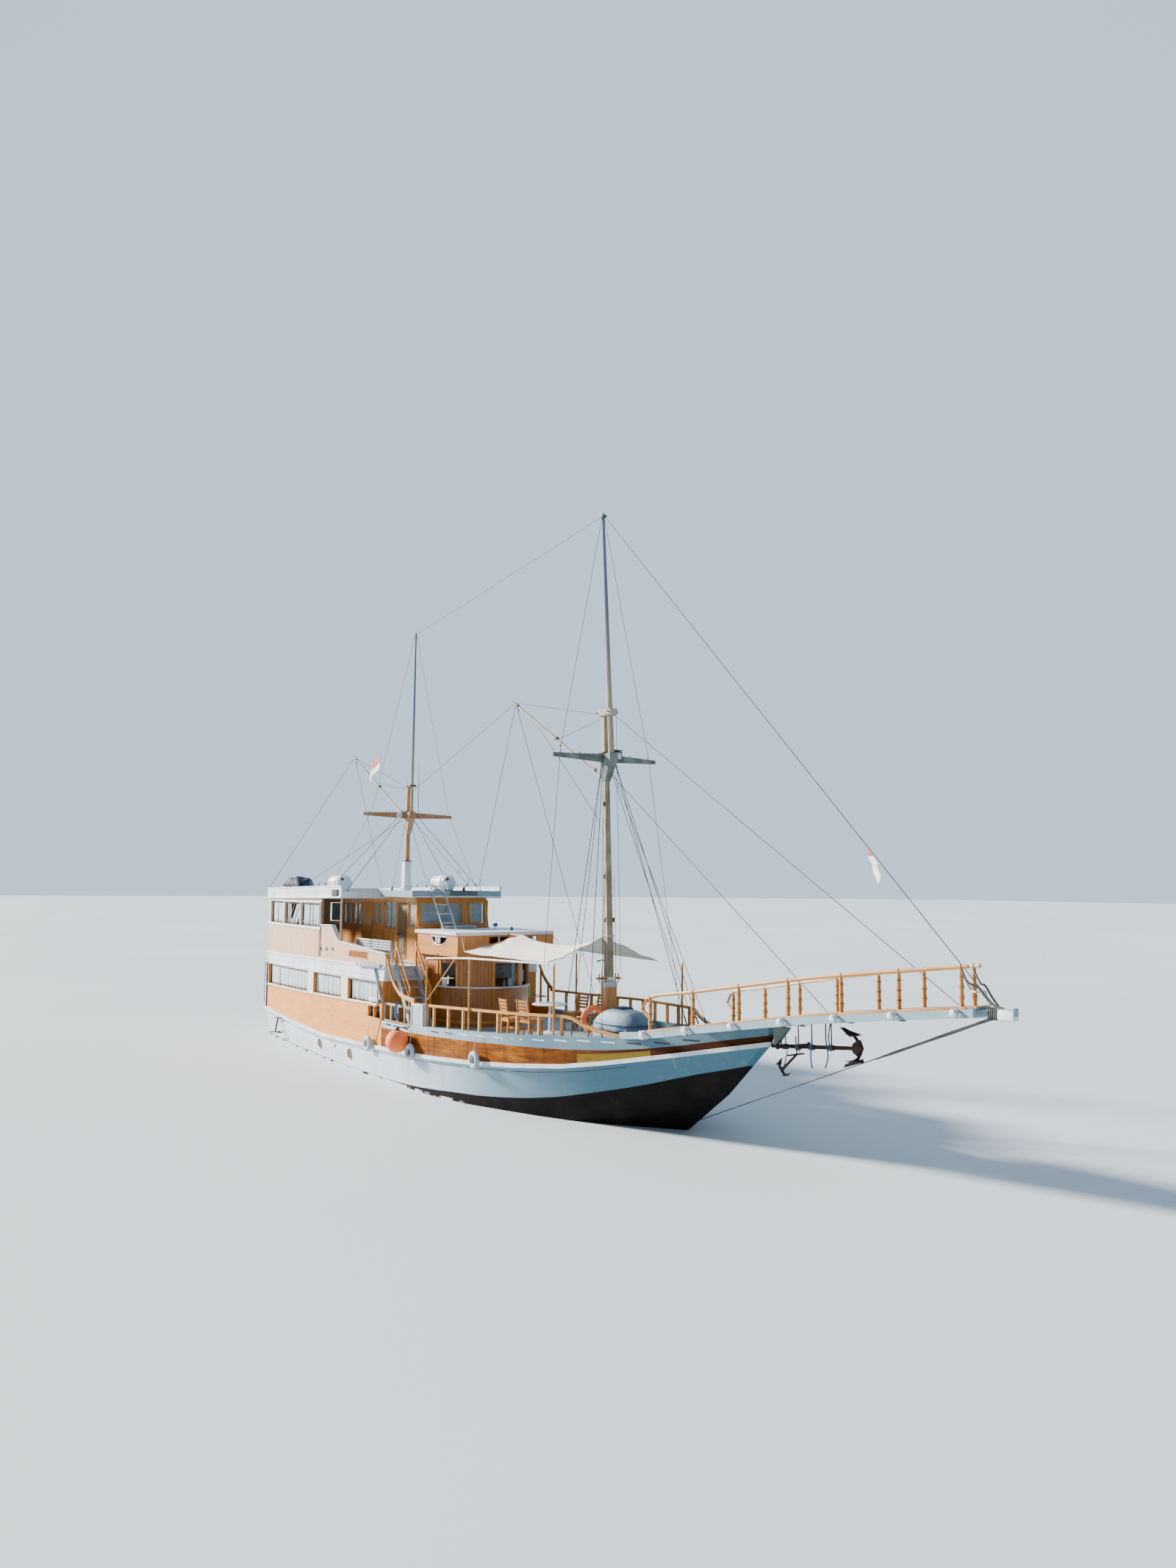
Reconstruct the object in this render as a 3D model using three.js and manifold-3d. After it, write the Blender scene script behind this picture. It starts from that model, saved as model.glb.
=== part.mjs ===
import * as THREE from 'three';
import { mergeVertices } from 'three/addons/utils/BufferGeometryUtils.js';
import Module from 'manifold-3d';

const wasm = await Module();
wasm.setup();

// Two-masted wooden motor sailer, afloat. Millimetres, +X bow, +Y port, +Z up.
// The origin is amidships on the waterline.

// Clearances
const GAP = 0.3;
const RUNNING_GAP = 8;

// Hull
const KEEL_BOTTOM = -1750;
const HULL_BOTTOM = -1450;
const KEEL_HALF = 110;
const KEEL_AFT = -8950;
const KEEL_FORE = 8000;
const TRANSOM_X = -8950;
const STEM_FOOT_X = 10800;
const STEM_RAKE = 1.18;
const WALL = 70;
const FORE_DECK_AFT_X = 1500;
const GUNWALE_THICK = 160;
const STEM_HALF = 45;
const RUB_DEPTH = 90;
const RUB_PROUD = 60;

// Stern gear
const APERTURE_X = -7500;
const SHAFT_Z = -980;
const SHAFT_RADIUS = 38;
const PROP_X = -7780;
const PROP_RADIUS = 440;
const RUDDER_X = -8200;
const RUDDER_TOP = -560;
const STOCK_RADIUS = 55;
const STOCK_TOP = 420;

// Decks and roofs
const UPPER_DECK_DEPTH = 390;
const UPPER_DECK_FORE = 1650;
const UPPER_DECK_FORE_PORT = 600;
const PORT_BULWARK_TOP = 1640;
const UPPER_NOTCH_X = 700;
const UPPER_NOTCH_HALF = 1560;
const ROOF_DEPTH = 200;
const PARAPET_RISE = 170;
const ROOF_FORE = -1450;
const HELM_ROOF_BOTTOM = 4800;
const HELM_ROOF_TOP = 4990;
const HELM_ROOF_FORE = 600;
const HELM_ROOF_HALF = 1450;

// Upper deckhouse
const HOUSE_HALF = 1150;
const HOUSE_AFT = -5000;
const HOUSE_WALL = 60;
const HOUSE_FRONT_X = 630;
const HOUSE_RAKE = 0.195;
const DOOR_AFT = -880;
const DOOR_FORE = -300;
const DOOR_SILL = 2970;
const DOOR_HEAD = 4640;
const DOOR_PIN = [3140, 4480];
const DOOR_AXIS = [DOOR_FORE - 4, -HOUSE_HALF - 9];

// Saloon
const SALOON_AFT = 720;
const SALOON_RADIUS = 1300;
const SALOON_ARC_X = 2000;
const SALOON_WALL = 60;
const CROWN_BOTTOM = 3280;
const CROWN_TOP = 3840;
const CROWN_HALF = 1500;
const CROWN_FORE = 3330;
const SLAB_TOP = 3930;

// Gate
const GATE_AFT = 1530;
const GATE_FORE = 3150;
const GATE_PIN = [3158, -2700];
const GATE_BOTTOM = 1560;
const GATE_TOP = 2050;
const PILLAR_AFT = 3180;
const PILLAR_FORE = 3820;
const PILLAR_TOP = 2170;

// Masts
const MAIN_FOOT_Z = 2900;
const MAIN_CAP_Z = 9370;
const MAIN_HALF_FOOT = 88;
const MAIN_HALF_CAP = 68;
const MAIN_GAFF_Z = 7800;
const MIZZEN_CAP_Z = 8200;
const MIZZEN_HALF_FOOT = 70;
const MIZZEN_HALF_CAP = 56;
const MAIN_TREE_Z = 8230;
const MIZZEN_TREE_Z = 7300;
const MAIN_TRUCK = [7570, 0, 14320];
const MIZZEN_TRUCK = [-2370, 0, 13030];
const MAIN_HEEL_X = 7980;
const MIZZEN_HEEL_X = -2430;
const MAIN_TOPMAST_RADIUS = 72;
const MIZZEN_TOPMAST_RADIUS = 52;
const MIZZEN_GAFF_Z = 7250;
const TREE_HALF = 1520;

// Bowsprit platform
const SPRIT_TIP_X = 18910;
const STAY_X = 18540;
const BEAM_WIDTH = 80;
const BEAM_DEPTH = 145;
const BOW_RAIL_RISE = 690;
const BOW_RAIL_INSET = 120;
const CROSS_FIRST_X = 10980;
const CROSS_STEP = 1170;
const CROSS_COUNT = 7;
const DECK_PLATE = 36;

const COLOURS = {
  whitePaint: [0xe8eaea, 0.5, 0],
  bottomPaint: [0x1f1a1c, 0.6, 0],
  brownWood: [0x6b3a1c, 0.45, 0],
  peachWood: [0xd9a07a, 0.6, 0],
  honeyWood: [0xc88a4a, 0.5, 0],
  paleWood: [0xcbb492, 0.7, 0],
  greyWood: [0x8f8b84, 0.8, 0],
  greyBlue: [0x9fb3bf, 0.6, 0],
  canvas: [0xf1ece2, 0.9, 0],
  steel: [0x4a4a4c, 0.5, 0.8],
  bronze: [0xa27a3c, 0.35, 0.9],
  aluminium: [0xc8ccd0, 0.35, 0.9],
  iron: [0x2b2624, 0.8, 0.4],
  tank: [0xf4f6f6, 0.4, 0],
  orange: [0xf2693c, 0.5, 0],
  blueTarp: [0x2d4a6b, 0.8, 0],
};

const group = new THREE.Group();

// A smooth function through a table of [x, value] rows
function smooth(table) {
  const last = table.length - 1;
  const slopes = table.map((row, i) => {
    const a = table[Math.max(i - 1, 0)];
    const b = table[Math.min(i + 1, last)];
    return (b[1] - a[1]) / (b[0] - a[0]);
  });
  return (x) => {
    if (x <= table[0][0]) return table[0][1];
    if (x >= table[last][0]) return table[last][1];
    const i = table.findIndex((row) => row[0] > x) - 1;
    const [x0, y0] = table[i];
    const [x1, y1] = table[i + 1];
    const w = x1 - x0;
    const t = (x - x0) / w;
    const t2 = t * t;
    const t3 = t2 * t;
    return (2 * t3 - 3 * t2 + 1) * y0 + (t3 - 2 * t2 + t) * w * slopes[i]
      + (3 * t2 - 2 * t3) * y1 + (t3 - t2) * w * slopes[i + 1];
  };
}

// Half breadths: rows of [x, half breadth] at each level
const deckHalf = smooth([[-9200, 2000], [-6000, 2350], [-2000, 2620], [2000, 2750], [5000, 2680],
  [7000, 2400], [9000, 1850], [10800, 1250], [12500, 500], [13400, STEM_HALF]]);
const waterHalf = smooth([[-9300, 1750], [-6000, 2150], [-2000, 2500], [2000, 2650], [5000, 2600],
  [7000, 2100], [8700, 1500], [9850, 760], [10800, STEM_HALF]]);
const shallowHalf = smooth([[-8600, 900], [-7500, 1150], [-6000, 1750], [-2000, 2350], [2000, 2550],
  [5000, 2400], [7000, 1800], [8700, 1100], [10330, STEM_HALF]]);
const deepHalf = smooth([[-8600, 200], [-7500, 300], [-6500, 750], [-5000, 1400], [-2000, 2100],
  [2000, 2300], [5000, 2050], [7000, 1300], [8500, 600], [9740, STEM_HALF]]);

// Heights along the hull: rows of [x, z]
const rubZ = smooth([[-8950, 950], [-6500, 870], [-3200, 740], [-650, 790], [1500, 850],
  [4700, 950], [7900, 1140], [9200, 1290], [10900, 1600], [13300, 2080]]);
const deckZ = smooth([[1500, 1370], [4700, 1460], [6900, 1530], [9200, 1620], [11000, 1820],
  [12700, 2140], [13500, 2290]]);
const frameHalf = (x) => 1380 - (x - 10300) / 8000 * 1130;
const gunwaleTable = smooth([[3200, 1600], [3800, 1630], [5900, 1730], [7800, 1810], [9400, 1930],
  [10200, 1950], [11000, 2020], [13400, 2430]]);
// Decks and roof rise forward in a straight line
const upperTop = (x) => lerp(2880, 2990, (x + 8950) / 10600);
const upperBottom = (x) => upperTop(x) - UPPER_DECK_DEPTH;
const roofBottom = (x) => lerp(4640, 4750, (x + 8950) / 7500);
const roofTop = (x) => roofBottom(x) + ROOF_DEPTH;
const stemX = (z) => STEM_FOOT_X + STEM_RAKE * z;
const lerp = (a, b, t) => a + (b - a) * t;
const range = (n, a, b) => Array.from({ length: n + 1 }, (_, i) => lerp(a, b, i / n));

// Solids
function toSolid(geometry) {
  const bare = geometry.clone();
  bare.deleteAttribute('normal');
  bare.deleteAttribute('uv');
  const merged = mergeVertices(bare, 0.001);
  return new wasm.Manifold(new wasm.Mesh({
    numProp: 3,
    vertProperties: new Float32Array(merged.attributes.position.array),
    triVerts: new Uint32Array(merged.index.array),
  }));
}

function toGeometry(solid) {
  const mesh = solid.getMesh();
  const geometry = new THREE.BufferGeometry();
  geometry.setAttribute('position', new THREE.BufferAttribute(mesh.vertProperties, 3));
  geometry.setIndex(new THREE.BufferAttribute(mesh.triVerts, 1));
  return geometry;
}

const join = (...solids) => solids.flat().reduce((a, b) => a.add(b));
const cut = (solid, ...tools) => tools.flat().reduce((a, b) => a.subtract(b), solid);

function addPart(name, solid, colour) {
  const geometry = toGeometry(solid);
  geometry.computeVertexNormals();
  const [hex, roughness, metalness] = COLOURS[colour];
  const material = new THREE.MeshStandardMaterial({ color: hex, roughness, metalness });
  material.flatShading = true;
  const mesh = new THREE.Mesh(geometry, material);
  mesh.name = name;
  group.add(mesh);
  return mesh;
}

// Box between two corners
function box(x0, x1, y0, y1, z0, z1) {
  const geometry = new THREE.BoxGeometry(x1 - x0, y1 - y0, z1 - z0);
  geometry.translate((x0 + x1) / 2, (y0 + y1) / 2, (z0 + z1) / 2);
  return toSolid(geometry);
}

// Round rod from p to q, radius r at p and rEnd at q
function rod(p, q, r, rEnd = r, sides = 8) {
  const a = new THREE.Vector3(...p);
  const b = new THREE.Vector3(...q);
  const geometry = new THREE.CylinderGeometry(rEnd, r, a.distanceTo(b), sides);
  const turn = new THREE.Quaternion().setFromUnitVectors(
    new THREE.Vector3(0, 1, 0), b.clone().sub(a).normalize());
  geometry.applyQuaternion(turn);
  geometry.translate(...a.add(b).multiplyScalar(0.5).toArray());
  return toSolid(geometry);
}

// Closed solid through rings of points; the ends are flat as seen along the axis (0, 1 or 2).
// A mirrored ring runs up one side and back down the other, and its ends are closed in strips.
function loft(rings, axis, mirrored = false) {
  const m = rings[0].length;
  const last = (rings.length - 1) * m;
  const index = [];
  for (let k = 0; k < rings.length - 1; k += 1) {
    for (let i = 0; i < m; i += 1) {
      const j = (i + 1) % m;
      const a = k * m + i;
      const b = k * m + j;
      index.push(a, b, b + m, a, b + m, a + m);
    }
  }
  const flat = (ring) => ring.map((p) => new THREE.Vector2(p[(axis + 1) % 3], p[(axis + 2) % 3]));
  for (const [ring, start, turned] of [[rings[0], 0, true], [rings.at(-1), last, false]]) {
    const outline = flat(ring);
    const way = Math.sign(THREE.ShapeUtils.area(outline));
    const strips = range(m / 2 - 2, 0, m / 2 - 2).flatMap((i) => (
      [[i, i + 1, m - 2 - i], [i, m - 2 - i, m - 1 - i]]));
    for (const face of mirrored ? strips : THREE.ShapeUtils.triangulateShape(outline, [])) {
      const same = Math.sign(THREE.ShapeUtils.area(face.map((i) => outline[i]))) === way;
      const [a, b, c] = face.map((i) => start + i);
      if (same !== turned) index.push(a, b, c);
      else index.push(a, c, b);
    }
  }
  const points = rings.flat();
  let volume = 0;
  for (let i = 0; i < index.length; i += 3) {
    const [a, b, c] = index.slice(i, i + 3).map((n) => new THREE.Vector3(...points[n]));
    volume += a.dot(b.cross(c));
  }
  if (volume < 0) index.reverse();
  const geometry = new THREE.BufferGeometry();
  geometry.setAttribute('position', new THREE.Float32BufferAttribute(points.flat(), 3));
  geometry.setIndex(index);
  return toSolid(geometry);
}

// Strip along the hull side: section from y(x) inner to outer and z bottom to top at each station
function sideStrip(side, stations, outer, inner, z0, z1) {
  return loft(stations.map((x) => [
    [x, side * outer(x), z0(x)], [x, side * inner(x), z0(x)],
    [x, side * inner(x), z1(x)], [x, side * outer(x), z1(x)],
  ]), 0);
}

// Square-cut bar through points, w wide in Y and h deep in Z, running mainly along X
function barX(points, w, h) {
  return loft(points.map(([x, y, z]) => [
    [x, y - w / 2, z - h / 2], [x, y + w / 2, z - h / 2],
    [x, y + w / 2, z + h / 2], [x, y - w / 2, z + h / 2],
  ]), 0);
}

// Bar or tapered post, mainly vertical, half size a at p and b at q
function postZ(p, q, a, b = a) {
  const square = ([x, y, z], h) => rect(x - h, x + h, y - h, y + h).map(([px, py]) => [px, py, z]);
  return loft([square(p, a), square(q, b)], 2);
}

const shapeOf = (outline) => new THREE.Shape(outline.map((p) => new THREE.Vector2(...p)));
const rect = (a0, a1, b0, b1) => [[a0, b0], [a1, b0], [a1, b1], [a0, b1]];
const PAST = 20;
const ACROSS = [-3000, 3000];

// Flat plate from lo to hi across its outline, with holes cut right through
function plate(outline, lo, hi, holes, place) {
  const geometry = new THREE.ExtrudeGeometry(shapeOf(outline), { depth: hi - lo, bevelEnabled: false });
  place(geometry);
  return cut(toSolid(geometry), holes);
}

// Outline in X and Y, from z0 up to z1
function plateZ(outline, z0, z1, holes = []) {
  return plate(outline, z0, z1, holes.map((hole) => plateZ(hole, z0 - PAST, z1 + PAST)),
    (geometry) => geometry.translate(0, 0, z0));
}

// Outline in X and Z, from y0 to y1
function plateY(outline, y0, y1, holes = []) {
  return plate(outline, y0, y1, holes.map((hole) => plateY(hole, y0 - PAST, y1 + PAST)), (geometry) => {
    geometry.applyMatrix4(new THREE.Matrix4().makeBasis(
      new THREE.Vector3(1, 0, 0), new THREE.Vector3(0, 0, 1), new THREE.Vector3(0, -1, 0)));
    geometry.translate(0, y1, 0);
  });
}

// Outline in Y and Z, from x0 to x1, leaning aft by the rake as it rises
function plateX(outline, x0, x1, holes = [], rake = 0, rakeFrom = 0) {
  return plate(outline, x0, x1, holes.map((hole) => plateX(hole, x0 - PAST, x1 + PAST, [], rake, rakeFrom)),
    (geometry) => {
      geometry.applyMatrix4(new THREE.Matrix4().makeBasis(
        new THREE.Vector3(0, 1, 0), new THREE.Vector3(-rake, 0, 1), new THREE.Vector3(1, 0, 0)));
      geometry.translate(x0 + rake * rakeFrom, 0, 0);
    });
}

// Round tube along a smooth path
function tube(points, radius, steps, sides = 6) {
  const path = new THREE.CatmullRomCurve3(points.map((p) => new THREE.Vector3(...p)));
  const section = new THREE.Shape(range(sides - 1, 0, (sides - 1) / sides).map((t) => (
    new THREE.Vector2(radius * Math.cos(2 * Math.PI * t), radius * Math.sin(2 * Math.PI * t)))));
  return toSolid(new THREE.ExtrudeGeometry(section, { extrudePath: path, steps, bevelEnabled: false }));
}

// Hull stations: shares of the length from the transom to the stem. Everything on the hull side
// runs straight between these stations.
const STATION_SHARES = [0, 0.08, 0.18, 0.29, 0.4, 0.5, 0.59, 0.67, 0.74, 0.8, 0.85, 0.89, 0.925, 0.955,
  0.98, 1];
const STEM_RUB_X = stemX(rubZ(13300));
const STEM_DECK_X = 13400;
const STATIONS = STATION_SHARES.map((t) => lerp(TRANSOM_X, STEM_RUB_X, t));
const stationsBetween = (a, b) => [a, ...STATIONS.filter((x) => x > a + 20 && x < b - 20), b];

function straight(f) {
  return (x) => {
    const i = Math.min(Math.max(STATIONS.findIndex((s) => s > x) - 1, 0), STATIONS.length - 2);
    const k = x >= STATIONS.at(-1) ? STATIONS.length - 2 : i;
    const t = (x - STATIONS[k]) / (STATIONS[k + 1] - STATIONS[k]);
    return lerp(f(STATIONS[k]), f(STATIONS[k + 1]), t);
  };
}

const sideHalf = straight(deckHalf);
const rubLine = straight(rubZ);
const deckLine = straight(deckZ);
const gunwaleZ = straight(gunwaleTable);
const inset = (d) => (x) => sideHalf(x) - d;
const level = (z) => () => z;

// Ring of points round the hull, stern to stem on starboard and back on port
function mirror(starboard) {
  return [...starboard, ...starboard.toReversed().map(([x, y, z]) => [x, -y, z])];
}

function hullRing(xAft, xFore, half, height) {
  return mirror(STATION_SHARES.map((t) => {
    const x = lerp(xAft, xFore, t);
    return [x, -half(x, t), height(x)];
  }));
}

// Hull and keel
function makeHull() {
  const bulge = 0.6;
  const middle = (x, t) => lerp(waterHalf(lerp(-9200, STEM_FOOT_X, t)),
    deckHalf(lerp(TRANSOM_X, STEM_RUB_X, t)), bulge);
  const garboard = (x) => Math.min(KEEL_HALF, STEM_HALF + (8600 - x) * 0.1);
  const body = loft([
    hullRing(APERTURE_X, 8600, garboard, level(HULL_BOTTOM)),
    hullRing(-8100, stemX(-900), deepHalf, level(-900)),
    hullRing(-8700, stemX(-400), shallowHalf, level(-400)),
    hullRing(-9200, STEM_FOOT_X, waterHalf, level(0)),
    hullRing(-9080, lerp(STEM_FOOT_X, STEM_RUB_X, 0.5), middle, (x) => rubZ(x) * 0.5),
    hullRing(TRANSOM_X, STEM_RUB_X, deckHalf, rubZ),
  ], 2, true);
  const aperture = plateY([[APERTURE_X, -3000], [APERTURE_X, -470], [-9800, -120], [-9800, -3000]],
    -1200, 1200);
  const bore = SHAFT_RADIUS + RUNNING_GAP;
  const shaftBore = rod([APERTURE_X - 50, 0, SHAFT_Z], [APERTURE_X + 420, 0, SHAFT_Z], bore, bore, 12);
  const stockBore = rod([RUDDER_X, 0, -700], [RUDDER_X, 0, STOCK_TOP + 20],
    STOCK_RADIUS + RUNNING_GAP, STOCK_RADIUS + RUNNING_GAP, 12);
  return cut(body, aperture, shaftBore, stockBore);
}

function makeKeel() {
  const top = HULL_BOTTOM - GAP;
  const sole = KEEL_BOTTOM;
  return loft([
    [[KEEL_AFT, -90, sole], [KEEL_FORE - 500, -90, sole], [KEEL_FORE - 500, 90, sole], [KEEL_AFT, 90, sole]],
    [[KEEL_AFT, -100, top], [KEEL_FORE, -90, top], [KEEL_FORE, 90, top], [KEEL_AFT, 100, top]],
  ], 2);
}

// Fore body of planked topsides with the fore deck on top
function makeForeTopsides() {
  const stations = stationsBetween(FORE_DECK_AFT_X, STEM_RUB_X);
  const low = stations.map((x) => [x, -sideHalf(x), rubLine(x) + GAP]);
  const high = [...stations.slice(0, -1), STEM_DECK_X].map((x) => [x, -sideHalf(x), deckLine(x)]);
  return loft([mirror(low), mirror(high)], 2, true);
}

const hull = makeHull();
const foreTopsides = makeForeTopsides();

// What stands on a solid, or against its aft face or sides, is cut by it and keeps the gap
function shifted(solid, x, y, z) {
  const geometry = toGeometry(solid);
  geometry.translate(x, y, z);
  return toSolid(geometry);
}

const SEAT_SHIFTS = [[0, 0, GAP], [-GAP, 0, 0], [-GAP, 0, GAP]];
const WRAP_SHIFTS = [[0, 0, GAP], [0, GAP, GAP], [0, -GAP, GAP], [0, GAP, 0], [0, -GAP, 0], [-GAP, 0, 0],
  [GAP, 0, 0]];
const seatOn = (solid, base, shifts) => cut(solid, base, shifts.map((shift) => shifted(base, ...shift)));
const seat = (solid, ...bases) => bases.reduce((part, base) => seatOn(part, base, SEAT_SHIFTS), solid);

// Rub rail round the whole side, one body that meets at the stem
function makeRubRail() {
  const noseX = STEM_RUB_X + 130;
  const stations = [...stationsBetween(TRANSOM_X, STEM_RUB_X), noseX];
  const low = (x) => rubLine(x) - RUB_DEPTH / 2;
  const high = (x) => rubLine(x) + RUB_DEPTH / 2;
  const sides = [-1, 1].map((side) => sideStrip(side, stations, inset(-RUB_PROUD), inset(-1), low, high));
  const half = sideHalf(noseX) + 20;
  const nose = box(noseX - 60, noseX, -half, half, low(noseX - 60) + 5, high(noseX - 60));
  return join(sides, nose);
}

// Gunwale wall on the fore deck's edge, with the gate pillar on the starboard side
function makeGunwale() {
  const end = STEM_DECK_X - 50;
  const low = (x) => deckLine(x) + GAP;
  const inner = (x) => Math.max(sideHalf(x) - GUNWALE_THICK, -20);
  const port = sideStrip(1, stationsBetween(FORE_DECK_AFT_X, end), sideHalf, inner, low, gunwaleZ);
  const starboard = sideStrip(-1, stationsBetween(PILLAR_AFT, end), sideHalf, inner, low, gunwaleZ);
  const underGate = sideStrip(-1, [FORE_DECK_AFT_X, PILLAR_AFT + 60], sideHalf, inner, low,
    level(GATE_BOTTOM - 30));
  const y = sideHalf(PILLAR_FORE);
  const pillar = box(PILLAR_AFT, PILLAR_FORE, -y, -y + GUNWALE_THICK, 1500, PILLAR_TOP);
  const lug = box(GATE_PIN[0] - 14, PILLAR_AFT + 20, GATE_PIN[1] - 14, GATE_PIN[1] + 14,
    GATE_TOP + 6 + GAP, GATE_TOP + 36);
  return join(port, starboard, underGate, pillar, lug);
}

// Lower house: a wall on each side with long curtain openings, and the stern wall
const LOWER_WINDOWS = [[-8700, -4260], [-3700, -1390]];
const LOWER_FORE_WINDOW = { [-1]: [-830, 1150], 1: [-830, 450] };
const lowerSill = (x) => lerp(1790, 1990, (x + 8950) / 10450);

function lowerSide(side) {
  const wall = sideStrip(side, stationsBetween(TRANSOM_X, FORE_DECK_AFT_X - GAP), sideHalf, inset(WALL),
    (x) => rubLine(x) + GAP, (x) => upperBottom(x) - GAP);
  const windows = [...LOWER_WINDOWS, LOWER_FORE_WINDOW[side]].map(([a, b]) => plateY([
    [a, lowerSill(a)], [b, lowerSill(b)], [b, upperBottom(b) - 50], [a, upperBottom(a) - 50]], ...ACROSS));
  const notches = [[620, 940], [1010, 1360]].map(([a, b]) => (
    box(a, b, ...ACROSS, 1580, lowerSill((a + b) / 2) - 60)));
  const overBulwark = box(UPPER_DECK_FORE_PORT, FORE_DECK_AFT_X + 100, ...ACROSS, PORT_BULWARK_TOP, 3000);
  return cut(wall, windows, side < 0 ? notches : overBulwark);
}

const STERN_HALF = sideHalf(TRANSOM_X) - WALL - GAP;
const STERN_WINDOWS = [[-1650, -180], [180, 1650]];

function sternWall(z0, z1, sill, head) {
  return plateX(rect(-STERN_HALF, STERN_HALF, z0, z1), TRANSOM_X, TRANSOM_X + WALL,
    STERN_WINDOWS.map(([a, b]) => rect(a, b, sill, head)));
}

// Upper deck slab with its side band; a notch takes the saloon, and the port side ends further aft
function makeUpperDeck() {
  const edge = (fore, side) => stationsBetween(TRANSOM_X, fore).map((x) => [x, side * (sideHalf(x) + 20)]);
  const whole = [...edge(UPPER_DECK_FORE, -1), [UPPER_DECK_FORE, -UPPER_NOTCH_HALF],
    [UPPER_NOTCH_X, -UPPER_NOTCH_HALF], [UPPER_NOTCH_X, UPPER_NOTCH_HALF],
    [UPPER_DECK_FORE_PORT, UPPER_NOTCH_HALF], ...edge(UPPER_DECK_FORE_PORT, 1).toReversed()];
  return loft([upperBottom, upperTop].map((z) => whole.map(([x, y]) => [x, y, z(x)])), 2);
}

// Upper sides: plank bulwark, curtain openings aft, low rail forward
const UPPER_WINDOWS = [[-8700, -7020], [-6940, -5220], [-5140, -3350]];
const UPPER_FRAME_FORE = -3170;
const BULWARK_TOP = [[-3400, 3905], [-2230, 3930], [-1670, 3500], [UPPER_DECK_FORE, 3290]];

function through(table) {
  return (x) => {
    const i = Math.min(Math.max(table.findIndex((row) => row[0] > x) - 1, 0), table.length - 2);
    const k = x >= table.at(-1)[0] ? table.length - 2 : i;
    const [[x0, z0], [x1, z1]] = [table[k], table[k + 1]];
    return lerp(z0, z1, (x - x0) / (x1 - x0));
  };
}

function upperSide(side) {
  const low = (x) => upperTop(x) + GAP;
  const framed = sideStrip(side, stationsBetween(TRANSOM_X, UPPER_FRAME_FORE), sideHalf, inset(WALL), low,
    (x) => roofBottom(x) - GAP);
  const windows = UPPER_WINDOWS.map(([a, b]) => box(a, b, ...ACROSS, 3860, 4570));
  const fore = side < 0 ? UPPER_DECK_FORE : UPPER_DECK_FORE_PORT;
  const stations = [...new Set([UPPER_FRAME_FORE - 100, ...BULWARK_TOP.slice(1, 3).map(([x]) => x),
    ...stationsBetween(UPPER_FRAME_FORE - 100, fore)])].sort((a, b) => a - b);
  const rail = sideStrip(side, stations, sideHalf, inset(WALL), low, through(BULWARK_TOP));
  const scupper = box(-800, 450, ...ACROSS, 3130, 3290);
  const y = side * (sideHalf(-1600) - WALL / 2);
  const pole = rod([-1600, y, 3300], [-1600, y, roofBottom(-1640) - GAP], 30);
  return join(cut(framed, windows), cut(rail, scupper), side < 0 ? pole : []);
}

// Roofs
function makeMainRoof() {
  const stations = stationsBetween(TRANSOM_X - 60, ROOF_FORE);
  const plan = (raise) => mirror(stations.map((x) => [x, -sideHalf(x) - 50, raise(x)]));
  const slab = loft([plan(roofBottom), plan(roofTop)], 2, true);
  const top = (x) => roofTop(x) + PARAPET_RISE;
  const sides = [-1, 1].map((side) => sideStrip(side, stations, inset(-50), inset(10),
    (x) => roofTop(x) - 20, top));
  const y = sideHalf(TRANSOM_X) + 30;
  const stern = box(TRANSOM_X - 60, TRANSOM_X, -y, y, roofTop(TRANSOM_X) - 20, top(TRANSOM_X - 60));
  return join(slab, sides, stern);
}

const makeHelmRoof = () => box(ROOF_FORE + GAP, HELM_ROOF_FORE, -HELM_ROOF_HALF, HELM_ROOF_HALF,
  HELM_ROOF_BOTTOM, HELM_ROOF_TOP);

// Upper deckhouse: four walls, windows cut
const frontX = (z) => HOUSE_FRONT_X - HOUSE_RAKE * (z - 2900);
const SIDE_WINDOWS = [[-4800, -4150, 3900, 4560], [-4050, -3400, 3900, 4560], [-2520, -1930, 3980, 4600],
  [-1760, -980, 3900, 4640], [-200, 160, 3960, 4620]];
const FRONT_WINDOWS = [[-1030, 280], [560, 1040]];

function houseSide(side) {
  const inner = HOUSE_WALL + GAP;
  const low = (x) => upperTop(x) + GAP;
  const foot = frontX(2980) - inner;
  const outline = [[HOUSE_AFT, low(HOUSE_AFT)], [foot, low(foot)],
    [frontX(HELM_ROOF_BOTTOM) - inner, HELM_ROOF_BOTTOM - GAP], [ROOF_FORE, HELM_ROOF_BOTTOM - GAP],
    [ROOF_FORE, roofBottom(ROOF_FORE) - GAP], [HOUSE_AFT, roofBottom(HOUSE_AFT) - GAP]];
  const holes = SIDE_WINDOWS.map(([a, b, z0, z1]) => rect(a, b, z0, z1));
  if (side < 0) holes.push(rect(DOOR_AFT, DOOR_FORE, DOOR_SILL + 40, DOOR_HEAD));
  const y = [side * HOUSE_HALF, side * (HOUSE_HALF - HOUSE_WALL)].sort((a, b) => a - b);
  const wall = plateY(outline, ...y, holes);
  if (side > 0) return wall;
  const lugs = [DOOR_PIN[0] - 40, DOOR_PIN[1] + GAP].flatMap((z) => [
    box(DOOR_FORE - 12, DOOR_FORE + 16, -HOUSE_HALF - 18, -HOUSE_HALF, z, z + 40 - GAP),
    box(DOOR_FORE + 1, DOOR_FORE + 30, -HOUSE_HALF - 12, -HOUSE_HALF + 20, z, z + 40 - GAP)]);
  return join(wall, lugs);
}

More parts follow.
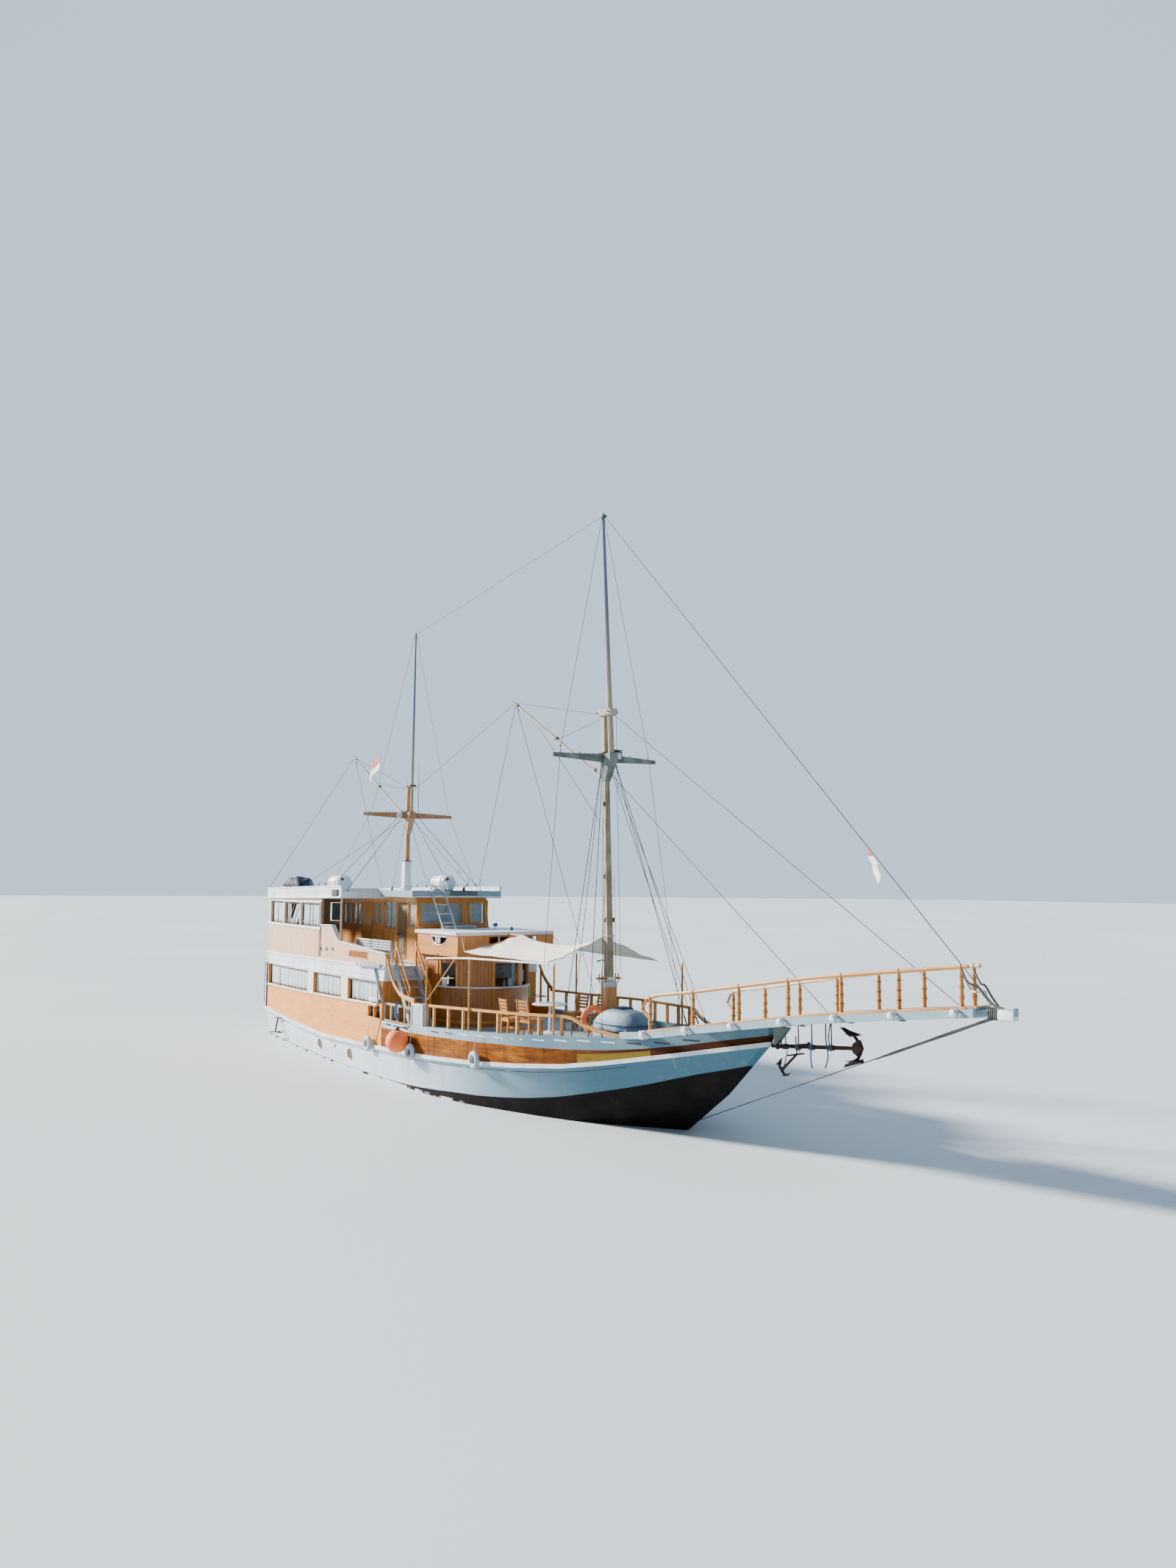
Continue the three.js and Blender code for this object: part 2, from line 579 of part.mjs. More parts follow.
function makeHouseFront() {
  const holes = FRONT_WINDOWS.map(([a, b]) => rect(a, b, 4070, 4620));
  return plateX(rect(-HOUSE_HALF, HOUSE_HALF, 2981, HELM_ROOF_BOTTOM - GAP), HOUSE_FRONT_X - HOUSE_WALL,
    HOUSE_FRONT_X, holes, HOUSE_RAKE, 2900);
}

function makeHouseBack() {
  const half = HOUSE_HALF - HOUSE_WALL - GAP;
  return plateX(rect(-half, half, upperTop(HOUSE_AFT + HOUSE_WALL) + GAP, roofBottom(HOUSE_AFT) - GAP),
    HOUSE_AFT, HOUSE_AFT + HOUSE_WALL, [rect(-420, 420, 3000, 4560), rect(560, 960, 3900, 4500)]);
}

// Door leaf with its hinge pin at the forward edge
function makeDoor() {
  const leaf = box(DOOR_AFT + RUNNING_GAP, DOOR_FORE - 14, -HOUSE_HALF, -HOUSE_HALF + 45,
    DOOR_SILL + 40 + RUNNING_GAP, DOOR_HEAD - RUNNING_GAP);
  const [x, y] = DOOR_AXIS;
  const pin = rod([x, y, DOOR_PIN[0]], [x, y, DOOR_PIN[1]], 8);
  const straps = [3300, 4200].flatMap((z) => [box(x - 90, x, y - 6, -HOUSE_HALF - 3, z, z + 50),
    box(x - 90, x - 20, y - 6, -HOUSE_HALF + 10, z, z + 50)]);
  return join(leaf, pin, straps);
}

// Saloon: walls round the front, crown box and roof slab
function saloonPlan(radius) {
  const arc = range(12, -Math.PI / 2, Math.PI / 2).map((a) => (
    [SALOON_ARC_X + radius * Math.cos(a), radius * Math.sin(a)]));
  return [[SALOON_AFT, -radius], ...arc, [SALOON_AFT, radius]];
}

const SALOON_OPENINGS = [[-90, -60], [-14, 20], [26, 62]];

function makeSaloonWalls() {
  const outer = saloonPlan(SALOON_RADIUS);
  const inner = saloonPlan(SALOON_RADIUS - SALOON_WALL).toReversed();
  const walls = plateZ([...outer, ...inner], 700, CROWN_BOTTOM - GAP);
  const wedge = (a0, a1) => plateZ([[SALOON_ARC_X, 0], ...[a0, a1].map((a) => {
    const t = THREE.MathUtils.degToRad(a);
    return [SALOON_ARC_X + 2400 * Math.cos(t), 2400 * Math.sin(t)];
  })], 2180, 3080);
  const sideWindows = [box(1930, 2050, -1500, -900, 2180, 3080), box(1620, 2050, 900, 1500, 2180, 3080)];
  return seat(cut(walls, SALOON_OPENINGS.map(([a, b]) => wedge(a, b)), sideWindows), hull, foreTopsides);
}

// Walls across the deck beside the saloon, out to the ship's side
const WING_STBD_X = 1420;
const WING_PORT_X = UPPER_DECK_FORE_PORT - 70;

function wingWall(side, x, start) {
  const y = [side * start, side * (sideHalf(x) - WALL - GAP - 2)].sort((a, b) => a - b);
  return box(x, x + SALOON_WALL, ...y, 700, upperBottom(x) - GAP);
}

const makeStarboardWing = () => seat(wingWall(-1, WING_STBD_X, SALOON_RADIUS + GAP), hull);

// On port it carries the side walk, and a doorway leads aft
function makePortWing() {
  const wall = wingWall(1, WING_PORT_X, SALOON_RADIUS - SALOON_WALL);
  const link = box(WING_PORT_X, SALOON_AFT - GAP, SALOON_RADIUS - SALOON_WALL, SALOON_RADIUS, 700,
    upperBottom(WING_PORT_X) - GAP);
  const walk = box(WING_PORT_X + 20, FORE_DECK_AFT_X - GAP, SALOON_RADIUS + GAP,
    sideHalf(WING_PORT_X) - WALL - GAP - 2, 1300, deckLine(FORE_DECK_AFT_X));
  const doorway = box(WING_PORT_X - PAST, WING_PORT_X + SALOON_WALL + PAST, 1520, 2240, 1420, 2420);
  return seat(cut(join(wall, link, walk), doorway), hull);
}

function crownPlan(d) {
  return [[SALOON_AFT + d, -1320 + d], [1130 + d / 2, -CROWN_HALF + d], [CROWN_FORE - d, -CROWN_HALF + d],
    [CROWN_FORE - d, CROWN_HALF - d], [1130 + d / 2, CROWN_HALF - d], [SALOON_AFT + d, 1320 - d]];
}

function makeCrown() {
  const tray = cut(plateZ(crownPlan(0), CROWN_BOTTOM, CROWN_TOP),
    plateZ(crownPlan(50), CROWN_BOTTOM + 45, CROWN_TOP + 100),
    plateZ([...saloonPlan(1100)].map(([x, y]) => [Math.max(x, 900), y]), CROWN_BOTTOM - 50, CROWN_TOP));
  const vent = plateY([[1900, 3790], [1960, 3640], [2120, 3560], [2520, 3560], [2680, 3640], [2740, 3790]],
    -2000, 2000);
  const frontVents = [[-540, 60], [700, 960]].map(([y0, y1]) => (
    box(CROWN_FORE - 200, CROWN_FORE + 200, y0, y1, 3620, 3790)));
  return cut(tray, vent, frontVents);
}

const makeSaloonRoof = () => plateZ([[SALOON_AFT, -1250], [970, -1540], [3290, -1540], [3400, -1430],
  [3400, 1430], [3290, 1540], [970, 1540], [SALOON_AFT, 1250]], CROWN_TOP + GAP, SLAB_TOP);

// Steep deck stairs on starboard, with newels and handrails
const STAIR_SIDES = [-2480, -1850];
const STRINGER = 40;
const TREAD = 40;

function makeStairs() {
  const [outer, inner] = STAIR_SIDES;
  const top = UPPER_DECK_FORE + GAP;
  const stringers = [outer, inner - STRINGER].map((y) => plateY(
    [[2610, 1380], [2780, 1380], [1790, 2940], [top, 2940], [top, 2870]], y, y + STRINGER));
  const treads = range(4, 0, 4).map((i) => {
    const x = 2530 - i * 165;
    const z = 1670 + i * 255;
    return box(x - 110, x + 130, outer + STRINGER / 2, inner - STRINGER / 2, z, z + TREAD);
  });
  const landing = box(top, 1800, outer, inner, 2910, 2990);
  const rails = STAIR_SIDES.flatMap((edge, i) => {
    const y = edge + (i ? -1 : 1) * STRINGER / 2;
    return [postZ([1735, y, 2950], [1735, y, 3600], 48, 30), postZ([2570, y, 1500], [2570, y, 2460], 24),
      barX([[1700, y, 3570], [2600, y, 2430]], 40, 60)];
  });
  return seat(join(stringers, treads, landing, rails), foreTopsides);
}

// Curved banisters down from the upper deck: rows of [x, z] on each side
const BANISTER_ROWS = {
  [-1]: [[UPPER_DECK_FORE + GAP, 3290], [1760, 3070], [1910, 2790], [2080, 2590], [2250, 2460],
    [2450, 2340], [2700, 2270], [PILLAR_AFT, PILLAR_TOP + 55 + GAP], [3300, PILLAR_TOP + 55 + GAP]],
  1: [[UPPER_DECK_FORE_PORT + GAP, 3200], [700, 3000], [840, 2760], [1050, 2480], [1280, 2290],
    [1420, 2200], [FORE_DECK_AFT_X + 40 - GAP, 2140]],
};

function makeBanister(side) {
  const y = side * (sideHalf(UPPER_DECK_FORE) - 45);
  const rows = BANISTER_ROWS[side];
  const bar = barX(rows.map(([x, z]) => [x, y, z]), 50, 110);
  const height = through(rows);
  const posts = [890, 1290].map((x) => (
    box(x - 30, x + 30, y - 22, y + 22, PORT_BULWARK_TOP + GAP, height(x))));
  return side < 0 ? bar : join(bar, posts);
}

// Boarding gate, hinged outboard on the pillar
function makeGate() {
  const y = [GATE_PIN[1], GATE_PIN[1] + 40];
  const posts = range(4, GATE_AFT + 30, GATE_FORE - 30).map((x) => (
    box(x - 30, x + 30, ...y, GATE_BOTTOM, GATE_TOP)));
  const bars = [[GATE_BOTTOM, GATE_BOTTOM + 50], [GATE_TOP - 60, GATE_TOP]].map(([z0, z1]) => (
    box(GATE_AFT, GATE_FORE, ...y, z0, z1)));
  const pin = rod([...GATE_PIN, GATE_BOTTOM - 30 + GAP], [...GATE_PIN, GATE_TOP + 6], 12);
  return join(posts, bars, pin);
}

// Deck rails on the gunwale, ending in a knee that comes down to it
const RAIL_TOP = smooth([[1500, 2150], [3600, 2180], [5700, 2250], [7300, 2280], [8800, 2330]]);
const RAIL_STEP = 640;

function makeRail(side, aft) {
  const at = (x, z) => [x, side * (sideHalf(x) - 100), z];
  const straightPart = stationsBetween(aft, 8800).map((x) => at(x, RAIL_TOP(x) - 30));
  const knee = [[9000, 2270], [9250, 2160], [9600, 2070], [9924, 2020], [10200, gunwaleZ(10200) + 31]];
  const top = barX([...straightPart, ...knee.map(([x, z]) => at(x, z))], 90, 60);
  const count = Math.floor((8700 - aft - 120) / RAIL_STEP);
  const posts = range(count, 8700 - count * RAIL_STEP, 8700).map((x) => {
    const y = side * (sideHalf(x) - 100);
    return box(x - 32, x + 32, y - 30, y + 30, gunwaleZ(x + 32) + GAP, RAIL_TOP(x) - 40);
  });
  return join(top, posts);
}

// Awning poles outboard of the rail, joined by a pipe on starboard: columns x and top z
const POLES = [[3930, 3330], [5830, 3430], [8540, 3430]];
const PORT_POLES = [['aft', 2700, 3240], ['fore', 8150, 3300]];
const poleY = (x) => sideHalf(x) - 27;
const PIPE_RADIUS = 24;

const awningPole = (side, x, top) => (
  rod([x, side * poleY(x), gunwaleZ(x + 24) + GAP], [x, side * poleY(x), top], PIPE_RADIUS));

function makeAwningFrame() {
  const poles = POLES.map(([x, top]) => awningPole(-1, x, top));
  const pipes = POLES.slice(1).map(([x, top], i) => rod(
    [POLES[i][0], -poleY(POLES[i][0]), POLES[i][1]], [x, -poleY(x), top], PIPE_RADIUS));
  return join(poles, pipes);
}

// Tent awning, hung from the saloon roof and the mast. Its starboard fore corner lies on the pipe.
// Rows from aft: starboard edge, ridge and port edge.
const AWNING_THICK = 14;
const AWNING_SAG = 35;
const AWNING_CORNER_X = 8340;
const pipeZ = through(POLES);
const pipeY = through(POLES.map(([x]) => [x, poleY(x)]));
const AWNING_ROWS = [
  { edge: [3750, -1530, 3450], ridge: [4050, 0, 3870], port: [3750, 1530, 3450] },
  { edge: [4500, -1690, 3435], ridge: [4650, 0, 3745], port: [4400, 1630, 3425] },
  { edge: [5500, -1850, 3450], ridge: [5500, 0, 3690], port: [5200, 1740, 3395] },
  { edge: [6700, -1930, 3450], ridge: [6500, 0, 3710], port: [6200, 1850, 3360] },
  { edge: [7600, -1960, 3450], ridge: [7250, 0, 3830], port: [6800, 1910, 3335] },
  { edge: [AWNING_CORNER_X, -pipeY(AWNING_CORNER_X), pipeZ(AWNING_CORNER_X) + PIPE_RADIUS + GAP],
    ridge: [7730, 0, 3975], port: [7300, 1950, 3320] },
];

function makeAwning() {
  const between = (a, b) => a.map((n, i) => lerp(n, b[i], 0.5) - (i === 2 ? AWNING_SAG : 0));
  return loft(AWNING_ROWS.map(({ edge, ridge, port }) => {
    const under = [edge, between(edge, ridge), ridge, between(ridge, port), port];
    return [...under, ...under.toReversed().map(([x, y, z]) => [x, y, z + AWNING_THICK])];
  }), 0);
}

// Covered tender, upside down on the fore deck
function makeTender() {
  const shell = new THREE.SphereGeometry(1, 14, 10);
  shell.rotateX(Math.PI / 2);
  shell.scale(850, 540, 800);
  shell.translate(9000, -350, 1615);
  const pad = box(8780, 9180, -510, -190, 2330, 2450);
  return seat(cut(join(toSolid(shell), pad), box(7900, 10100, -1200, 600, 500, 1600)), foreTopsides);
}

function makeBallFender() {
  const radius = 290;
  const x = 3030;
  const y = -(sideHalf(x) + radius + 1);
  const ball = new THREE.SphereGeometry(radius, 12, 8);
  ball.rotateX(Math.PI / 2);
  ball.translate(x, y, 1210);
  return join(toSolid(ball), rod([x, y, 1440], [x, y, 1545], 90, 30));
}

// Roof gear
function makeLadder() {
  const foot = [1430, 3880];
  const edge = [HELM_ROOF_FORE + 20, HELM_ROOF_TOP + 14];
  const share = 1.28;
  const top = [lerp(foot[0], edge[0], share), lerp(foot[1], edge[1], share)];
  const stiles = [-870, -470].map((y) => rod([foot[0], y, foot[1]], [top[0], y, top[1]], 22, 22, 6));
  const rungs = [0.2, 0.42, 0.64, 0.86, 1.1].map((t) => {
    const x = lerp(foot[0], edge[0], t);
    const z = lerp(foot[1], edge[1], t);
    return rod([x, -870, z], [x, -470, z], 14, 14, 6);
  });
  return seat(join(stiles, rungs), saloonRoof);
}

// Drum lying fore and aft on two cradles that stand on a roof
function makeTank(x, y, base, half, radius, lift) {
  const z = base(x + half) + GAP + lift + radius;
  const drum = rod([x - half, y, z], [x + half, y, z], radius, radius, 20);
  const cradles = [-1, 1].map((end) => {
    const at = x + end * half * 0.6;
    return box(at - 40, at + 40, y - radius * 0.8, y + radius * 0.8, base(at + 40) + GAP, z - radius * 0.85);
  });
  return join(drum, cradles);
}

// Bundle under a tarpaulin: rows of half length, half width and height above the roof
const BUNDLE_ROWS = [[800, 330, 0], [850, 360, 240], [770, 310, 460], [500, 170, 640]];
const BUNDLE_PLACE = [-7780, -1480];

function makeTarpBundle() {
  const [x, y] = BUNDLE_PLACE;
  const foot = roofTop(x - BUNDLE_ROWS[0][0]);
  return seat(loft(BUNDLE_ROWS.map(([long, wide, rise]) => (
    rect(x - long, x + long, y - wide, y + wide).map(([px, py]) => [px, py, foot + rise]))), 2), mainRoof);
}

// Bowsprit platform: columns x and top z of the side beams
const FRAME_ROWS = [[10250, 2090], [11000, 2165], [12200, 2375], [13400, 2570], [15000, 2830],
  [16700, 3045], [18300, 3235]];
const frameTop = through(FRAME_ROWS);
const crossX = range(CROSS_COUNT - 1, CROSS_FIRST_X, CROSS_FIRST_X + CROSS_STEP * (CROSS_COUNT - 1));

function makeBowspritFrame() {
  const beams = [-1, 1].map((side) => barX(FRAME_ROWS.map(([x, top]) => (
    [x, side * frameHalf(x), top - BEAM_DEPTH / 2])), BEAM_WIDTH, BEAM_DEPTH));
  const crosses = crossX.map((x) => {
    const half = frameHalf(x) + 70;
    return box(x - 45, x + 45, -half, half, frameTop(x - 45) - 120, frameTop(x - 45));
  });
  const rows = [STEM_DECK_X + 20, ...FRAME_ROWS.slice(4).map(([x]) => x), SPRIT_TIP_X];
  const sprit = barX(rows.map((x) => [x, 0, frameTop(x) - 90]), 130, 130);
  return seatOn(join(beams, crosses, sprit), gunwale, WRAP_SHIFTS);
}

function makeBowspritDeck() {
  return loft(FRAME_ROWS.slice(2).map(([x, top]) => {
    const half = frameHalf(x) - 60;
    return rect(-half, half, top + GAP, top + DECK_PLATE).map(([y, z]) => [x, y, z]);
  }), 0);
}

function makeBowRail(side) {
  const at = (x, rise) => [x, side * (frameHalf(x) - BOW_RAIL_INSET), frameTop(x) + rise];
  const foot = (x) => (x < FRAME_ROWS[2][0] ? -12 : DECK_PLATE / 2);
  const aft = crossX[0];
  const rail = tube([at(aft, 260), at(aft - 200, 400), at(aft - 250, 560), at(aft - 60, BOW_RAIL_RISE),
    ...crossX.slice(1).map((x) => at(x, BOW_RAIL_RISE)), at(crossX.at(-1) + 130, BOW_RAIL_RISE)], 36, 26);
  const posts = crossX.map((x) => rod(at(x, foot(x)), at(x, BOW_RAIL_RISE), 30, 24, 6));
  return seat(join(rail, posts), frame, frameDeck);
}

// Anchor lashed under the platform, its shank's end against the stem rail
function makeAnchor() {
  const shank = barX([[STEM_RUB_X + 130 + 0.5, 0, 2065], [15640, 0, 2270]], 60, 70);
  const arms = tube([[15230, 2590], [15480, 2500], [15650, 2270], [15560, 2040], [15290, 1920]].map(
    ([x, z]) => [x, 0, z]), 30, 12);
  const palms = [[15360, 2520, -35], [15420, 2010, 35]].map(([x, z, turn]) => {
    const palm = new THREE.CylinderGeometry(0, 95, 260, 4);
    palm.scale(1, 1, 0.35);
    palm.rotateZ(THREE.MathUtils.degToRad(90 + turn));
    palm.translate(x, 0, z);
    return toSolid(palm);
  });
  return join(shank, arms, palms);
}

// Masts. The lower masts are square; each topmast stands on its crosstree, forward of the mast.
const mainX = (z) => 7925 - (z - 3300) * 0.0385;
const mainHalf = (z) => lerp(MAIN_HALF_FOOT, MAIN_HALF_CAP, (z - MAIN_FOOT_Z) / (MAIN_CAP_Z - MAIN_FOOT_Z));
const mizzenFootZ = roofTop(-2800) + 4;
const mizzenShare = (z) => (z - mizzenFootZ) / (MIZZEN_CAP_Z - mizzenFootZ);
const mizzenX = (z) => lerp(-2695, -2640, mizzenShare(z));
const mizzenHalf = (z) => lerp(MIZZEN_HALF_FOOT, MIZZEN_HALF_CAP, mizzenShare(z));
const mastPost = (centre, half, foot, cap, grow = 0) => postZ([centre(foot), 0, foot], [centre(cap), 0, cap],
  half(foot) + grow, half(cap) + grow);
const mainPost = (grow) => mastPost(mainX, mainHalf, MAIN_FOOT_Z, MAIN_CAP_Z, grow);
const mizzenPost = (grow) => mastPost(mizzenX, mizzenHalf, mizzenFootZ, MIZZEN_CAP_Z, grow);

// Gooseneck for a gaff: plate and pin on the mast's aft side
const PIN_RADIUS = 16;
const EYE_BORE = 22;
const gaffPinX = (x, half) => x - half - 110;

function gooseneck(x, half, z) {
  const pinX = gaffPinX(x, half);
  return join(box(pinX - 45, x, -45, 45, z - 90, z - 60),
    rod([pinX, 0, z - 80], [pinX, 0, z + 75], PIN_RADIUS));
}

function makeMainMast() {
  return join(mainPost(), gooseneck(mainX(MAIN_GAFF_Z), mainHalf(MAIN_GAFF_Z), MAIN_GAFF_Z));
}

const CASING_TOP = 5870;

function makeMizzenMast() {
  const foot = [mizzenX(mizzenFootZ), 0, roofTop(-2850) + GAP];
  const casing = postZ(foot, [mizzenX(CASING_TOP), 0, CASING_TOP], 118, 110);
  return join(seat(casing, mainRoof), mizzenPost(),
    gooseneck(mizzenX(MIZZEN_GAFF_Z), mizzenHalf(MIZZEN_GAFF_Z), MIZZEN_GAFF_Z));
}

// Crosstree let into the mast from the fore side; the topmast stands on its block, and a knee is below
const TREE_HEIGHT = 220;
const BLOCK_CHEEK = 45;

function makeCrosstree(post, centre, half, z, heelX, heelRadius) {
  const x = centre(z);
  const side = half(z) + BLOCK_CHEEK;
  const arm = (y, w, h) => rect(x - w / 2, x + w / 2, z - h / 2, z + h / 2).map(([px, pz]) => [px, y, pz]);
  const arms = loft([arm(-TREE_HALF, 70, 90), arm(-160, 110, 190), arm(160, 110, 190),
    arm(TREE_HALF, 70, 90)], 1);
  const fore = heelX + heelRadius + 30;
  const block = box(x - 55, fore, -side, side, z - TREE_HEIGHT / 2, z + TREE_HEIGHT / 2);
  const ring = (from, to, wide, height) => rect(from, to, -wide, wide).map(([px, py]) => [px, py, height]);
  const knee = loft([ring(x - 20, x + half(z) + 30, half(z) + 16, z - 560),
    ring(x - 40, fore - 20, side - 4, z - TREE_HEIGHT / 2 + 20)], 2);
  return cut(join(arms, block, knee), post(GAP));
}

function makeGaff(pinX, z, peak) {
  const eye = rod([pinX, 0, z - 60 + GAP], [pinX, 0, z + 60], 60, 60, 12);
  const toPeak = new THREE.Vector3(peak[0] - pinX, 0, peak[2] - z).normalize();
  const heel = [pinX + toPeak.x * 52, 0, z + toPeak.z * 20];
  const spar = rod(heel, [peak[0], 0, peak[2]], 44, 34, 8);
  const bore = rod([pinX, 0, z - 200], [pinX, 0, z + 200], EYE_BORE, EYE_BORE, 12);
  return cut(join(eye, spar), bore);
}

// Hound plate on a crosstree's block, with stays down to their feet on a base: rows of [start, foot]
const HOUND_REACH = 125;
const HOUND_OVER = 30;

function makeShrouds(post, centre, half, treeZ, legs, base) {
  const x = centre(treeZ);
  const z = treeZ + TREE_HEIGHT / 2 + GAP;
  const wide = half(treeZ) + BLOCK_CHEEK + HOUND_OVER;
  const plateTop = cut(box(x - HOUND_REACH, x + HOUND_REACH, -wide, wide, z, z + 30), post(3));
  const stays = [-1, 1].flatMap((side) => legs.map(([start, [fx, fy, fz]]) => (
    rod([fx, side * fy, fz], [x + start, side * (wide - 14), z + 15], 9, 9, 5))));
  return seat(join(plateTop, stays), base);
}

// The heel is raised so that a leaning topmast's lower rim stands on the block
function heelOn(x, treeZ, truck, radius) {
  const z = treeZ + TREE_HEIGHT / 2;
  const lean = Math.abs(truck[0] - x) / Math.hypot(truck[0] - x, truck[2] - z);
  return [x, 0, z + GAP + 0.1 + radius * lean];
}

const mainHeel = heelOn(MAIN_HEEL_X, MAIN_TREE_Z, MAIN_TRUCK, MAIN_TOPMAST_RADIUS);
const mizzenHeel = heelOn(MIZZEN_HEEL_X, MIZZEN_TREE_Z, MIZZEN_TRUCK, MIZZEN_TOPMAST_RADIUS);
const topmast = (heel, truck, r, grow = 0) => rod(heel, truck, r + grow, r * 0.5 + grow, 8);

function makeHeadStays() {
  const z = MAIN_TRUCK[2] - 90;
  const x = MAIN_TRUCK[0] + 6;
  const band = cut(box(x - 60, x + 60, -60, 60, z - 25, z + 25),
    topmast(mainHeel, MAIN_TRUCK, MAIN_TOPMAST_RADIUS, 0.6));
  const fore = rod([x + 52, 0, z + 4], [STAY_X, 0, frameTop(STAY_X) - 16], 9, 9, 6);
  const triatic = rod([x - 52, 0, z + 3], [MIZZEN_TRUCK[0] + 28, 0, MIZZEN_TRUCK[2] - 60], 8, 8, 6);
  return join(band, fore, triatic);
}

// Wire from the stem above the waterline to the underside of the bowsprit
const BOBSTAY_FOOT_Z = 200;

function makeBobstay() {
  const wire = rod([stemX(BOBSTAY_FOOT_Z) - 20, 0, BOBSTAY_FOOT_Z],
    [STAY_X, 0, frameTop(STAY_X) - 150], 10, 10, 5);
  return cut(wire, hull, shifted(hull, GAP, 0, 0), frame, shifted(frame, 0, 0, -GAP));
}

// Stern gear
function makePropeller() {
  const hub = rod([PROP_X - 110, 0, SHAFT_Z], [PROP_X + 90, 0, SHAFT_Z], 45, 75, 10);
  const shaft = rod([PROP_X, 0, SHAFT_Z], [APERTURE_X + 420 - GAP, 0, SHAFT_Z], SHAFT_RADIUS, SHAFT_RADIUS,
    10);
  const blades = range(2, 0, 2).map((i) => {
    const outline = [[-70, 40], [70, 40], [170, 230], [120, 400], [0, PROP_RADIUS], [-120, 400],
      [-170, 230]];
    const blade = new THREE.ExtrudeGeometry(shapeOf(outline), { depth: 26, bevelEnabled: false });
    blade.translate(0, 0, -13);
    blade.rotateX(Math.PI / 2);
    blade.rotateZ(Math.PI / 2 + THREE.MathUtils.degToRad(30));
    blade.rotateX(i * 2 * Math.PI / 3);
    blade.translate(PROP_X, 0, SHAFT_Z);
    return toSolid(blade);
  });
  return join(hub, shaft, blades);
}

function makeRudder() {
  const stock = rod([RUDDER_X, 0, HULL_BOTTOM], [RUDDER_X, 0, STOCK_TOP], STOCK_RADIUS, STOCK_RADIUS, 12);
  const blade = plateY([[RUDDER_X, -1400], [-8860, -1400], [-8930, -900], [-8900, RUDDER_TOP],
    [RUDDER_X, RUDDER_TOP]], -36, 36);
  return join(stock, blade);
}

function makeTabernacle() {
  return seat(postZ([7955, 0, 1450], [7940, 0, MAIN_FOOT_Z - GAP], 135), foreTopsides);
}

const gunwale = makeGunwale();
const mainRoof = makeMainRoof();
const saloonRoof = makeSaloonRoof();
const frame = makeBowspritFrame();
const frameDeck = makeBowspritDeck();
const mainPinX = gaffPinX(mainX(MAIN_GAFF_Z), mainHalf(MAIN_GAFF_Z));
const mizzenPinX = gaffPinX(mizzenX(MIZZEN_GAFF_Z), mizzenHalf(MIZZEN_GAFF_Z));
const mainLegs = [8650, 9350].map((x) => [100, [x, sideHalf(x) - 148, gunwaleZ(x) - 8]]);
const mizzenLegs = [[-100, -3700], [100, -2000]].map(([start, x]) => (
  [start, [x, sideHalf(x) - 320, roofTop(x) - 8]]));

addPart('hull', hull, 'whitePaint');
addPart('keel', makeKeel(), 'bottomPaint');
addPart('topsides_fore', foreTopsides, 'brownWood');
addPart('rub_rail', makeRubRail(), 'whitePaint');
addPart('gunwale', gunwale, 'greyBlue');
addPart('lower_side_stbd', lowerSide(-1), 'peachWood');
addPart('lower_side_port', lowerSide(1), 'peachWood');
addPart('lower_stern', sternWall(rubLine(TRANSOM_X) + GAP, upperBottom(TRANSOM_X) - GAP, 1800, 2400),
  'peachWood');
addPart('upper_deck', makeUpperDeck(), 'whitePaint');
addPart('upper_side_stbd', upperSide(-1), 'peachWood');
addPart('upper_side_port', upperSide(1), 'peachWood');
addPart('upper_stern', sternWall(upperTop(TRANSOM_X + WALL) + GAP, roofBottom(TRANSOM_X) - GAP, 3860, 4500),
  'peachWood');
addPart('main_roof', mainRoof, 'whitePaint');
addPart('helm_roof', makeHelmRoof(), 'greyBlue');
addPart('house_side_stbd', houseSide(-1), 'honeyWood');
addPart('house_side_port', houseSide(1), 'honeyWood');
addPart('house_front', makeHouseFront(), 'honeyWood');
addPart('house_back', makeHouseBack(), 'honeyWood');
addPart('house_door', makeDoor(), 'brownWood');
addPart('saloon_walls', makeSaloonWalls(), 'honeyWood');
addPart('saloon_wing_stbd', makeStarboardWing(), 'honeyWood');
addPart('saloon_wing_port', makePortWing(), 'honeyWood');
addPart('saloon_crown', makeCrown(), 'honeyWood');
addPart('saloon_roof', saloonRoof, 'whitePaint');

for (const [name, side] of [['stbd', -1], ['port', 1]]) {
  addPart(`banister_${name}`, makeBanister(side), 'peachWood');
  addPart(`bow_rail_${name}`, makeBowRail(side), 'honeyWood');
}
addPart('stairs', makeStairs(), 'greyBlue');
addPart('boarding_gate', makeGate(), 'paleWood');
addPart('rail_stbd', makeRail(-1, PILLAR_FORE + GAP), 'honeyWood');
addPart('rail_port', makeRail(1, FORE_DECK_AFT_X + 40), 'honeyWood');
addPart('awning', makeAwning(), 'canvas');
addPart('tender', makeTender(), 'greyBlue');
addPart('awning_frame_stbd', makeAwningFrame(), 'honeyWood');
for (const [end, x, top] of PORT_POLES) addPart(`awning_pole_port_${end}`, awningPole(1, x, top), 'honeyWood');
addPart('ball_fender', makeBallFender(), 'orange');
addPart('roof_ladder', makeLadder(), 'aluminium');
addPart('roof_tank_fore', makeTank(-105, -100, level(HELM_ROOF_TOP), 400, 230, 0), 'tank');
addPart('roof_tank_aft', makeTank(-5420, -1000, roofTop, 410, 275, 10), 'tank');
addPart('tarp_bundle', makeTarpBundle(), 'blueTarp');
addPart('bowsprit_frame', frame, 'whitePaint');
addPart('bowsprit_deck', frameDeck, 'paleWood');
addPart('anchor', makeAnchor(), 'iron');
addPart('bobstay', makeBobstay(), 'steel');
addPart('tabernacle', makeTabernacle(), 'honeyWood');
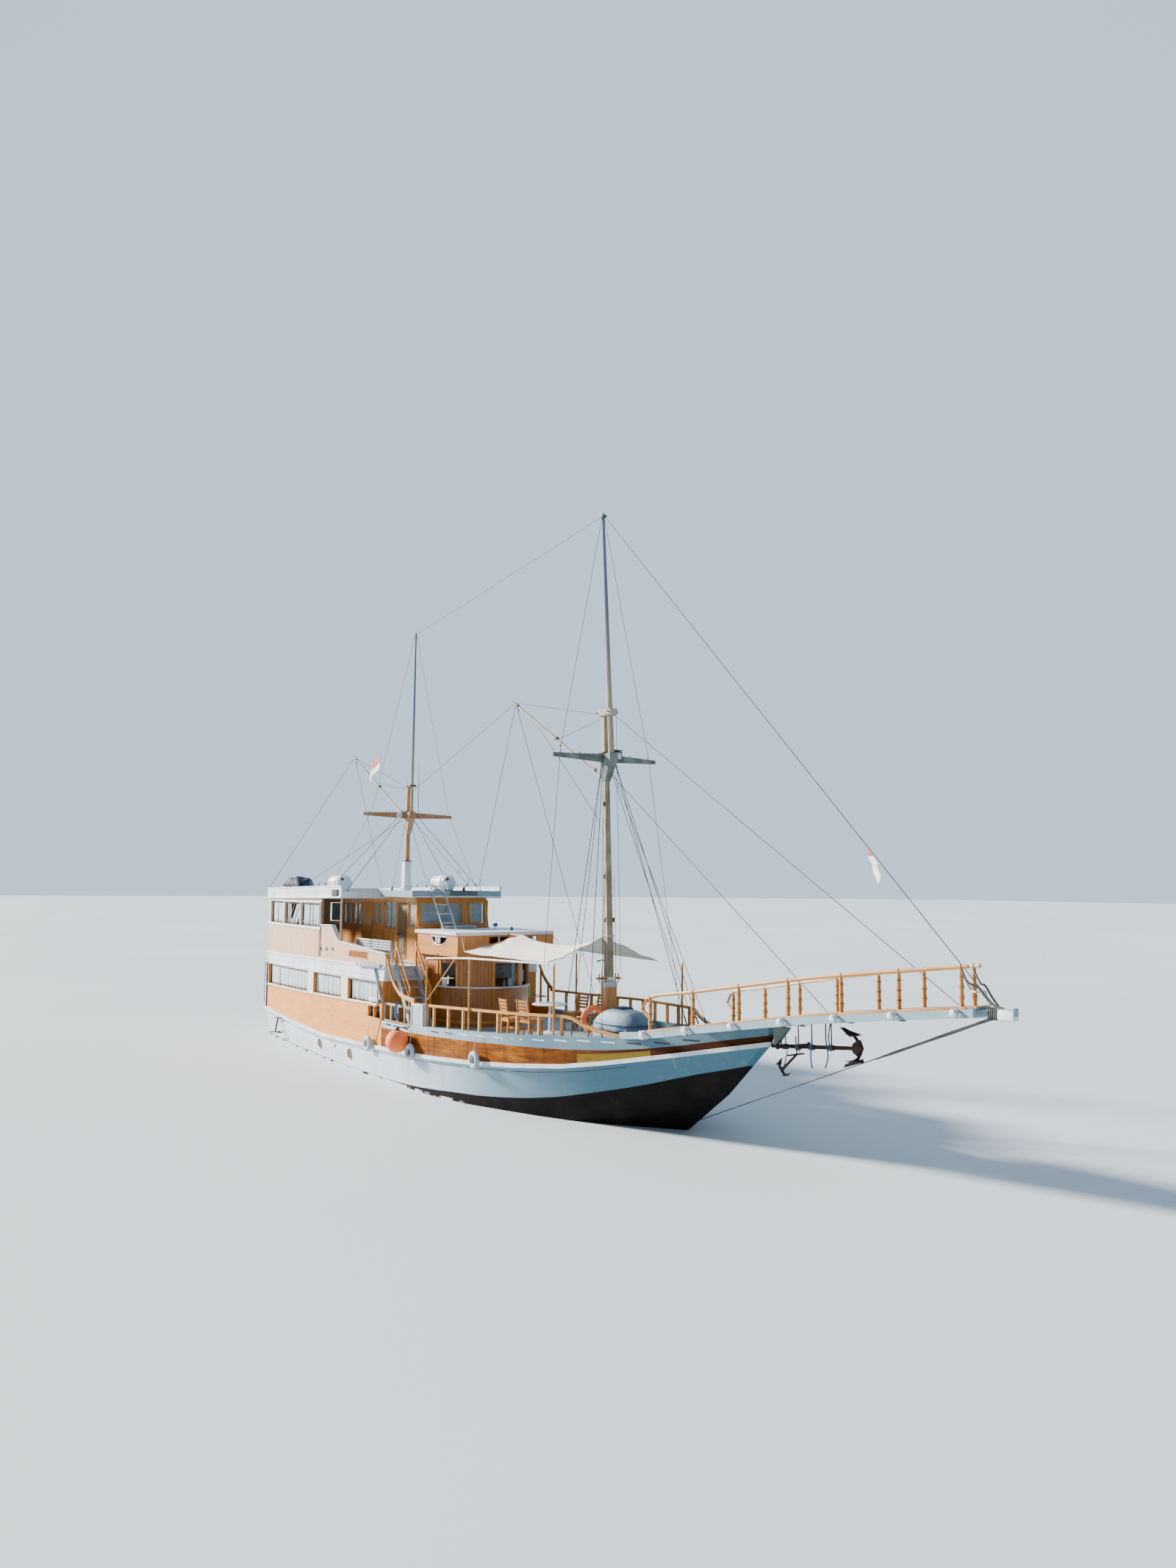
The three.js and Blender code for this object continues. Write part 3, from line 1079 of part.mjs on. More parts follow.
addPart('main_mast', makeMainMast(), 'paleWood');
addPart('main_topmast', topmast(mainHeel, MAIN_TRUCK, MAIN_TOPMAST_RADIUS), 'greyWood');
addPart('main_crosstree', makeCrosstree(mainPost, mainX, mainHalf, MAIN_TREE_Z, MAIN_HEEL_X,
  MAIN_TOPMAST_RADIUS), 'greyWood');
addPart('main_gaff', makeGaff(mainPinX, MAIN_GAFF_Z, [3480, 0, 10120]), 'greyWood');
addPart('main_shrouds', makeShrouds(mainPost, mainX, mainHalf, MAIN_TREE_Z, mainLegs, gunwale), 'steel');
addPart('mizzen_mast', makeMizzenMast(), 'paleWood');
addPart('mizzen_topmast', topmast(mizzenHeel, MIZZEN_TRUCK, MIZZEN_TOPMAST_RADIUS), 'greyWood');
addPart('mizzen_crosstree', makeCrosstree(mizzenPost, mizzenX, mizzenHalf, MIZZEN_TREE_Z, MIZZEN_HEEL_X,
  MIZZEN_TOPMAST_RADIUS), 'greyWood');
addPart('mizzen_gaff', makeGaff(mizzenPinX, MIZZEN_GAFF_Z, [-6860, 0, 9510]), 'greyWood');
addPart('mizzen_shrouds', makeShrouds(mizzenPost, mizzenX, mizzenHalf, MIZZEN_TREE_Z, mizzenLegs, mainRoof),
  'steel');
addPart('head_stays', makeHeadStays(), 'steel');
addPart('propeller', makePropeller(), 'bronze');
addPart('rudder', makeRudder(), 'bottomPaint');

export default group;
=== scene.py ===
import random
from math import copysign, cos, pi, radians, sin

import bmesh
import bpy
from mathutils import Matrix, Vector
from mathutils.bvhtree import BVHTree


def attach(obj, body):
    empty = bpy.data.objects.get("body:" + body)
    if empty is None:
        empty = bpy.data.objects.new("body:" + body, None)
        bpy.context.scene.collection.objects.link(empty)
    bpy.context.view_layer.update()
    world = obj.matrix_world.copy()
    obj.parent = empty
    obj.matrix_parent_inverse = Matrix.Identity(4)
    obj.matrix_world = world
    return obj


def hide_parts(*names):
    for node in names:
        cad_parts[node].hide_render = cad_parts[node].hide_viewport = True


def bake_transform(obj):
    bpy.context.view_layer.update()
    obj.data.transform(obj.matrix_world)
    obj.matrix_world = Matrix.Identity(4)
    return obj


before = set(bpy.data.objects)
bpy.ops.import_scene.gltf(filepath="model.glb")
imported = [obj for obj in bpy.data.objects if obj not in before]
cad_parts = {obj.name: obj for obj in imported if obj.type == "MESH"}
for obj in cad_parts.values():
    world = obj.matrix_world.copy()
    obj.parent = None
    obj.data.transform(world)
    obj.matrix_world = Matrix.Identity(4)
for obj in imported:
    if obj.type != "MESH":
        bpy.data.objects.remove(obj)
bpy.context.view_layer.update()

# X runs forward from amidships, Y to port and Z up from the waterline
FORE, AFT = (1, 0, 0), (-1, 0, 0)
PORT, STARBOARD = (0, 1, 0), (0, -1, 0)
UP, DOWN = (0, 0, 1), (0, 0, -1)
SIGNS = (-1, 1)
SIDES = ((-1, "stbd"), (1, "port"))
SQUARE = ((-1, -1), (1, -1), (1, 1), (-1, 1))
SALOON_X = 2.0
HOUSE_AFT = -8.95
UPPER_DECK = 2.99

# Heights along the ship, by rows of (x, z)
BLACK_EDGE = [(-9.2, 0.08), (0.0, 0.06), (3.0, 0.09), (4.6, 0.18), (6.85, 0.31), (8.3, 0.49), (9.05, 0.64),
              (10.5, 0.98), (11.7, 1.32), (12.7, 1.58), (13.6, 1.85)]
SHEER = [(-8.95, 0.95), (-6.5, 0.87), (-3.2, 0.74), (-0.65, 0.79), (1.5, 0.85), (4.7, 0.95), (7.9, 1.14),
         (9.2, 1.29), (10.9, 1.6), (13.3, 2.08)]
DECK_EDGE = [(1.5, 1.37), (4.7, 1.46), (6.9, 1.53), (9.2, 1.62), (11.0, 1.82), (12.7, 2.14), (13.5, 2.29)]
GUNWALE_TOP = [(3.2, 1.6), (3.8, 1.63), (5.9, 1.73), (7.8, 1.81), (9.4, 1.93), (10.2, 1.95), (11.0, 2.02),
               (13.4, 2.43)]
FRAME_TOP = [(10.25, 2.09), (11.0, 2.165), (12.2, 2.375), (13.4, 2.57), (15.0, 2.83), (16.7, 3.045),
             (18.3, 3.235),
             (18.91, 3.3)]

IMAGE = (1600, 2133)
SENSOR = 36.0
FOCAL_PIXELS = 1600.0
CAMERA_PLACE = Vector((30.46, -16.63, 5.2))
CAMERA_HEADING = Vector((-0.8155, 0.5787, 0.0)).normalized()
CAMERA_PITCH = radians(4.89)
CAMERA_ROLL = radians(0.4655)

SUN_FROM = (-0.82, -0.5, 0.42)
SUN_ENERGY, SUN_ANGLE, SUN_COLOUR = 15.0, 0.12, (1.0, 0.93, 0.83)
SKY_COLOUR = (0.62, 0.8, 1.0, 1.0)
SKY_SHARE, SKY_STRENGTH = (-0.3, 0.8), (0.5, 1.25)
FLOOR_REACH = 400.0


def lift(z):
    """A way straight up."""
    return Vector((0, 0, z))


def add_object(name, data):
    """A new object in the scene, with no parent yet."""
    item = bpy.data.objects.new(name, data)
    bpy.context.scene.collection.objects.link(item)
    return item


def circle(count):
    """Cosine and sine of evenly spaced turns."""
    return [(cos(a), sin(a)) for a in (2 * pi * k / count for k in range(count))]


def make_camera():
    """The photograph's viewpoint, off the starboard bow and 5.2 m above the water."""
    data = bpy.data.cameras.new("camera")
    camera = add_object("camera", data)
    data.sensor_width = SENSOR
    data.lens = FOCAL_PIXELS * SENSOR / max(IMAGE)
    data.clip_start, data.clip_end = 0.5, 500.0
    forward = CAMERA_HEADING * cos(CAMERA_PITCH) + lift(sin(CAMERA_PITCH))
    right = Vector((CAMERA_HEADING.y, -CAMERA_HEADING.x, 0))
    up = right.cross(forward)
    side = right * cos(CAMERA_ROLL) + up * sin(CAMERA_ROLL)
    upright = up * cos(CAMERA_ROLL) - right * sin(CAMERA_ROLL)
    columns = (side, upright, -forward, CAMERA_PLACE)
    camera.matrix_world = Matrix([[column[i] for column in columns] for i in range(3)] + [(0, 0, 0, 1)])
    bpy.context.scene.camera = camera


# Materials

def tint(code):
    """Linear colour of a hexadecimal sRGB code."""
    parts = [int(code[i:i + 2], 16) / 255 for i in (0, 2, 4)]
    return tuple(c / 12.92 if c < 0.04045 else ((c + 0.055) / 1.055) ** 2.4 for c in parts) + (1.0,)


class Look:
    """A node material, built from short expressions."""

    def __init__(self, name, **values):
        self.material = bpy.data.materials.new(name)
        self.material.use_nodes = True
        self.tree = self.material.node_tree
        self.shader = self.tree.nodes["Principled BSDF"]
        for key, value in values.items():
            self.shader.inputs[key.replace("_", " ")].default_value = value
        self.place = self.node("TexCoord").outputs["Object"]
        self.grain = self.tree.nodes["Texture Coordinate"].outputs["UV"]
        split = self.node("SeparateXYZ", self.place)
        self.x, self.y, self.z = split.outputs

    def put(self, socket, value):
        """Links or sets a socket; a colour may be given by its code."""
        if isinstance(value, bpy.types.NodeSocket):
            self.tree.links.new(value, socket)
        elif value is not None:
            socket.default_value = tint(value) if isinstance(value, str) else value

    def node(self, kind, *inputs, **settings):
        node = self.tree.nodes.new("ShaderNode" + kind)
        for key, value in settings.items():
            setattr(node, key, value)
        for socket, value in zip(node.inputs, inputs):
            self.put(socket, value)
        return node

    def math(self, operation, a, b=None, c=None):
        return self.node("Math", a, b, c, operation=operation).outputs[0]

    def add(self, a, b):
        return self.math("ADD", a, b)

    def sub(self, a, b):
        return self.math("SUBTRACT", a, b)

    def mul(self, a, b):
        return self.math("MULTIPLY", a, b)

    def vector(self, x=0.0, y=0.0, z=0.0):
        return self.node("CombineXYZ", x, y, z).outputs[0]

    def stretch(self, vector, x, y, z):
        return self.node("VectorMath", vector, (x, y, z), operation="MULTIPLY").outputs[0]

    def noise(self, vector, scale=1.0, detail=3.0, rough=0.5, distort=0.0):
        node = self.node("TexNoise")
        for key, value in (("Vector", vector), ("Scale", scale), ("Detail", detail), ("Roughness", rough),
                           ("Distortion", distort)):
            self.put(node.inputs[key], value)
        return node.outputs["Fac"]

    def streaks(self, x, y, z, *values):
        """Noise at one scale for each axis; values are its detail, roughness and distortion."""
        return self.noise(self.stretch(self.place, x, y, z), 1.0, *values)

    def map(self, value, a, b, c=0.0, d=1.0):
        """From the range a to b into the range c to d."""
        return self.node("MapRange", value, a, b, c, d).outputs[0]

    def mix(self, share, a, b):
        node = self.tree.nodes.new("ShaderNodeMix")
        node.data_type = "RGBA"
        self.put(node.inputs[0], share)
        self.put(node.inputs[6], a)
        self.put(node.inputs[7], b)
        return node.outputs[2]

    def profile(self, value, rows):
        """A smooth curve through rows of (position, height)."""
        (x0, _), (x1, _) = rows[0], rows[-1]
        low, high = min(r[1] for r in rows), max(r[1] for r in rows)
        node = self.node("FloatCurve", 1.0, self.map(value, x0, x1))
        points = node.mapping.curves[0].points
        while len(points) < len(rows):
            points.new(0.5, 0.5)
        for point, (x, y) in zip(points, rows):
            point.location = ((x - x0) / (x1 - x0), (y - low) / (high - low))
        node.mapping.update()
        return self.map(node.outputs[0], 0.0, 1.0, low, high)

    def boards(self, across, pitch, gap):
        """Mask of the seams between boards, and a random number for each board."""
        share = self.math("DIVIDE", across, pitch)
        edge = self.math("ABSOLUTE", self.sub(self.math("FRACT", share), 0.5))
        seam = self.map(edge, 0.5 - gap / pitch, 0.5 - 0.3 * gap / pitch)
        number = self.tree.nodes.new("ShaderNodeTexWhiteNoise")
        number.noise_dimensions = "1D"
        self.put(number.inputs["W"], self.math("FLOOR", share))
        return seam, number.outputs["Value"]

    def bump(self, height, distance, strength=1.0):
        """Surface relief."""
        node = self.tree.nodes.new("ShaderNodeBump")
        self.put(node.inputs["Strength"], strength)
        self.put(node.inputs["Distance"], distance)
        self.put(node.inputs["Height"], height)
        self.put(self.shader.inputs["Normal"], node.outputs[0])

    def done(self, colour, rough=None):
        """Gives the shader its colour and roughness."""
        self.put(self.shader.inputs["Base Color"], colour)
        self.put(self.shader.inputs["Roughness"], rough)
        return self.material


def wood_tone(look, vector, light, dark, stretch=(1.4, 20.0, 20.0)):
    """Colour and height of wood whose grain runs along the vector's first axis."""
    rings = look.noise(look.stretch(vector, *stretch), 1.6, 5.0, 0.62, 1.4)
    fibre = look.noise(look.stretch(vector, stretch[0] * 5, stretch[1] * 9, stretch[2] * 9), 1.0, 2.0)
    tone = look.add(look.mul(rings, 0.75), look.mul(fibre, 0.25))
    colour = look.mix(look.map(tone, 0.34, 0.66), dark, light)
    return colour, tone


def wood(name, light, dark, vector="grain", rough=0.5, wear=None, **values):
    """Solid wood: small members carry their grain in UV, the frame's solids along X or Z."""
    look = Look(name, **values)
    if vector == "grain":
        source = look.grain
    elif vector == "z":
        source = look.vector(look.z, look.x, look.y)
    else:
        source = look.place
    colour, tone = wood_tone(look, source, light, dark)
    patches = look.noise(look.place, 2.3, 3.0)
    if wear:
        colour = look.mix(look.map(patches, 0.42, 0.66, 0.0, 0.85), colour, wear)
    look.bump(tone, 0.004, 0.5)
    return look.done(colour, look.map(patches, 0.3, 0.7, rough - 0.08, rough + 0.12))


def board_coordinate(look, way):
    """Distance across the boards, in metres, along x, along y or round the saloon."""
    if way == "x":
        return look.x
    if way == "y":
        return look.y
    ahead = look.sub(look.x, SALOON_X)
    angle = look.math("ARCTAN2", look.math("ABSOLUTE", look.y), look.math("MAXIMUM", ahead, 0.0001))
    return look.sub(look.mul(angle, -1.3), look.math("MINIMUM", ahead, 0.0))


def boarded(name, light, dark, seam_colour, way, pitch, gap=0.006, rough=0.45, spread=0.35, **values):
    """Upright boards with open seams, each board of its own tone."""
    look = Look(name, **values)
    across = board_coordinate(look, way)
    seam, number = look.boards(across, pitch, gap)
    shift = look.mul(number, 9.0)
    colour, tone = wood_tone(look, look.vector(look.z, look.add(across, shift), shift), light, dark)
    colour = look.mix(look.mul(number, spread), colour, dark)
    stains = look.streaks(3.0, 3.0, 0.7, 4.0)
    colour = look.mix(look.map(stains, 0.52, 0.75, 0.0, 0.45), colour, dark)
    colour = look.mix(look.mul(seam, 0.85), colour, seam_colour)
    look.bump(look.sub(look.mul(tone, 0.25), seam), 0.006, 0.6)
    return look.done(colour, look.map(stains, 0.3, 0.7, rough - 0.08, rough + 0.12))


def painted(name, colour, under, rough=0.5, chips=0.62, grime="6b6a60", **values):
    """Brushed paint on wood: faint brush marks, dirt in streaks and chips to the wood."""
    look = Look(name, **values)
    brush = look.streaks(3.0, 3.0, 30.0, 3.0)
    streaks = look.streaks(7.0, 7.0, 0.8, 4.0, 0.6)
    patches = look.noise(look.place, 1.1, 3.0)
    tone = look.mix(look.map(patches, 0.35, 0.7, 0.0, 0.35), colour, grime)
    tone = look.mix(look.map(streaks, 0.56, 0.75, 0.0, 0.4), tone, grime)
    chip = look.map(look.noise(look.place, 13.0, 5.0, 0.65), chips, chips + 0.03)
    tone = look.mix(chip, tone, under)
    look.bump(look.sub(look.mul(brush, 0.3), chip), 0.002, 0.5)
    return look.done(tone, look.map(streaks, 0.4, 0.7, rough - 0.06, rough + 0.15))


def hull_look():
    """White topsides over a dark bottom whose edge rises forward, with plank seams and run-down dirt; the
    white is painted darker and bluer towards the bow as painted shade.
    """
    look = Look("hull_paint")
    edge = look.profile(look.x, BLACK_EDGE)
    sheer = look.profile(look.x, SHEER)
    below = look.sub(sheer, look.z)
    seam, number = look.boards(below, 0.17, 0.004)
    wobble = look.streaks(2.0, 2.0, 2.0, 4.0)
    streaks = look.streaks(5.0, 5.0, 0.35, 5.0, 0.65)
    white = look.mix(look.map(wobble, 0.35, 0.7, 0.0, 0.5), "d3dfea", "a9b9c8")
    white = look.mix(look.mul(number, 0.22), white, "a3b2c0")
    # Painted shade: the white turns blue grey and then dark teal towards the bow.
    white = look.mix(look.map(look.x, 0.5, 6.5, 0.0, 0.8), white, "7fa3b6")
    white = look.mix(look.map(look.x, 5.0, 9.6, 0.0, 0.92), white, "1d5c73")
    white = look.mix(look.map(streaks, 0.57, 0.72, 0.0, 0.5), white, "8c8478")
    rust = look.mul(look.map(look.streaks(9.0, 9.0, 0.5, 3.0), 0.64, 0.72),
                    look.map(below, 0.0, 0.5, 1.0, 0.2))
    white = look.mix(look.mul(rust, 0.6), white, "8a5a35")
    white = look.mix(look.mul(seam, 0.35), white, "59626a")
    black = look.mix(look.map(wobble, 0.4, 0.65), "090808", "181213")
    black = look.mix(look.map(streaks, 0.58, 0.78, 0.0, 0.5), black, "2c2320")
    line = look.add(edge, look.mul(look.sub(wobble, 0.5), 0.012))
    share = look.map(look.z, look.add(line, -0.006), look.add(line, 0.006))
    low_band = look.mul(look.map(look.z, -0.03, -0.02), look.map(look.z, 0.045, 0.055, 1.0, 0.0))
    low_band = look.mul(low_band, look.map(look.x, 5.2, 5.6, 1.0, 0.0))
    colour = look.mix(share, black, white)
    colour = look.mix(look.mul(low_band, look.map(wobble, 0.4, 0.5)), colour, "cfd2cf")
    look.put(look.shader.inputs["Specular IOR Level"], look.map(share, 0.0, 1.0, 0.08, 0.4))
    look.bump(look.sub(look.mul(wobble, 0.4), seam), 0.004, 0.5)
    return look.done(colour, look.map(share, 0.0, 1.0, 0.62, 0.42))


def topside_look():
    """Varnished strakes that follow the sheer, a blank gold name panel, and grey deck planks on top; painted
    shade darkens the strakes towards the bow.
    """
    look = Look("varnished_strakes", Specular_IOR_Level=0.06)
    low = look.profile(look.x, SHEER[4:])
    high = look.profile(look.x, DECK_EDGE)
    share = look.math("DIVIDE", look.sub(look.z, low), look.sub(high, low))
    seam, number = look.boards(share, 0.25, 0.012)
    shift = look.mul(number, 17.0)
    vector = look.vector(look.add(look.x, shift), look.add(look.z, look.mul(look.x, -0.04)), shift)
    colour, tone = wood_tone(look, vector, "94520c", "512806", (0.8, 16.0, 1.0))
    worn = look.streaks(1.3, 1.3, 5.0, 5.0, 0.6)
    colour = look.mix(look.map(worn, 0.5, 0.72, 0.0, 0.75), colour, "ac6c18")
    # Painted shade: the strakes darken towards the bow.
    colour = look.mix(look.map(look.x, 7.5, 10.5, 0.0, 0.9), colour, "33170a")
    dark = look.streaks(6.0, 6.0, 1.2, 4.0)
    colour = look.mix(look.map(dark, 0.55, 0.75, 0.0, 0.7), colour, "33180b")
    colour = look.mix(look.mul(seam, 0.8), colour, "1d0f08")
    panel = look.mul(look.map(look.x, 9.2, 9.22), look.map(look.x, 10.98, 11.0, 1.0, 0.0))
    panel = look.mul(panel, look.mul(look.map(share, 0.1, 0.16), look.map(share, 0.72, 0.78, 1.0, 0.0)))
    panel = look.mul(panel, look.map(worn, 0.34, 0.42, 0.55, 0.9))
    colour = look.mix(panel, colour, "7c6622")
    top = look.map(look.node("SeparateXYZ", look.node("NewGeometry").outputs["Normal"]).outputs[2], 0.8, 0.9)
    plank, number = look.boards(look.y, 0.12, 0.006)
    deck = look.mix(look.map(worn, 0.3, 0.7), "a9b6be", "8794a0")
    deck = look.mix(look.mul(plank, 0.9), look.mix(look.mul(number, 0.3), deck, "77848f"), "3d4348")
    colour = look.mix(top, colour, deck)
    look.bump(look.sub(look.mul(tone, 0.4), look.mix(top, seam, plank)), 0.006, 0.7)
    return look.done(colour, look.map(worn, 0.3, 0.7, 0.34, 0.55))


def strake_look(name, light, dark):
    """Light oiled strakes along the after bulwark."""
    look = Look(name, Specular_IOR_Level=0.3)
    sheer = look.profile(look.x, SHEER)
    seam, number = look.boards(look.sub(look.z, sheer), 0.185, 0.003)
    shift = look.mul(number, 17.0)
    vector = look.vector(look.add(look.x, shift), look.z, shift)
    colour, tone = wood_tone(look, vector, light, dark, (0.7, 14.0, 1.0))
    worn = look.streaks(1.2, 1.2, 4.0, 5.0, 0.6)
    colour = look.mix(look.map(worn, 0.45, 0.7, 0.0, 0.5), colour, dark)
    drips = look.streaks(9.0, 9.0, 0.8, 3.0)
    colour = look.mix(look.map(drips, 0.6, 0.78, 0.0, 0.5), colour, "8a5a3a")
    colour = look.mix(look.mul(seam, 0.5), colour, "6a4028")
    look.bump(look.sub(look.mul(tone, 0.4), seam), 0.004, 0.5)
    return look.done(colour, look.map(worn, 0.3, 0.7, 0.42, 0.6))


def deck_look(name, light, dark, pitch):
    """Deck planks laid athwart, with dark caulking."""
    look = Look(name)
    seam, number = look.boards(look.x, pitch, 0.006)
    shift = look.mul(number, 23.0)
    vector = look.vector(look.add(look.y, shift), look.x, shift)
    colour, tone = wood_tone(look, vector, light, dark)
    colour = look.mix(look.mul(number, 0.3), colour, dark)
    worn = look.noise(look.place, 1.7, 4.0)
    colour = look.mix(look.map(worn, 0.45, 0.7, 0.0, 0.4), colour, "8f8577")
    colour = look.mix(look.mul(seam, 0.9), colour, "2a241f")
    look.bump(look.sub(look.mul(tone, 0.3), seam), 0.004, 0.6)
    return look.done(colour, look.map(worn, 0.3, 0.7, 0.55, 0.75))


def cloth(name, colour, shade, weave=900.0):
    """Woven cloth with a fine thread pattern, fading and creases."""
    look = Look(name, Sheen_Weight=0.25, Sheen_Roughness=0.5)
    warp = look.math("SINE", look.mul(look.x, weave))
    weft = look.math("SINE", look.mul(look.z, weave))
    thread = look.mul(warp, weft)
    fade = look.noise(look.place, 1.6, 4.0)
    fine = look.noise(look.place, 11.0, 4.0, 0.6)
    tone = look.mix(look.map(fade, 0.35, 0.7, 0.0, 0.6), colour, shade)
    tone = look.mix(look.map(fine, 0.5, 0.75, 0.0, 0.35), tone, shade)
    look.bump(look.add(look.mul(thread, 0.12), look.mul(fine, 1.0)), 0.006, 0.5)
    return look.done(tone, look.map(fade, 0.3, 0.7, 0.8, 0.95))


def plastic(name, colour, shade, rough=0.4, grain=60.0, **values):
    """Moulded plastic, a little chalky and scuffed."""
    look = Look(name, **values)
    scuff = look.noise(look.place, 6.0, 5.0, 0.6)
    fine = look.noise(look.place, grain, 3.0)
    tone = look.mix(look.map(scuff, 0.45, 0.7, 0.0, 0.6), colour, shade)
    look.bump(fine, 0.001, 0.4)
    return look.done(tone, look.map(scuff, 0.3, 0.7, rough - 0.1, rough + 0.2))


def metal(name, colour, shade, rough=0.4, metallic=0.9, rust=None):
    """Metal with a brushed grain, stains and rust where it has any."""
    look = Look(name, Metallic=metallic)
    stain = look.noise(look.place, 9.0, 5.0, 0.6)
    fine = look.streaks(40.0, 40.0, 160.0, 3.0)
    tone = look.mix(look.map(stain, 0.4, 0.7), colour, shade)
    if rust:
        tone = look.mix(look.map(look.noise(look.place, 23.0, 6.0, 0.7), 0.45, 0.62), tone, rust)
    look.bump(look.add(look.mul(fine, 0.3), look.mul(stain, 0.7)), 0.003 if rust else 0.0008, 0.6)
    return look.done(tone, look.map(stain, 0.3, 0.7, rough - 0.1, rough + 0.25))


ROPE_LAY = 0.02


def rope_look(name, colour, shade):
    """Laid rope: strands wind round, seen as slanted stripes along its length."""
    look = Look(name)
    split = look.node("SeparateXYZ", look.grain)
    turn = look.add(*[look.math("DIVIDE", out, ROPE_LAY) for out in split.outputs[:2]])
    strand = look.math("ABSOLUTE", look.sub(look.math("FRACT", turn), 0.5))
    tone = look.mix(look.map(strand, 0.1, 0.45), shade, colour)
    fuzz = look.noise(look.place, 40.0, 3.0)
    tone = look.mix(look.map(fuzz, 0.5, 0.8, 0.0, 0.4), tone, shade)
    look.bump(strand, 0.003, 0.8)
    return look.done(tone, 0.85)


def glass_look():
    """Thin window glass, slightly green, with smears."""
    look = Look("window_glass", Alpha=0.28, Specular_IOR_Level=0.6)
    smear = look.streaks(4.0, 4.0, 9.0, 3.0)
    look.bump(smear, 0.002, 0.15)
    tone = look.mix(look.map(smear, 0.4, 0.7), "cfdedd", "a9bcbd")
    return look.done(tone, look.map(smear, 0.3, 0.8, 0.04, 0.14))


THIN_COAT, VARNISH, SALOON_COAT, THICK_COAT = [
    {"Coat_Weight": weight, "Coat_Roughness": 0.3} for weight in (0.1, 0.2, 0.25, 0.3)]
HULL = hull_look()
TOPSIDES = topside_look()
STRAKES = strake_look("peach_strakes", "f0a752", "c97a28")
PINK_BOARDS = boarded("pale_boards", "e6c6a8", "be9068", "7d5c48", "x", 0.088, 0.005, 0.6, 0.45)
PINK_BOARDS_Y = boarded("pale_boards_across", "e6c6a8", "be9068", "7d5c48", "y", 0.088, 0.005, 0.6, 0.45)
# The side boards are painted lighter than the front boards: painted light.
HONEY_X = boarded("honey_boards_side", "f0a654", "c4813a", "4c2a10", "x", 0.095, 0.005, 0.4, 0.35,
                  **THIN_COAT)
HONEY_Y = boarded("honey_boards_front", "e09540", "a8692a", "4c2a10", "y", 0.095, 0.005, 0.4, 0.35,
                  **THIN_COAT)
SALOON_BOARDS = boarded("saloon_boards", "c47c2c", "8f5319", "432509", "round", 0.1, 0.005, 0.4, 0.4,
                        **SALOON_COAT)
HONEY = wood("honey_wood_grain", "d6923e", "a06225", rough=0.42, **VARNISH)
HONEY_Z = wood("honey_wood_upright", "d6923e", "a06225", "z", 0.42, **VARNISH)
HONEY_ALONG = wood("honey_wood_along", "d99845", "a56829", "x", 0.42, **VARNISH)
PEACH = wood("peach_wood_grain", "d9955c", "ad6b38", rough=0.5)
DOOR_WOOD = wood("door_wood", "85663f", "62492b", "z", 0.7)
DARK_WOOD = wood("dark_wood_grain", "6e3d1e", "3c1f0f", rough=0.4, **THICK_COAT)
PALE_Z = wood("pale_mast_wood", "978768", "6f624c", "z", 0.65, wear="a69c8c")
ARM_GREY = wood("crosstree_wood", "66706f", "42494a", "x", 0.8, wear="7f8786")
GAFF_GREY = wood("gaff_wood", "a29c90", "6d675d", "x", 0.7, wear="b4b0a8")
GREY = wood("greyed_wood_grain", "9d978c", "6b665e", rough=0.8, wear="b8b2a6")
WARM_SPAR = wood("warm_spar_wood", "b8804a", "87562c", rough=0.6, wear="9a8f80")
CREAM = painted("cream_paint", "efe3cf", "a98f72", 0.5, 0.66, grime="a3957f")
WHITE = painted("white_paint", "dfe6ee", "a98f72", 0.45, 0.68)
GREY_BLUE = painted("grey_blue_paint", "9aaebd", "a07d55", 0.5, 0.61)
ROOF_BLUE = painted("roof_blue_paint", "7b98ab", "b0a898", 0.55, 0.67)


def rail_paint(name, aft, fore):
    """Paint of the gunwale and the bowsprit frame, with painted shade that darkens it forward."""
    look = Look(name, Specular_IOR_Level=0.3)
    patches = look.noise(look.place, 1.3, 4.0)
    streaks = look.streaks(6.0, 6.0, 1.0, 4.0, 0.6)
    # Painted shade: the colour goes from the aft tint to the darker fore tint along x.
    tone = look.mix(look.map(look.x, 3.4, 8.0), aft, fore)
    tone = look.mix(look.map(patches, 0.4, 0.7, 0.0, 0.4), tone, "7f8c92")
    tone = look.mix(look.map(streaks, 0.58, 0.75, 0.0, 0.5), tone, "6e6455")
    chip = look.map(look.noise(look.place, 12.0, 5.0, 0.65), 0.64, 0.67)
    tone = look.mix(chip, tone, "8f7350")
    look.bump(look.sub(look.mul(patches, 0.3), chip), 0.002, 0.5)
    return look.done(tone, look.map(patches, 0.3, 0.7, 0.45, 0.65))


# The darker fore tints, and the darkened blue of the whole bowsprit frame, are painted shade.
RAIL_BLUE = rail_paint("gunwale_paint", "9fb6c4", "4f7589")
FRAME_BLUE = rail_paint("bowsprit_paint", "8fb0c2", "88a6b6")
BOTTOM = painted("bottom_paint_dark", "181314", "3a2a24", 0.6, 0.6, grime="2e2422")
DECK_PALE = deck_look("walk_planks", "c2a67e", "95795a", 0.13)
CANVAS = cloth("awning_canvas", "f2eee2", "d8d2c4", 700.0)
CURTAIN = cloth("pale_curtain", "b4c6cf", "8ea3ae", 900.0)
BLUE_CURTAIN = cloth("blue_curtain", "2c5aa0", "1b3c78", 900.0)
TARP = cloth("navy_tarp", "1d2c4c", "101a33", 400.0)
TARP_GREY = cloth("grey_tarp", "8f9fb0", "6b7b8e", 400.0)
COVER = cloth("tender_cover_cloth", "5f86a6", "44688a", 500.0)
TANK = plastic("tank_plastic_white", "e9edee", "c2c9cb", 0.35)
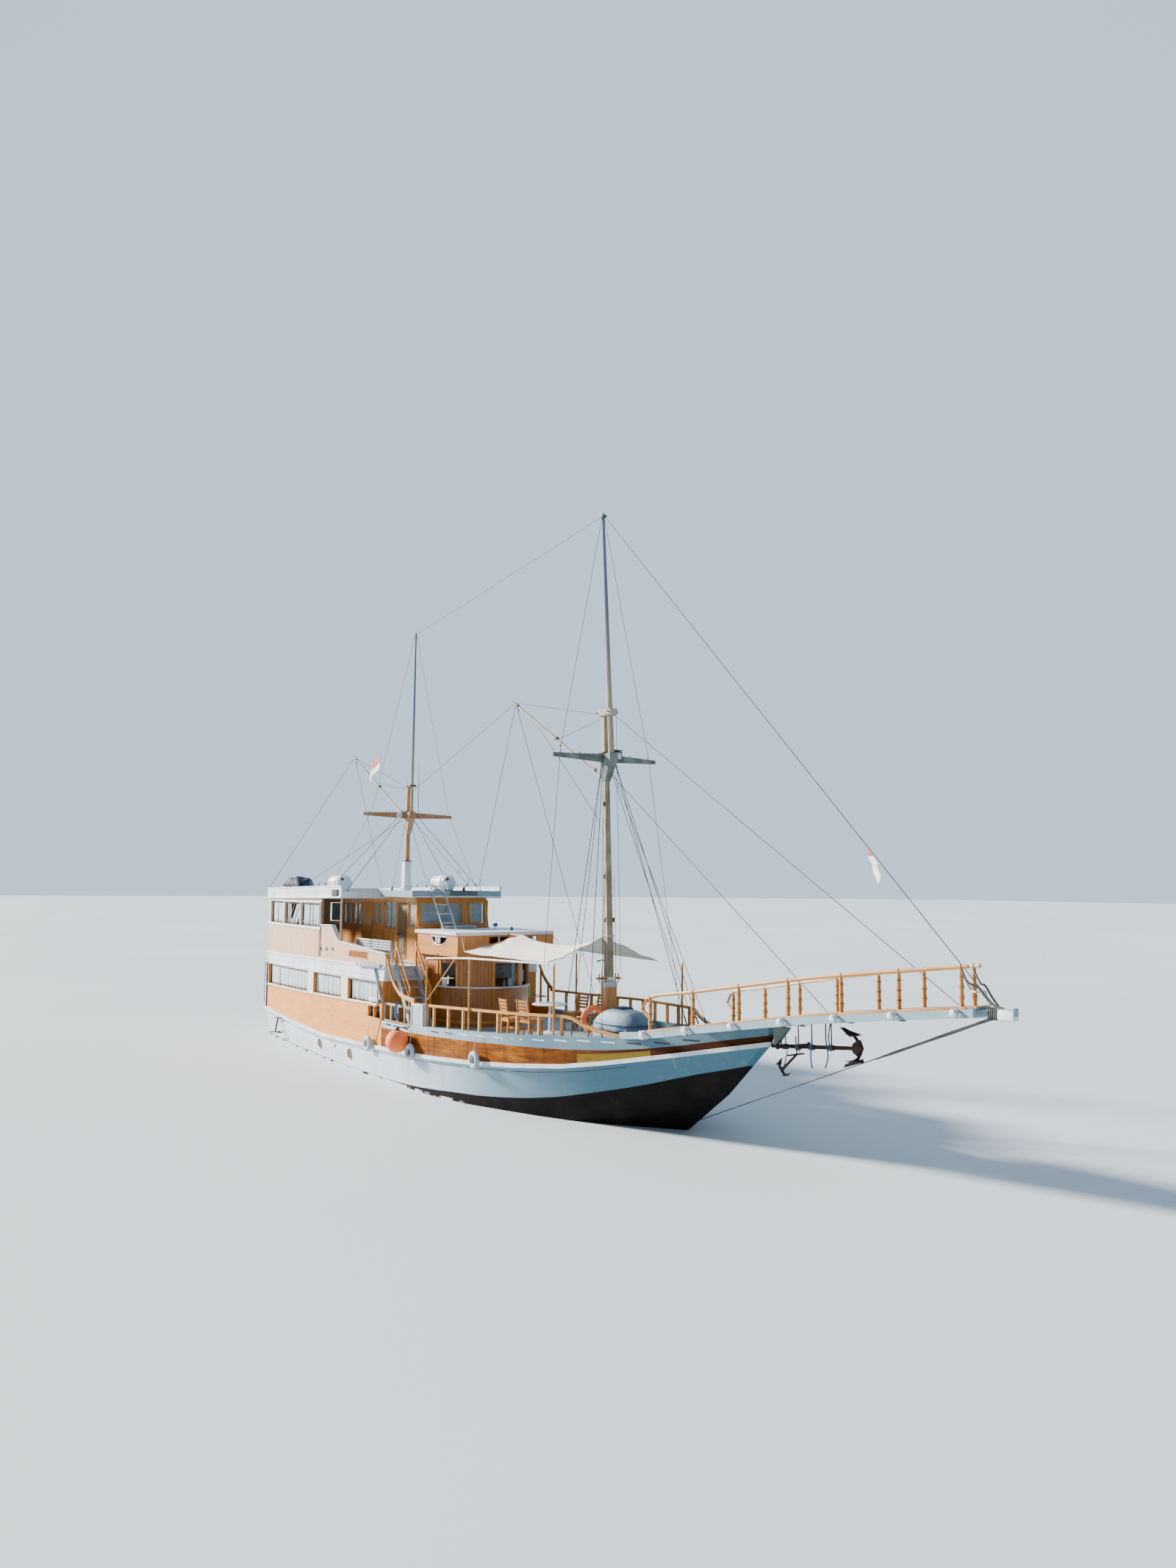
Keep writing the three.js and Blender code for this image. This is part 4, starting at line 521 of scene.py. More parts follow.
TANK_BLUE = plastic("tank_plastic_blue", "b3cbe2", "8fabc8", 0.4)
STRAP = plastic("black_strap", "22252a", "3a3d42", 0.6)
ORANGE = plastic("orange_float", "ff8448", "ff6a2c", 0.5, Specular_IOR_Level=0.3)
YELLOW = plastic("yellow_foam", "e8b23a", "c58f28", 0.6)
WHITE_PLASTIC = plastic("white_plastic", "eceff0", "cdd3d6", 0.3)
BLACK_PLASTIC = plastic("black_plastic", "16181b", "2a2d31", 0.35)
RUBBER = plastic("weathered_rubber", "b3bfcc", "8492a3", 0.7)
SCREEN = plastic("screen_black", "0a0c10", "14171c", 0.12, 300.0)
LAMP_BLUE = plastic("blue_lamp", "1e4c9a", "173a78", 0.3)
ALUMINIUM = metal("aluminium_tube", "c4c9cd", "9ba1a6", 0.35)
BRONZE = metal("bronze_cast", "a9803f", "6d5330", 0.35)
IRON = metal("anchor_iron", "1d1918", "100d0d", 0.75, 0.3, rust="3e2114")
STEEL = metal("stay_wire", "4b5258", "30353a", 0.6, 0.25)
ROPE_WHITE = rope_look("white_rope", "e6e4da", "a8a69c")
ROPE_BLUE = rope_look("blue_rope", "2d6bb0", "16345e")
GLASS = glass_look()


def split_wood(name, rows, light, dark, paint):
    """Upright wood that is painted on one side of a height, given by rows of (x, height)."""
    look = Look(name)
    colour, tone = wood_tone(look, look.vector(look.z, look.x, look.y), light, dark)
    limit = look.profile(look.x, rows) if len(rows) > 1 else rows[0][1]
    share = look.map(look.sub(look.z, limit), -0.003, 0.003)
    brush = look.streaks(9.0, 9.0, 1.5, 4.0)
    painted_tone = look.mix(look.map(brush, 0.4, 0.7), paint, "b4bcc2")
    look.bump(tone, 0.003, 0.5)
    return look, colour, share, painted_tone


def pole_look():
    """Varnished poles under a white pipe."""
    look, colour, share, white = split_wood("awning_poles", [(3.9, 3.303), (5.83, 3.402), (8.6, 3.402)],
                                            "d0913f",
                                            "9c6228", "eef1f3")
    return look.done(look.mix(share, colour, white), 0.45)


def mizzen_look():
    """Bare mizzen mast above a casing painted bluish white."""
    look, colour, share, white = split_wood("mizzen_post", [(0, 5.872)], "bb8d52", "8a6233", "dbe5ef")
    return look.done(look.mix(share, white, colour), 0.5)


def topmast_look(name, low, high):
    """Pole that darkens from bare wood to slate grey between two heights, as painted shade."""
    look = Look(name)
    colour, tone = wood_tone(look, look.vector(look.z, look.x, look.y), "a99f8c", "776d5c")
    slate = look.mix(tone, "34495e", "60788c")
    look.bump(tone, 0.003, 0.5)
    # Painted shade: slate grey over the upper part.
    return look.done(look.mix(look.map(look.z, low, high), colour, slate), 0.6)


POLE = pole_look()
MIZZEN_POST = mizzen_look()
TOPMAST = topmast_look("main_topmast_pole", 9.9, 12.0)
MIZZEN_TOPMAST = topmast_look("mizzen_topmast_pole", 8.2, 10.5)
PALE_ALONG = wood("pale_wood_along", "d2bb98", "a48760", "x", 0.6, wear="c9c3b8")
PALE_PAINT = painted("pale_blue_paint", "c4d2dc", "8c8f8c", 0.55, 0.63)
GREEN_GREY = painted("knee_paint", "55645f", "3c4844", 0.6, 0.6)
SLATE = painted("name_board_paint", "3c4f5c", "5d6d76", 0.5, 0.66)
ROPE_DARK = rope_look("tarred_rope", "6b6a66", "34322f")
ROPE_TEAL = rope_look("teal_rope", "5c97ad", "2c5566")
TOWEL = cloth("olive_towel", "b8b04e", "8d8a3c", 500.0)
LAMP_FACE = plastic("lamp_face", "c6d3df", "93a7ba", 0.15)


def panel_look():
    """Thin bluish plastic that hangs in the saloon's openings."""
    look = Look("clear_panel", Alpha=0.45)
    crease = look.streaks(6.0, 6.0, 1.2, 4.0)
    look.bump(crease, 0.01, 0.6)
    tone = look.mix(look.map(crease, 0.35, 0.65), "a9c2cf", "7f9aa9")
    return look.done(tone, look.map(crease, 0.3, 0.7, 0.1, 0.3))


PANEL = panel_look()


# Shapes

def catmull(points, steps):
    """Points on a smooth curve through the given ones."""
    rows = [Vector(p) for p in points]
    ends = [rows[0] * 2 - rows[1]] + rows + [rows[-1] * 2 - rows[-2]]
    found = []
    for a, b, c, d in zip(ends, ends[1:], ends[2:], ends[3:]):
        for i in range(steps):
            t = i / steps
            found.append(0.5 * (2 * b + (c - a) * t + (2 * a - 5 * b + 4 * c - d) * t * t
                                + (3 * b - a - 3 * c + d) * t ** 3))
    return found + [rows[-1]]


def lerp(a, b, t):
    """Value on the way from a to b."""
    return a + (b - a) * t


def run(points):
    """Length of the line through points."""
    return sum((Vector(a) - Vector(b)).length for a, b in zip(points, points[1:]))


def along(rows, x):
    """Straight interpolation in rows of (x, value)."""
    if x <= rows[0][0]:
        return rows[0][1]
    for (x0, y0), (x1, y1) in zip(rows, rows[1:]):
        if x <= x1:
            return lerp(y0, y1, (x - x0) / (x1 - x0))
    return rows[-1][1]


SHARP_FROM = radians(38)


class Shape:
    """Gathers many small solids into one mesh. Each solid has a material and its own run of grain."""

    def __init__(self, seed=1):
        self.points, self.faces, self.uvs, self.slots, self.materials = [], [], [], [], []
        self.random = random.Random(seed)

    def add(self, points, faces, uvs, material):
        """Adds a solid, whose grain starts at a place of its own."""
        if material not in self.materials:
            self.materials.append(material)
        base = len(self.points)
        self.points += [tuple(p) for p in points]
        du, dv = self.random.uniform(0, 40), self.random.uniform(0, 40)
        for face, uv in zip(faces, uvs):
            self.faces.append([base + i for i in face])
            self.uvs.append([(u + du, v + dv) for u, v in uv])
            self.slots.append(self.materials.index(material))

    def loft(self, rings, material, cyclic=False):
        """Skin through rings of points; a cyclic one joins its last ring to its first."""
        rings = [[Vector(p) for p in ring] for ring in rings]
        count, m = len(rings), len(rings[0])
        lengths = [0.0]
        for a, b in zip(rings, rings[1:] + rings[:1]):
            lengths.append(lengths[-1] + sum(((p - q).length for p, q in zip(a, b)), 0.0) / m)
        around = [0.0]
        ring = rings[count // 2]
        for i in range(m):
            around.append(around[-1] + (ring[(i + 1) % m] - ring[i]).length)
        faces, uvs = [], []
        for k in range(count if cyclic else count - 1):
            for i in range(m):
                j, n = (i + 1) % m, (k + 1) % count
                faces.append([k * m + i, k * m + j, n * m + j, n * m + i])
                uvs.append([(lengths[k], around[i]), (lengths[k], around[i + 1]),
                            (lengths[k + 1], around[i + 1]), (lengths[k + 1], around[i])])
        if not cyclic:
            for k in (0, count - 1):
                faces.append([k * m + i for i in range(m)])
                uvs.append([(around[i] * 0.1, around[i]) for i in range(m)])
        self.add([p for r in rings for p in r], faces, uvs, material)

    def beam(self, p, q, wide, deep, material, up=UP, chamfer=None):
        """Square-edged bar from p to q with eased edges, wide across and deep along up."""
        p, q = Vector(p), Vector(q)
        way = (q - p).normalized()
        up = Vector(up)
        if abs(way.dot(up)) > 0.98:
            up = Vector(FORE)
        side = way.cross(up).normalized()
        up = side.cross(way)
        c = min(wide, deep, (q - p).length) * 0.14 if chamfer is None else chamfer

        def ring(at, shrink):
            a, b = wide / 2 - shrink, deep / 2 - shrink
            e = c * 0.999
            return [at + side * u + up * v for u, v in (
                (-a + e, -b), (a - e, -b), (a, -b + e), (a, b - e), (a - e, b), (-a + e, b), (-a, b - e),
                (-a, -b + e))]

        self.loft([ring(p, c * 0.45), ring(p + way * c, 0), ring(q - way * c, 0), ring(q, c * 0.45)],
                  material)

    def box(self, x0, x1, y0, y1, z0, z1, material, chamfer=None):
        """Eased box whose grain runs along its longest side."""
        sizes = [x1 - x0, y1 - y0, z1 - z0]
        c = [(x0 + x1) / 2, (y0 + y1) / 2, (z0 + z1) / 2]
        if sizes[0] >= max(sizes[1:]):
            self.beam((x0, c[1], c[2]), (x1, c[1], c[2]), sizes[1], sizes[2], material, chamfer=chamfer)
        elif sizes[1] >= sizes[2]:
            self.beam((c[0], y0, c[2]), (c[0], y1, c[2]), sizes[0], sizes[2], material, chamfer=chamfer)
        else:
            self.beam((c[0], c[1], z0), (c[0], c[1], z1), sizes[1], sizes[0], material, chamfer=chamfer)

    def tube(self, points, radius, material, sides=8, cyclic=False):
        """Round tube along points; the radius may be one number or a list."""
        rows = [Vector(p) for p in points]
        radii = radius if isinstance(radius, (list, tuple)) else [radius] * len(rows)
        count = len(rows)
        up = None
        rings = []
        for i, point in enumerate(rows):
            before = rows[(i - 1) % count] if cyclic or i else point
            after = rows[(i + 1) % count] if cyclic or i < count - 1 else point
            way = (after - before).normalized()
            if up is None:
                up = Vector(UP) if abs(way.z) < 0.9 else Vector(FORE)
            side = way.cross(up).normalized()
            up = side.cross(way).normalized()
            rings.append([point + (side * c + up * s) * radii[i] for c, s in circle(sides)])
        self.loft(rings, material, cyclic=cyclic)

    def rod(self, p, q, radius, material, end=None, sides=14):
        """Straight round bar; end is its radius at q, where that differs."""
        self.tube([p, q], [radius, radius if end is None else end], material, sides)

    def turned(self, origin, axis, profile, material, sides=20):
        """Turned solid: rows of (distance along the axis, radius)."""
        origin, axis = Vector(origin), Vector(axis).normalized()
        side = axis.orthogonal().normalized()
        up = axis.cross(side)
        self.loft([[origin + axis * d + (side * c + up * s) * max(r, 0.0004) for c, s in circle(sides)]
                   for d, r in profile], material)

    def hoop(self, centre, axis, big, small, material, turns=28, sides=10):
        """Ring of round section."""
        centre, axis = Vector(centre), Vector(axis).normalized()
        side = axis.orthogonal().normalized()
        up = axis.cross(side)
        self.tube([centre + (side * c + up * s) * big for c, s in circle(turns)], small, material, sides,
                  True)

    def cord(self, points, steps, radius):
        """Thin white rope on a smooth curve."""
        self.tube(catmull(points, steps), radius, ROPE_WHITE, 6)

    def lashing(self, x, y, z, wide, high, radius, material):
        """One turn of rope round a square bar that runs fore and aft."""
        self.tube([(x, y + a * wide, z + b * high) for a, b in SQUARE], radius, material, 6, True)

    def prism(self, low, high, material):
        """Solid between two matching outlines."""
        self.loft([low, high], material)

    def make(self, name, body="boat", replaces=(), slot=None):
        """Turns the gathered solids into one piece that rides on a body."""
        mesh = bpy.data.meshes.new(name)
        mesh.from_pydata(self.points, [], self.faces)
        layer = mesh.uv_layers.new(name="grain")
        layer.data.foreach_set("uv", [c for uv in self.uvs for pair in uv for c in pair])
        for material in self.materials:
            mesh.materials.append(material)
        mesh.polygons.foreach_set("material_index", self.slots)
        work = bmesh.new()
        work.from_mesh(mesh)
        bmesh.ops.recalc_face_normals(work, faces=work.faces)
        work.to_mesh(mesh)
        work.free()
        mesh.polygons.foreach_set("use_smooth", [True] * len(mesh.polygons))
        mesh.set_sharp_from_angle(angle=SHARP_FROM)
        piece = add_object(name, mesh)
        if body:
            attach(piece, body)
        if replaces:
            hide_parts(*replaces)
        return piece


# What carries the pieces

trees = {}
CLEAR_SIDE, CLEAR_ABOVE = 9.0, 20.0


def node_points(name):
    """Corners of a solid of the frame."""
    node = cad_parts[name]
    return [node.matrix_world @ v.co for v in node.data.vertices]


def hit(node, start, way):
    """Where a ray meets a solid of the frame."""
    if node not in trees:
        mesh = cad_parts[node].data
        trees[node] = BVHTree.FromPolygons([tuple(v.co) for v in mesh.vertices],
                                           [tuple(p.vertices) for p in mesh.polygons])
    place, _, _, _ = trees[node].ray_cast(Vector(start), Vector(way))
    return place


def side_y(x, z, node="hull", side=-1):
    """Distance of the ship's side from the middle line."""
    place = hit(node, (x, side * CLEAR_SIDE, z), (0, -side, 0))
    return abs(place.y) if place else 0.0


def deck_z(x, y, node="topsides_fore"):
    """Height of the top of a solid."""
    place = hit(node, (x, y, CLEAR_ABOVE), DOWN)
    return place.z if place else 0.0


def dress(material, *names, bevel=0.0):
    """Gives solids of the frame their finish, and eases their edges."""
    for name in names:
        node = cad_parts[name]
        node.data.materials.clear()
        node.data.materials.append(material)
        node.data.polygons.foreach_set("use_smooth", [True] * len(node.data.polygons))
        weld = node.modifiers.new("weld", "WELD")
        weld.merge_threshold = 0.00005
        if bevel:
            edge = node.modifiers.new("bevel", "BEVEL")
            edge.width, edge.segments = bevel, 2
            edge.limit_method, edge.angle_limit = "ANGLE", radians(40)
            edge.harden_normals = False
            node.modifiers.new("even", "WEIGHTED_NORMAL").weight = 80
        else:
            node.modifiers.new("split", "EDGE_SPLIT").split_angle = radians(34)


dress(HULL, "hull")
dress(TOPSIDES, "topsides_fore", bevel=0.006)
dress(WHITE, "rub_rail", "upper_deck", "main_roof", "saloon_roof", bevel=0.008)
dress(RAIL_BLUE, "gunwale", bevel=0.006)
dress(GREY_BLUE, "stairs", bevel=0.006)
dress(ROOF_BLUE, "helm_roof", bevel=0.008)
dress(FRAME_BLUE, "bowsprit_frame", bevel=0.008)
dress(STRAKES, "lower_side_stbd", "lower_side_port", bevel=0.005)
dress(PINK_BOARDS, "upper_side_stbd", "upper_side_port", bevel=0.004)
dress(PINK_BOARDS_Y, "upper_stern", "lower_stern", bevel=0.004)
dress(HONEY_X, "house_side_stbd", "house_side_port", bevel=0.003)
dress(HONEY_Y, "house_front", "house_back", "saloon_crown", bevel=0.004)
dress(SALOON_BOARDS, "saloon_walls", bevel=0.003)
dress(HONEY_Y, "saloon_wing_stbd", "saloon_wing_port", bevel=0.003)
dress(DOOR_WOOD, "house_door", bevel=0.003)
dress(HONEY_ALONG, "rail_stbd", "rail_port", bevel=0.008)
dress(HONEY_ALONG, "banister_stbd", "banister_port", bevel=0.01)
dress(PALE_Z, "boarding_gate", bevel=0.006)
dress(HONEY_Z, "tabernacle", bevel=0.01)
dress(PALE_Z, "main_mast", bevel=0.012)
dress(MIZZEN_POST, "mizzen_mast", bevel=0.012)
dress(ARM_GREY, "main_crosstree", bevel=0.01)
dress(WARM_SPAR, "mizzen_crosstree", bevel=0.01)
dress(DECK_PALE, "bowsprit_deck", bevel=0.003)
dress(STEEL, "main_shrouds", "mizzen_shrouds", "head_stays", "bobstay")
dress(IRON, "anchor", bevel=0.004)
dress(BRONZE, "propeller", bevel=0.003)
dress(BOTTOM, "rudder", "keel", bevel=0.004)
dress(ALUMINIUM, "roof_ladder")
dress(POLE, "awning_frame_stbd", "awning_pole_port_aft", "awning_pole_port_fore")
dress(HONEY_ALONG, "bow_rail_stbd")
dress(PALE_ALONG, "bow_rail_port")
dress(COVER, "tender")
dress(ORANGE, "ball_fender")
dress(TANK, "roof_tank_fore", "roof_tank_aft")
dress(TARP, "tarp_bundle")
dress(TOPMAST, "main_topmast")
dress(MIZZEN_TOPMAST, "mizzen_topmast")
dress(GAFF_GREY, "main_gaff", "mizzen_gaff")


def make_stage():
    """Pale floor at the waterline, low sun from the starboard quarter, sky lighter behind the ship."""
    mesh = bpy.data.meshes.new("floor")
    mesh.from_pydata([(FLOOR_REACH * a, FLOOR_REACH * b, 0) for a, b in SQUARE], [], [(0, 1, 2, 3)])
    floor = add_object("floor", mesh)
    look = Look("pale_floor")
    tone = look.mix(look.map(look.noise(look.place, 0.05, 2.0), 0.3, 0.7), "c9d3da", "bfcad2")
    mesh.materials.append(look.done(tone, 0.7))
    sun = bpy.data.lights.new("sun", "SUN")
    sun.energy, sun.angle, sun.color = SUN_ENERGY, SUN_ANGLE, SUN_COLOUR
    lamp = add_object("sun", sun)
    lamp.rotation_mode = "QUATERNION"
    lamp.rotation_quaternion = Vector(SUN_FROM).to_track_quat("Z", "Y")
    world = bpy.data.worlds.new("studio")
    bpy.context.scene.world = world
    world.use_nodes = True
    tree = world.node_tree
    way = tree.nodes.new("ShaderNodeTexCoord").outputs["Generated"]
    dot = tree.nodes.new("ShaderNodeVectorMath")
    dot.operation = "DOT_PRODUCT"
    tree.links.new(way, dot.inputs[0])
    dot.inputs[1].default_value = CAMERA_HEADING
    ramp = tree.nodes.new("ShaderNodeMapRange")
    tree.links.new(dot.outputs["Value"], ramp.inputs[0])
    for k, value in enumerate(SKY_SHARE + SKY_STRENGTH):
        ramp.inputs[k + 1].default_value = value
    tree.nodes["Background"].inputs[0].default_value = SKY_COLOUR
    tree.links.new(ramp.outputs[0], tree.nodes["Background"].inputs[1])


# Places on the ship

def mast_x(z):
    """Middle of the raked main mast."""
    return 7.925 - (z - 3.3) * 0.0385


def mast_half(z):
    """Half the thickness of the main mast."""
    return lerp(0.088, 0.068, (z - 2.9) / 6.47)


def mizzen_x(z):
    """Middle of the mizzen mast."""
    return lerp(-2.695, -2.64, (z - 4.9) / 3.4)


def mizzen_half(z):
    """Half the thickness of the mizzen mast."""
    return lerp(0.07, 0.056, (z - 5) / 3.4)


def half(x):
    """Half the beam at the deck, from the ship's side."""
    if x < 1.4:
        return side_y(x, 1.5, "lower_side_stbd")
    return side_y(x, along(DECK_EDGE, x) - 0.04, "topsides_fore")


def steps_between(a, b):
    """Stations from a to b, about 0.3 m apart."""
    count = max(1, round(abs(b - a) / 0.3))
    return [lerp(a, b, i / count) for i in range(count + 1)]


def strip(shape, x0, x1, z_of, tall, out, material, side, base=0.0, node=None):
    """Moulding along the ship's side or a solid on it, centred on z_of(x) and proud by out."""
    rings = []
    for x in steps_between(x0, x1):
        z, h = z_of(x), tall / 2
        y = side_y(x, z, node, side) if node else half(x) + base
        rings.append([(x, side * (y + a), z + b) for a, b in (
            (-0.002, -h), (out * 0.8, -h), (out, -h * 0.7), (out, h * 0.7), (out * 0.8, h), (-0.002, h))])
    shape.loft(rings, material)


def upright(shape, x0, x1, low, high, out, material, side, base=0.0):
    """Upright board on the ship's side."""
    y0, y1 = half(x0) + base, half(x1) + base
    shape.loft([[(x0, side * (y0 - 0.002), z), (x0, side * (y0 + out), z), (x1, side * (y1 + out), z),
                 (x1, side * (y1 - 0.002), z)] for z in (low, high)], material)


def framed(shape, corners, normal, wide, out, material):
    """Four bars round an opening, proud of the wall by out."""
    corners, normal = [Vector(c) for c in corners], Vector(normal).normalized()
    centre = sum(corners, Vector()) / 4
    for k in range(4):
        p, q = corners[k], corners[(k + 1) % 4]
        way = (q - p).normalized()
        away = (p + q) / 2 - centre
        away = (away - way * away.dot(way)).normalized()
        longer = way * wide if k % 2 == 0 else Vector()
        shift = away * wide / 2 + normal * (out / 2 - 0.002)
        shape.beam(p + shift - longer, q + shift + longer, wide, out, material, normal, chamfer=0.006)


def pane(shape, corners, normal):
    """Window pane, 5 mm thick."""
    normal = Vector(normal).normalized() * 0.005 / 2
    shape.loft([[Vector(c) - normal for c in corners], [Vector(c) + normal for c in corners]], GLASS)


# Sheets of cloth and loose ropes

def sheet(name, rows, material, thick=0.003, replaces=(), smooth=0):
    """Sheet through rows of points, thickened to a shell; the size it was cut to is worked out but kept
    nowhere.
    """
    count, m = len(rows), len(rows[0])
    mesh = bpy.data.meshes.new(name)
    mesh.from_pydata([tuple(p) for row in rows for p in row], [],
                     [(k * m + i, k * m + i + 1, (k + 1) * m + i + 1, (k + 1) * m + i)
                      for k in range(count - 1) for i in range(m - 1)])
    mesh.materials.append(material)
    mesh.polygons.foreach_set("use_smooth", [True] * len(mesh.polygons))
    piece = add_object(name, mesh)
    if smooth:
        piece.modifiers.new("smooth", "SUBSURF").levels = smooth
        piece.modifiers["smooth"].render_levels = smooth
    shell = piece.modifiers.new("cloth", "SOLIDIFY")
    shell.thickness, shell.offset = thick, 0.0

    wide = sum(run(row) for row in rows) / count
    long = sum(run([row[i] for row in rows]) for i in range(m)) / m
    area = sum(p.area for p in mesh.polygons)
    whole = wide * long
    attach(piece, "boat")
    if replaces:
        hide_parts(*replaces)
    if area > whole:
        wide *= area / whole * 1.002
        whole = wide * long
    return piece


def curtain(name, x0, x1, low, high, y_of, side, pleats, depth, seed):
    """Curtain behind the ship's side, with pleats that open towards its foot."""
    source = random.Random(seed)
    count, steps = max(8, int(abs(x1 - x0) * 26)), 7
    phase = source.uniform(0, 6.28)
    rows = []
    for k in range(steps + 1):
        t = k / steps
        row = []
        for i in range(count + 1):
            s = i / count
            x = lerp(x0, x1, s)
            wave = sin(s * pleats * 2 * pi + phase + 0.6 * sin(s * 9 + phase))
            wave += 0.35 * sin(s * pleats * 4.7 + 2.1 * phase)
            y = y_of(x) - 0.012 - depth * (0.45 + 0.55 * t) * (1 + wave)
            row.append((x, side * y, lerp(high(x), low(x), t)))
        rows.append(row)
    return sheet(name, rows, CURTAIN)


LOWER_OPENINGS = [("aft", -8.66, -4.3), ("mid", -3.66, -1.43), ("fore", -0.79, 1.11)]


def lower_head(x):
    """Upper edge of the openings in the lower side."""
    return lerp(2.49, 2.6, (x - HOUSE_AFT) / 10.6) - 0.055


def lower_sill(x):
    """Lower edge of the openings in the lower side."""
    return lerp(1.79, 1.99, (x - HOUSE_AFT) / 10.45) + 0.01


def inner_face(side, name):
    """Distance of the lower side's inner face from the middle line, by x."""
    return lambda x: side_y(x, 1.5, f"lower_side_{name}", side) - 0.07


def make_curtains():
    """Curtains behind the openings of both tiers."""
    for side, name in SIDES:
        inside = inner_face(side, name)
        for number, (key, x0, x1) in enumerate(LOWER_OPENINGS):
            if side > 0 and key == "fore":
                x1 = 0.41
            curtain(f"lower_curtain_{key}_{name}", x0, x1, lower_sill, lower_head, inside, side,
                    pleats=int((x1 - x0) * 2.6) + 2, depth=0.018, seed=number + 5)
        for number, (x0, x1) in enumerate(((-8.66, -7.06), (-6.9, -6.5), (-5.1, -3.39))):
            curtain(f"upper_curtain_{number + 1}_{name}", x0, x1, lambda x: 3.87, lambda x: 4.56,
                    lambda x: half(x) - 0.07, side,
                    pleats=int((x1 - x0) * 4.0) + 1, depth=0.016, seed=number + 11)
        y = half(-5.8) - 0.085
        hanging(f"drawn_curtain_{name}", (-5.86, side * y, 4.56), (-5.3, side * y, 4.56), 0.68, (0, -side, 0),
                CURTAIN, 5, lean=(-0.54, 0, 0), seed=21)


def hanging(name, a, b, fall, face, material, pleats, depth=0.014, lean=(0, 0, 0), seed=1):
    """Cloth hung from the line a to b, with pleats that stand off along face; lean shifts its foot."""
    source = random.Random(seed)
    a, b, face, lean = Vector(a), Vector(b), Vector(face).normalized(), Vector(lean)
    count, steps = max(8, int((b - a).length * 26)), 7
    phase = source.uniform(0, 6.28)
    rows = []
    for k in range(steps + 1):
        t = k / steps
        row = []
        for i in range(count + 1):
            s = i / count
            wave = sin(s * pleats * 2 * pi + phase)
            wave += 0.35 * sin(s * pleats * 4.7 + 2.1 * phase)
            row.append(a.lerp(b, s) + lean * t + face * (0.012 + depth * (0.4 + 0.6 * t) * (1 + wave))
                       - lift(fall * t))
        rows.append(row)
    return sheet(name, rows, material)


def make_chair(shape, x, y, turn):
    """Slat-backed wooden chair that stands on the fore deck."""
    z = deck_z(x, y)
    place = Matrix.Translation((x, y, z)) @ Matrix.Rotation(radians(turn), 4, "Z")

    def at(a, b, c):
        return place @ Vector((a, b, c))

    for b in (-0.2, 0.2):
        shape.beam(at(0.2, b, 0.002), at(0.19, b, 0.43), 0.042, 0.042, HONEY, FORE)
        shape.beam(at(-0.23, b, 0.002), at(-0.2, b, 0.45), 0.042, 0.048, HONEY, FORE)
        shape.beam(at(-0.2, b, 0.44), at(-0.28, b, 0.92), 0.042, 0.042, HONEY, FORE)
        shape.beam(at(-0.19, b, 0.2), at(0.18, b, 0.2), 0.025, 0.035, HONEY)
        shape.beam(at(-0.19, b, 0.4), at(0.18, b, 0.4), 0.025, 0.06, HONEY)
    for a in (0.19, -0.2):
        shape.beam(at(a, -0.19, 0.4), at(a, 0.19, 0.4), 0.025, 0.06, HONEY)
    shape.beam(at(0.0, -0.19, 0.2), at(0.0, 0.19, 0.2), 0.025, 0.03, HONEY)
    for i in range(6):
        a = lerp(-0.17, 0.2, i / 5)
        shape.beam(at(a, -0.22, 0.445), at(a, 0.22, 0.445), 0.064, 0.02, HONEY)
    for i in range(5):
        c = lerp(0.56, 0.88, i / 4)
        a = lerp(-0.2, -0.28, (c - 0.44) / 0.48)
        shape.beam(at(a, -0.21, c), at(a, 0.21, c), 0.018, 0.052, HONEY, at(a, 0, c + 1) - at(a, 0, c))


def make_deck_furniture():
    """Four chairs and a round table on the fore deck."""
    shape = Shape(3)
    for x, y, turn in ((5.62, -1.2, 82), (6.27, -1.1, 97), (5.2, 0.95, -85), (5.85, 1.05, -98)):
        make_chair(shape, x, y, turn)
    shape.make("deck_chairs", slot="honey_wood")
    table = Shape(4)
    x, y = 5.6, -0.1
    z = deck_z(x, y)
    table.turned((x, y, z + 0.002), UP, [(0, 0.24), (0.02, 0.24), (0.05, 0.06), (0.1, 0.035), (0.66, 0.035),
                                        (0.69, 0.12), (0.7, 0.12)], WHITE_PLASTIC)
    table.turned((x, y, z + 0.7), UP, [(0, 0.3), (0.004, 0.43), (0.012, 0.45), (0.028, 0.45), (0.035, 0.44)],
                 WHITE_PLASTIC, 32)
    table.make("deck_table", slot="white_paint")


def make_fenders():
    """Tyres that hang along the rubbing strake."""
    shape = Shape(5)
    for x in (0.9, 3.41, 6.25):
        rub = along(SHEER, x)
        z = rub + 0.07
        y = side_y(x, z, "lower_side_stbd" if x < 1.5 else "topsides_fore") + 0.062
        y = max(y, side_y(x, rub, "rub_rail") + 0.062)
        shape.hoop((x, -y - 0.004, z), (0.0, 1, 0.0), 0.15, 0.058, RUBBER, 30, 12)
        top = z + 0.15
        shape.cord([(x, -y, top), (x, -y + 0.01, top + 0.2), (x, -y + 0.05, top + 0.45)], 4, 0.008)
    shape.make("ring_fenders")


def make_life_ring():
    """Orange ring with four yellow grips, by the main mast."""
    shape = Shape(6)
    centre, axis = Vector((7.86, -0.36, 2.06)), Vector((0.55, -0.83, 0.05))
    shape.hoop(centre, axis, 0.27, 0.07, ORANGE, 36, 14)
    side = axis.normalized().orthogonal()
    for k in range(4):
        turn = Matrix.Rotation(radians(45 + 90 * k), 3, axis.normalized())
        point = centre + turn @ side * 0.27
        shape.hoop(point, (turn @ side).cross(axis), 0.073, 0.012, YELLOW, 16, 8)
    shape.make("life_ring")


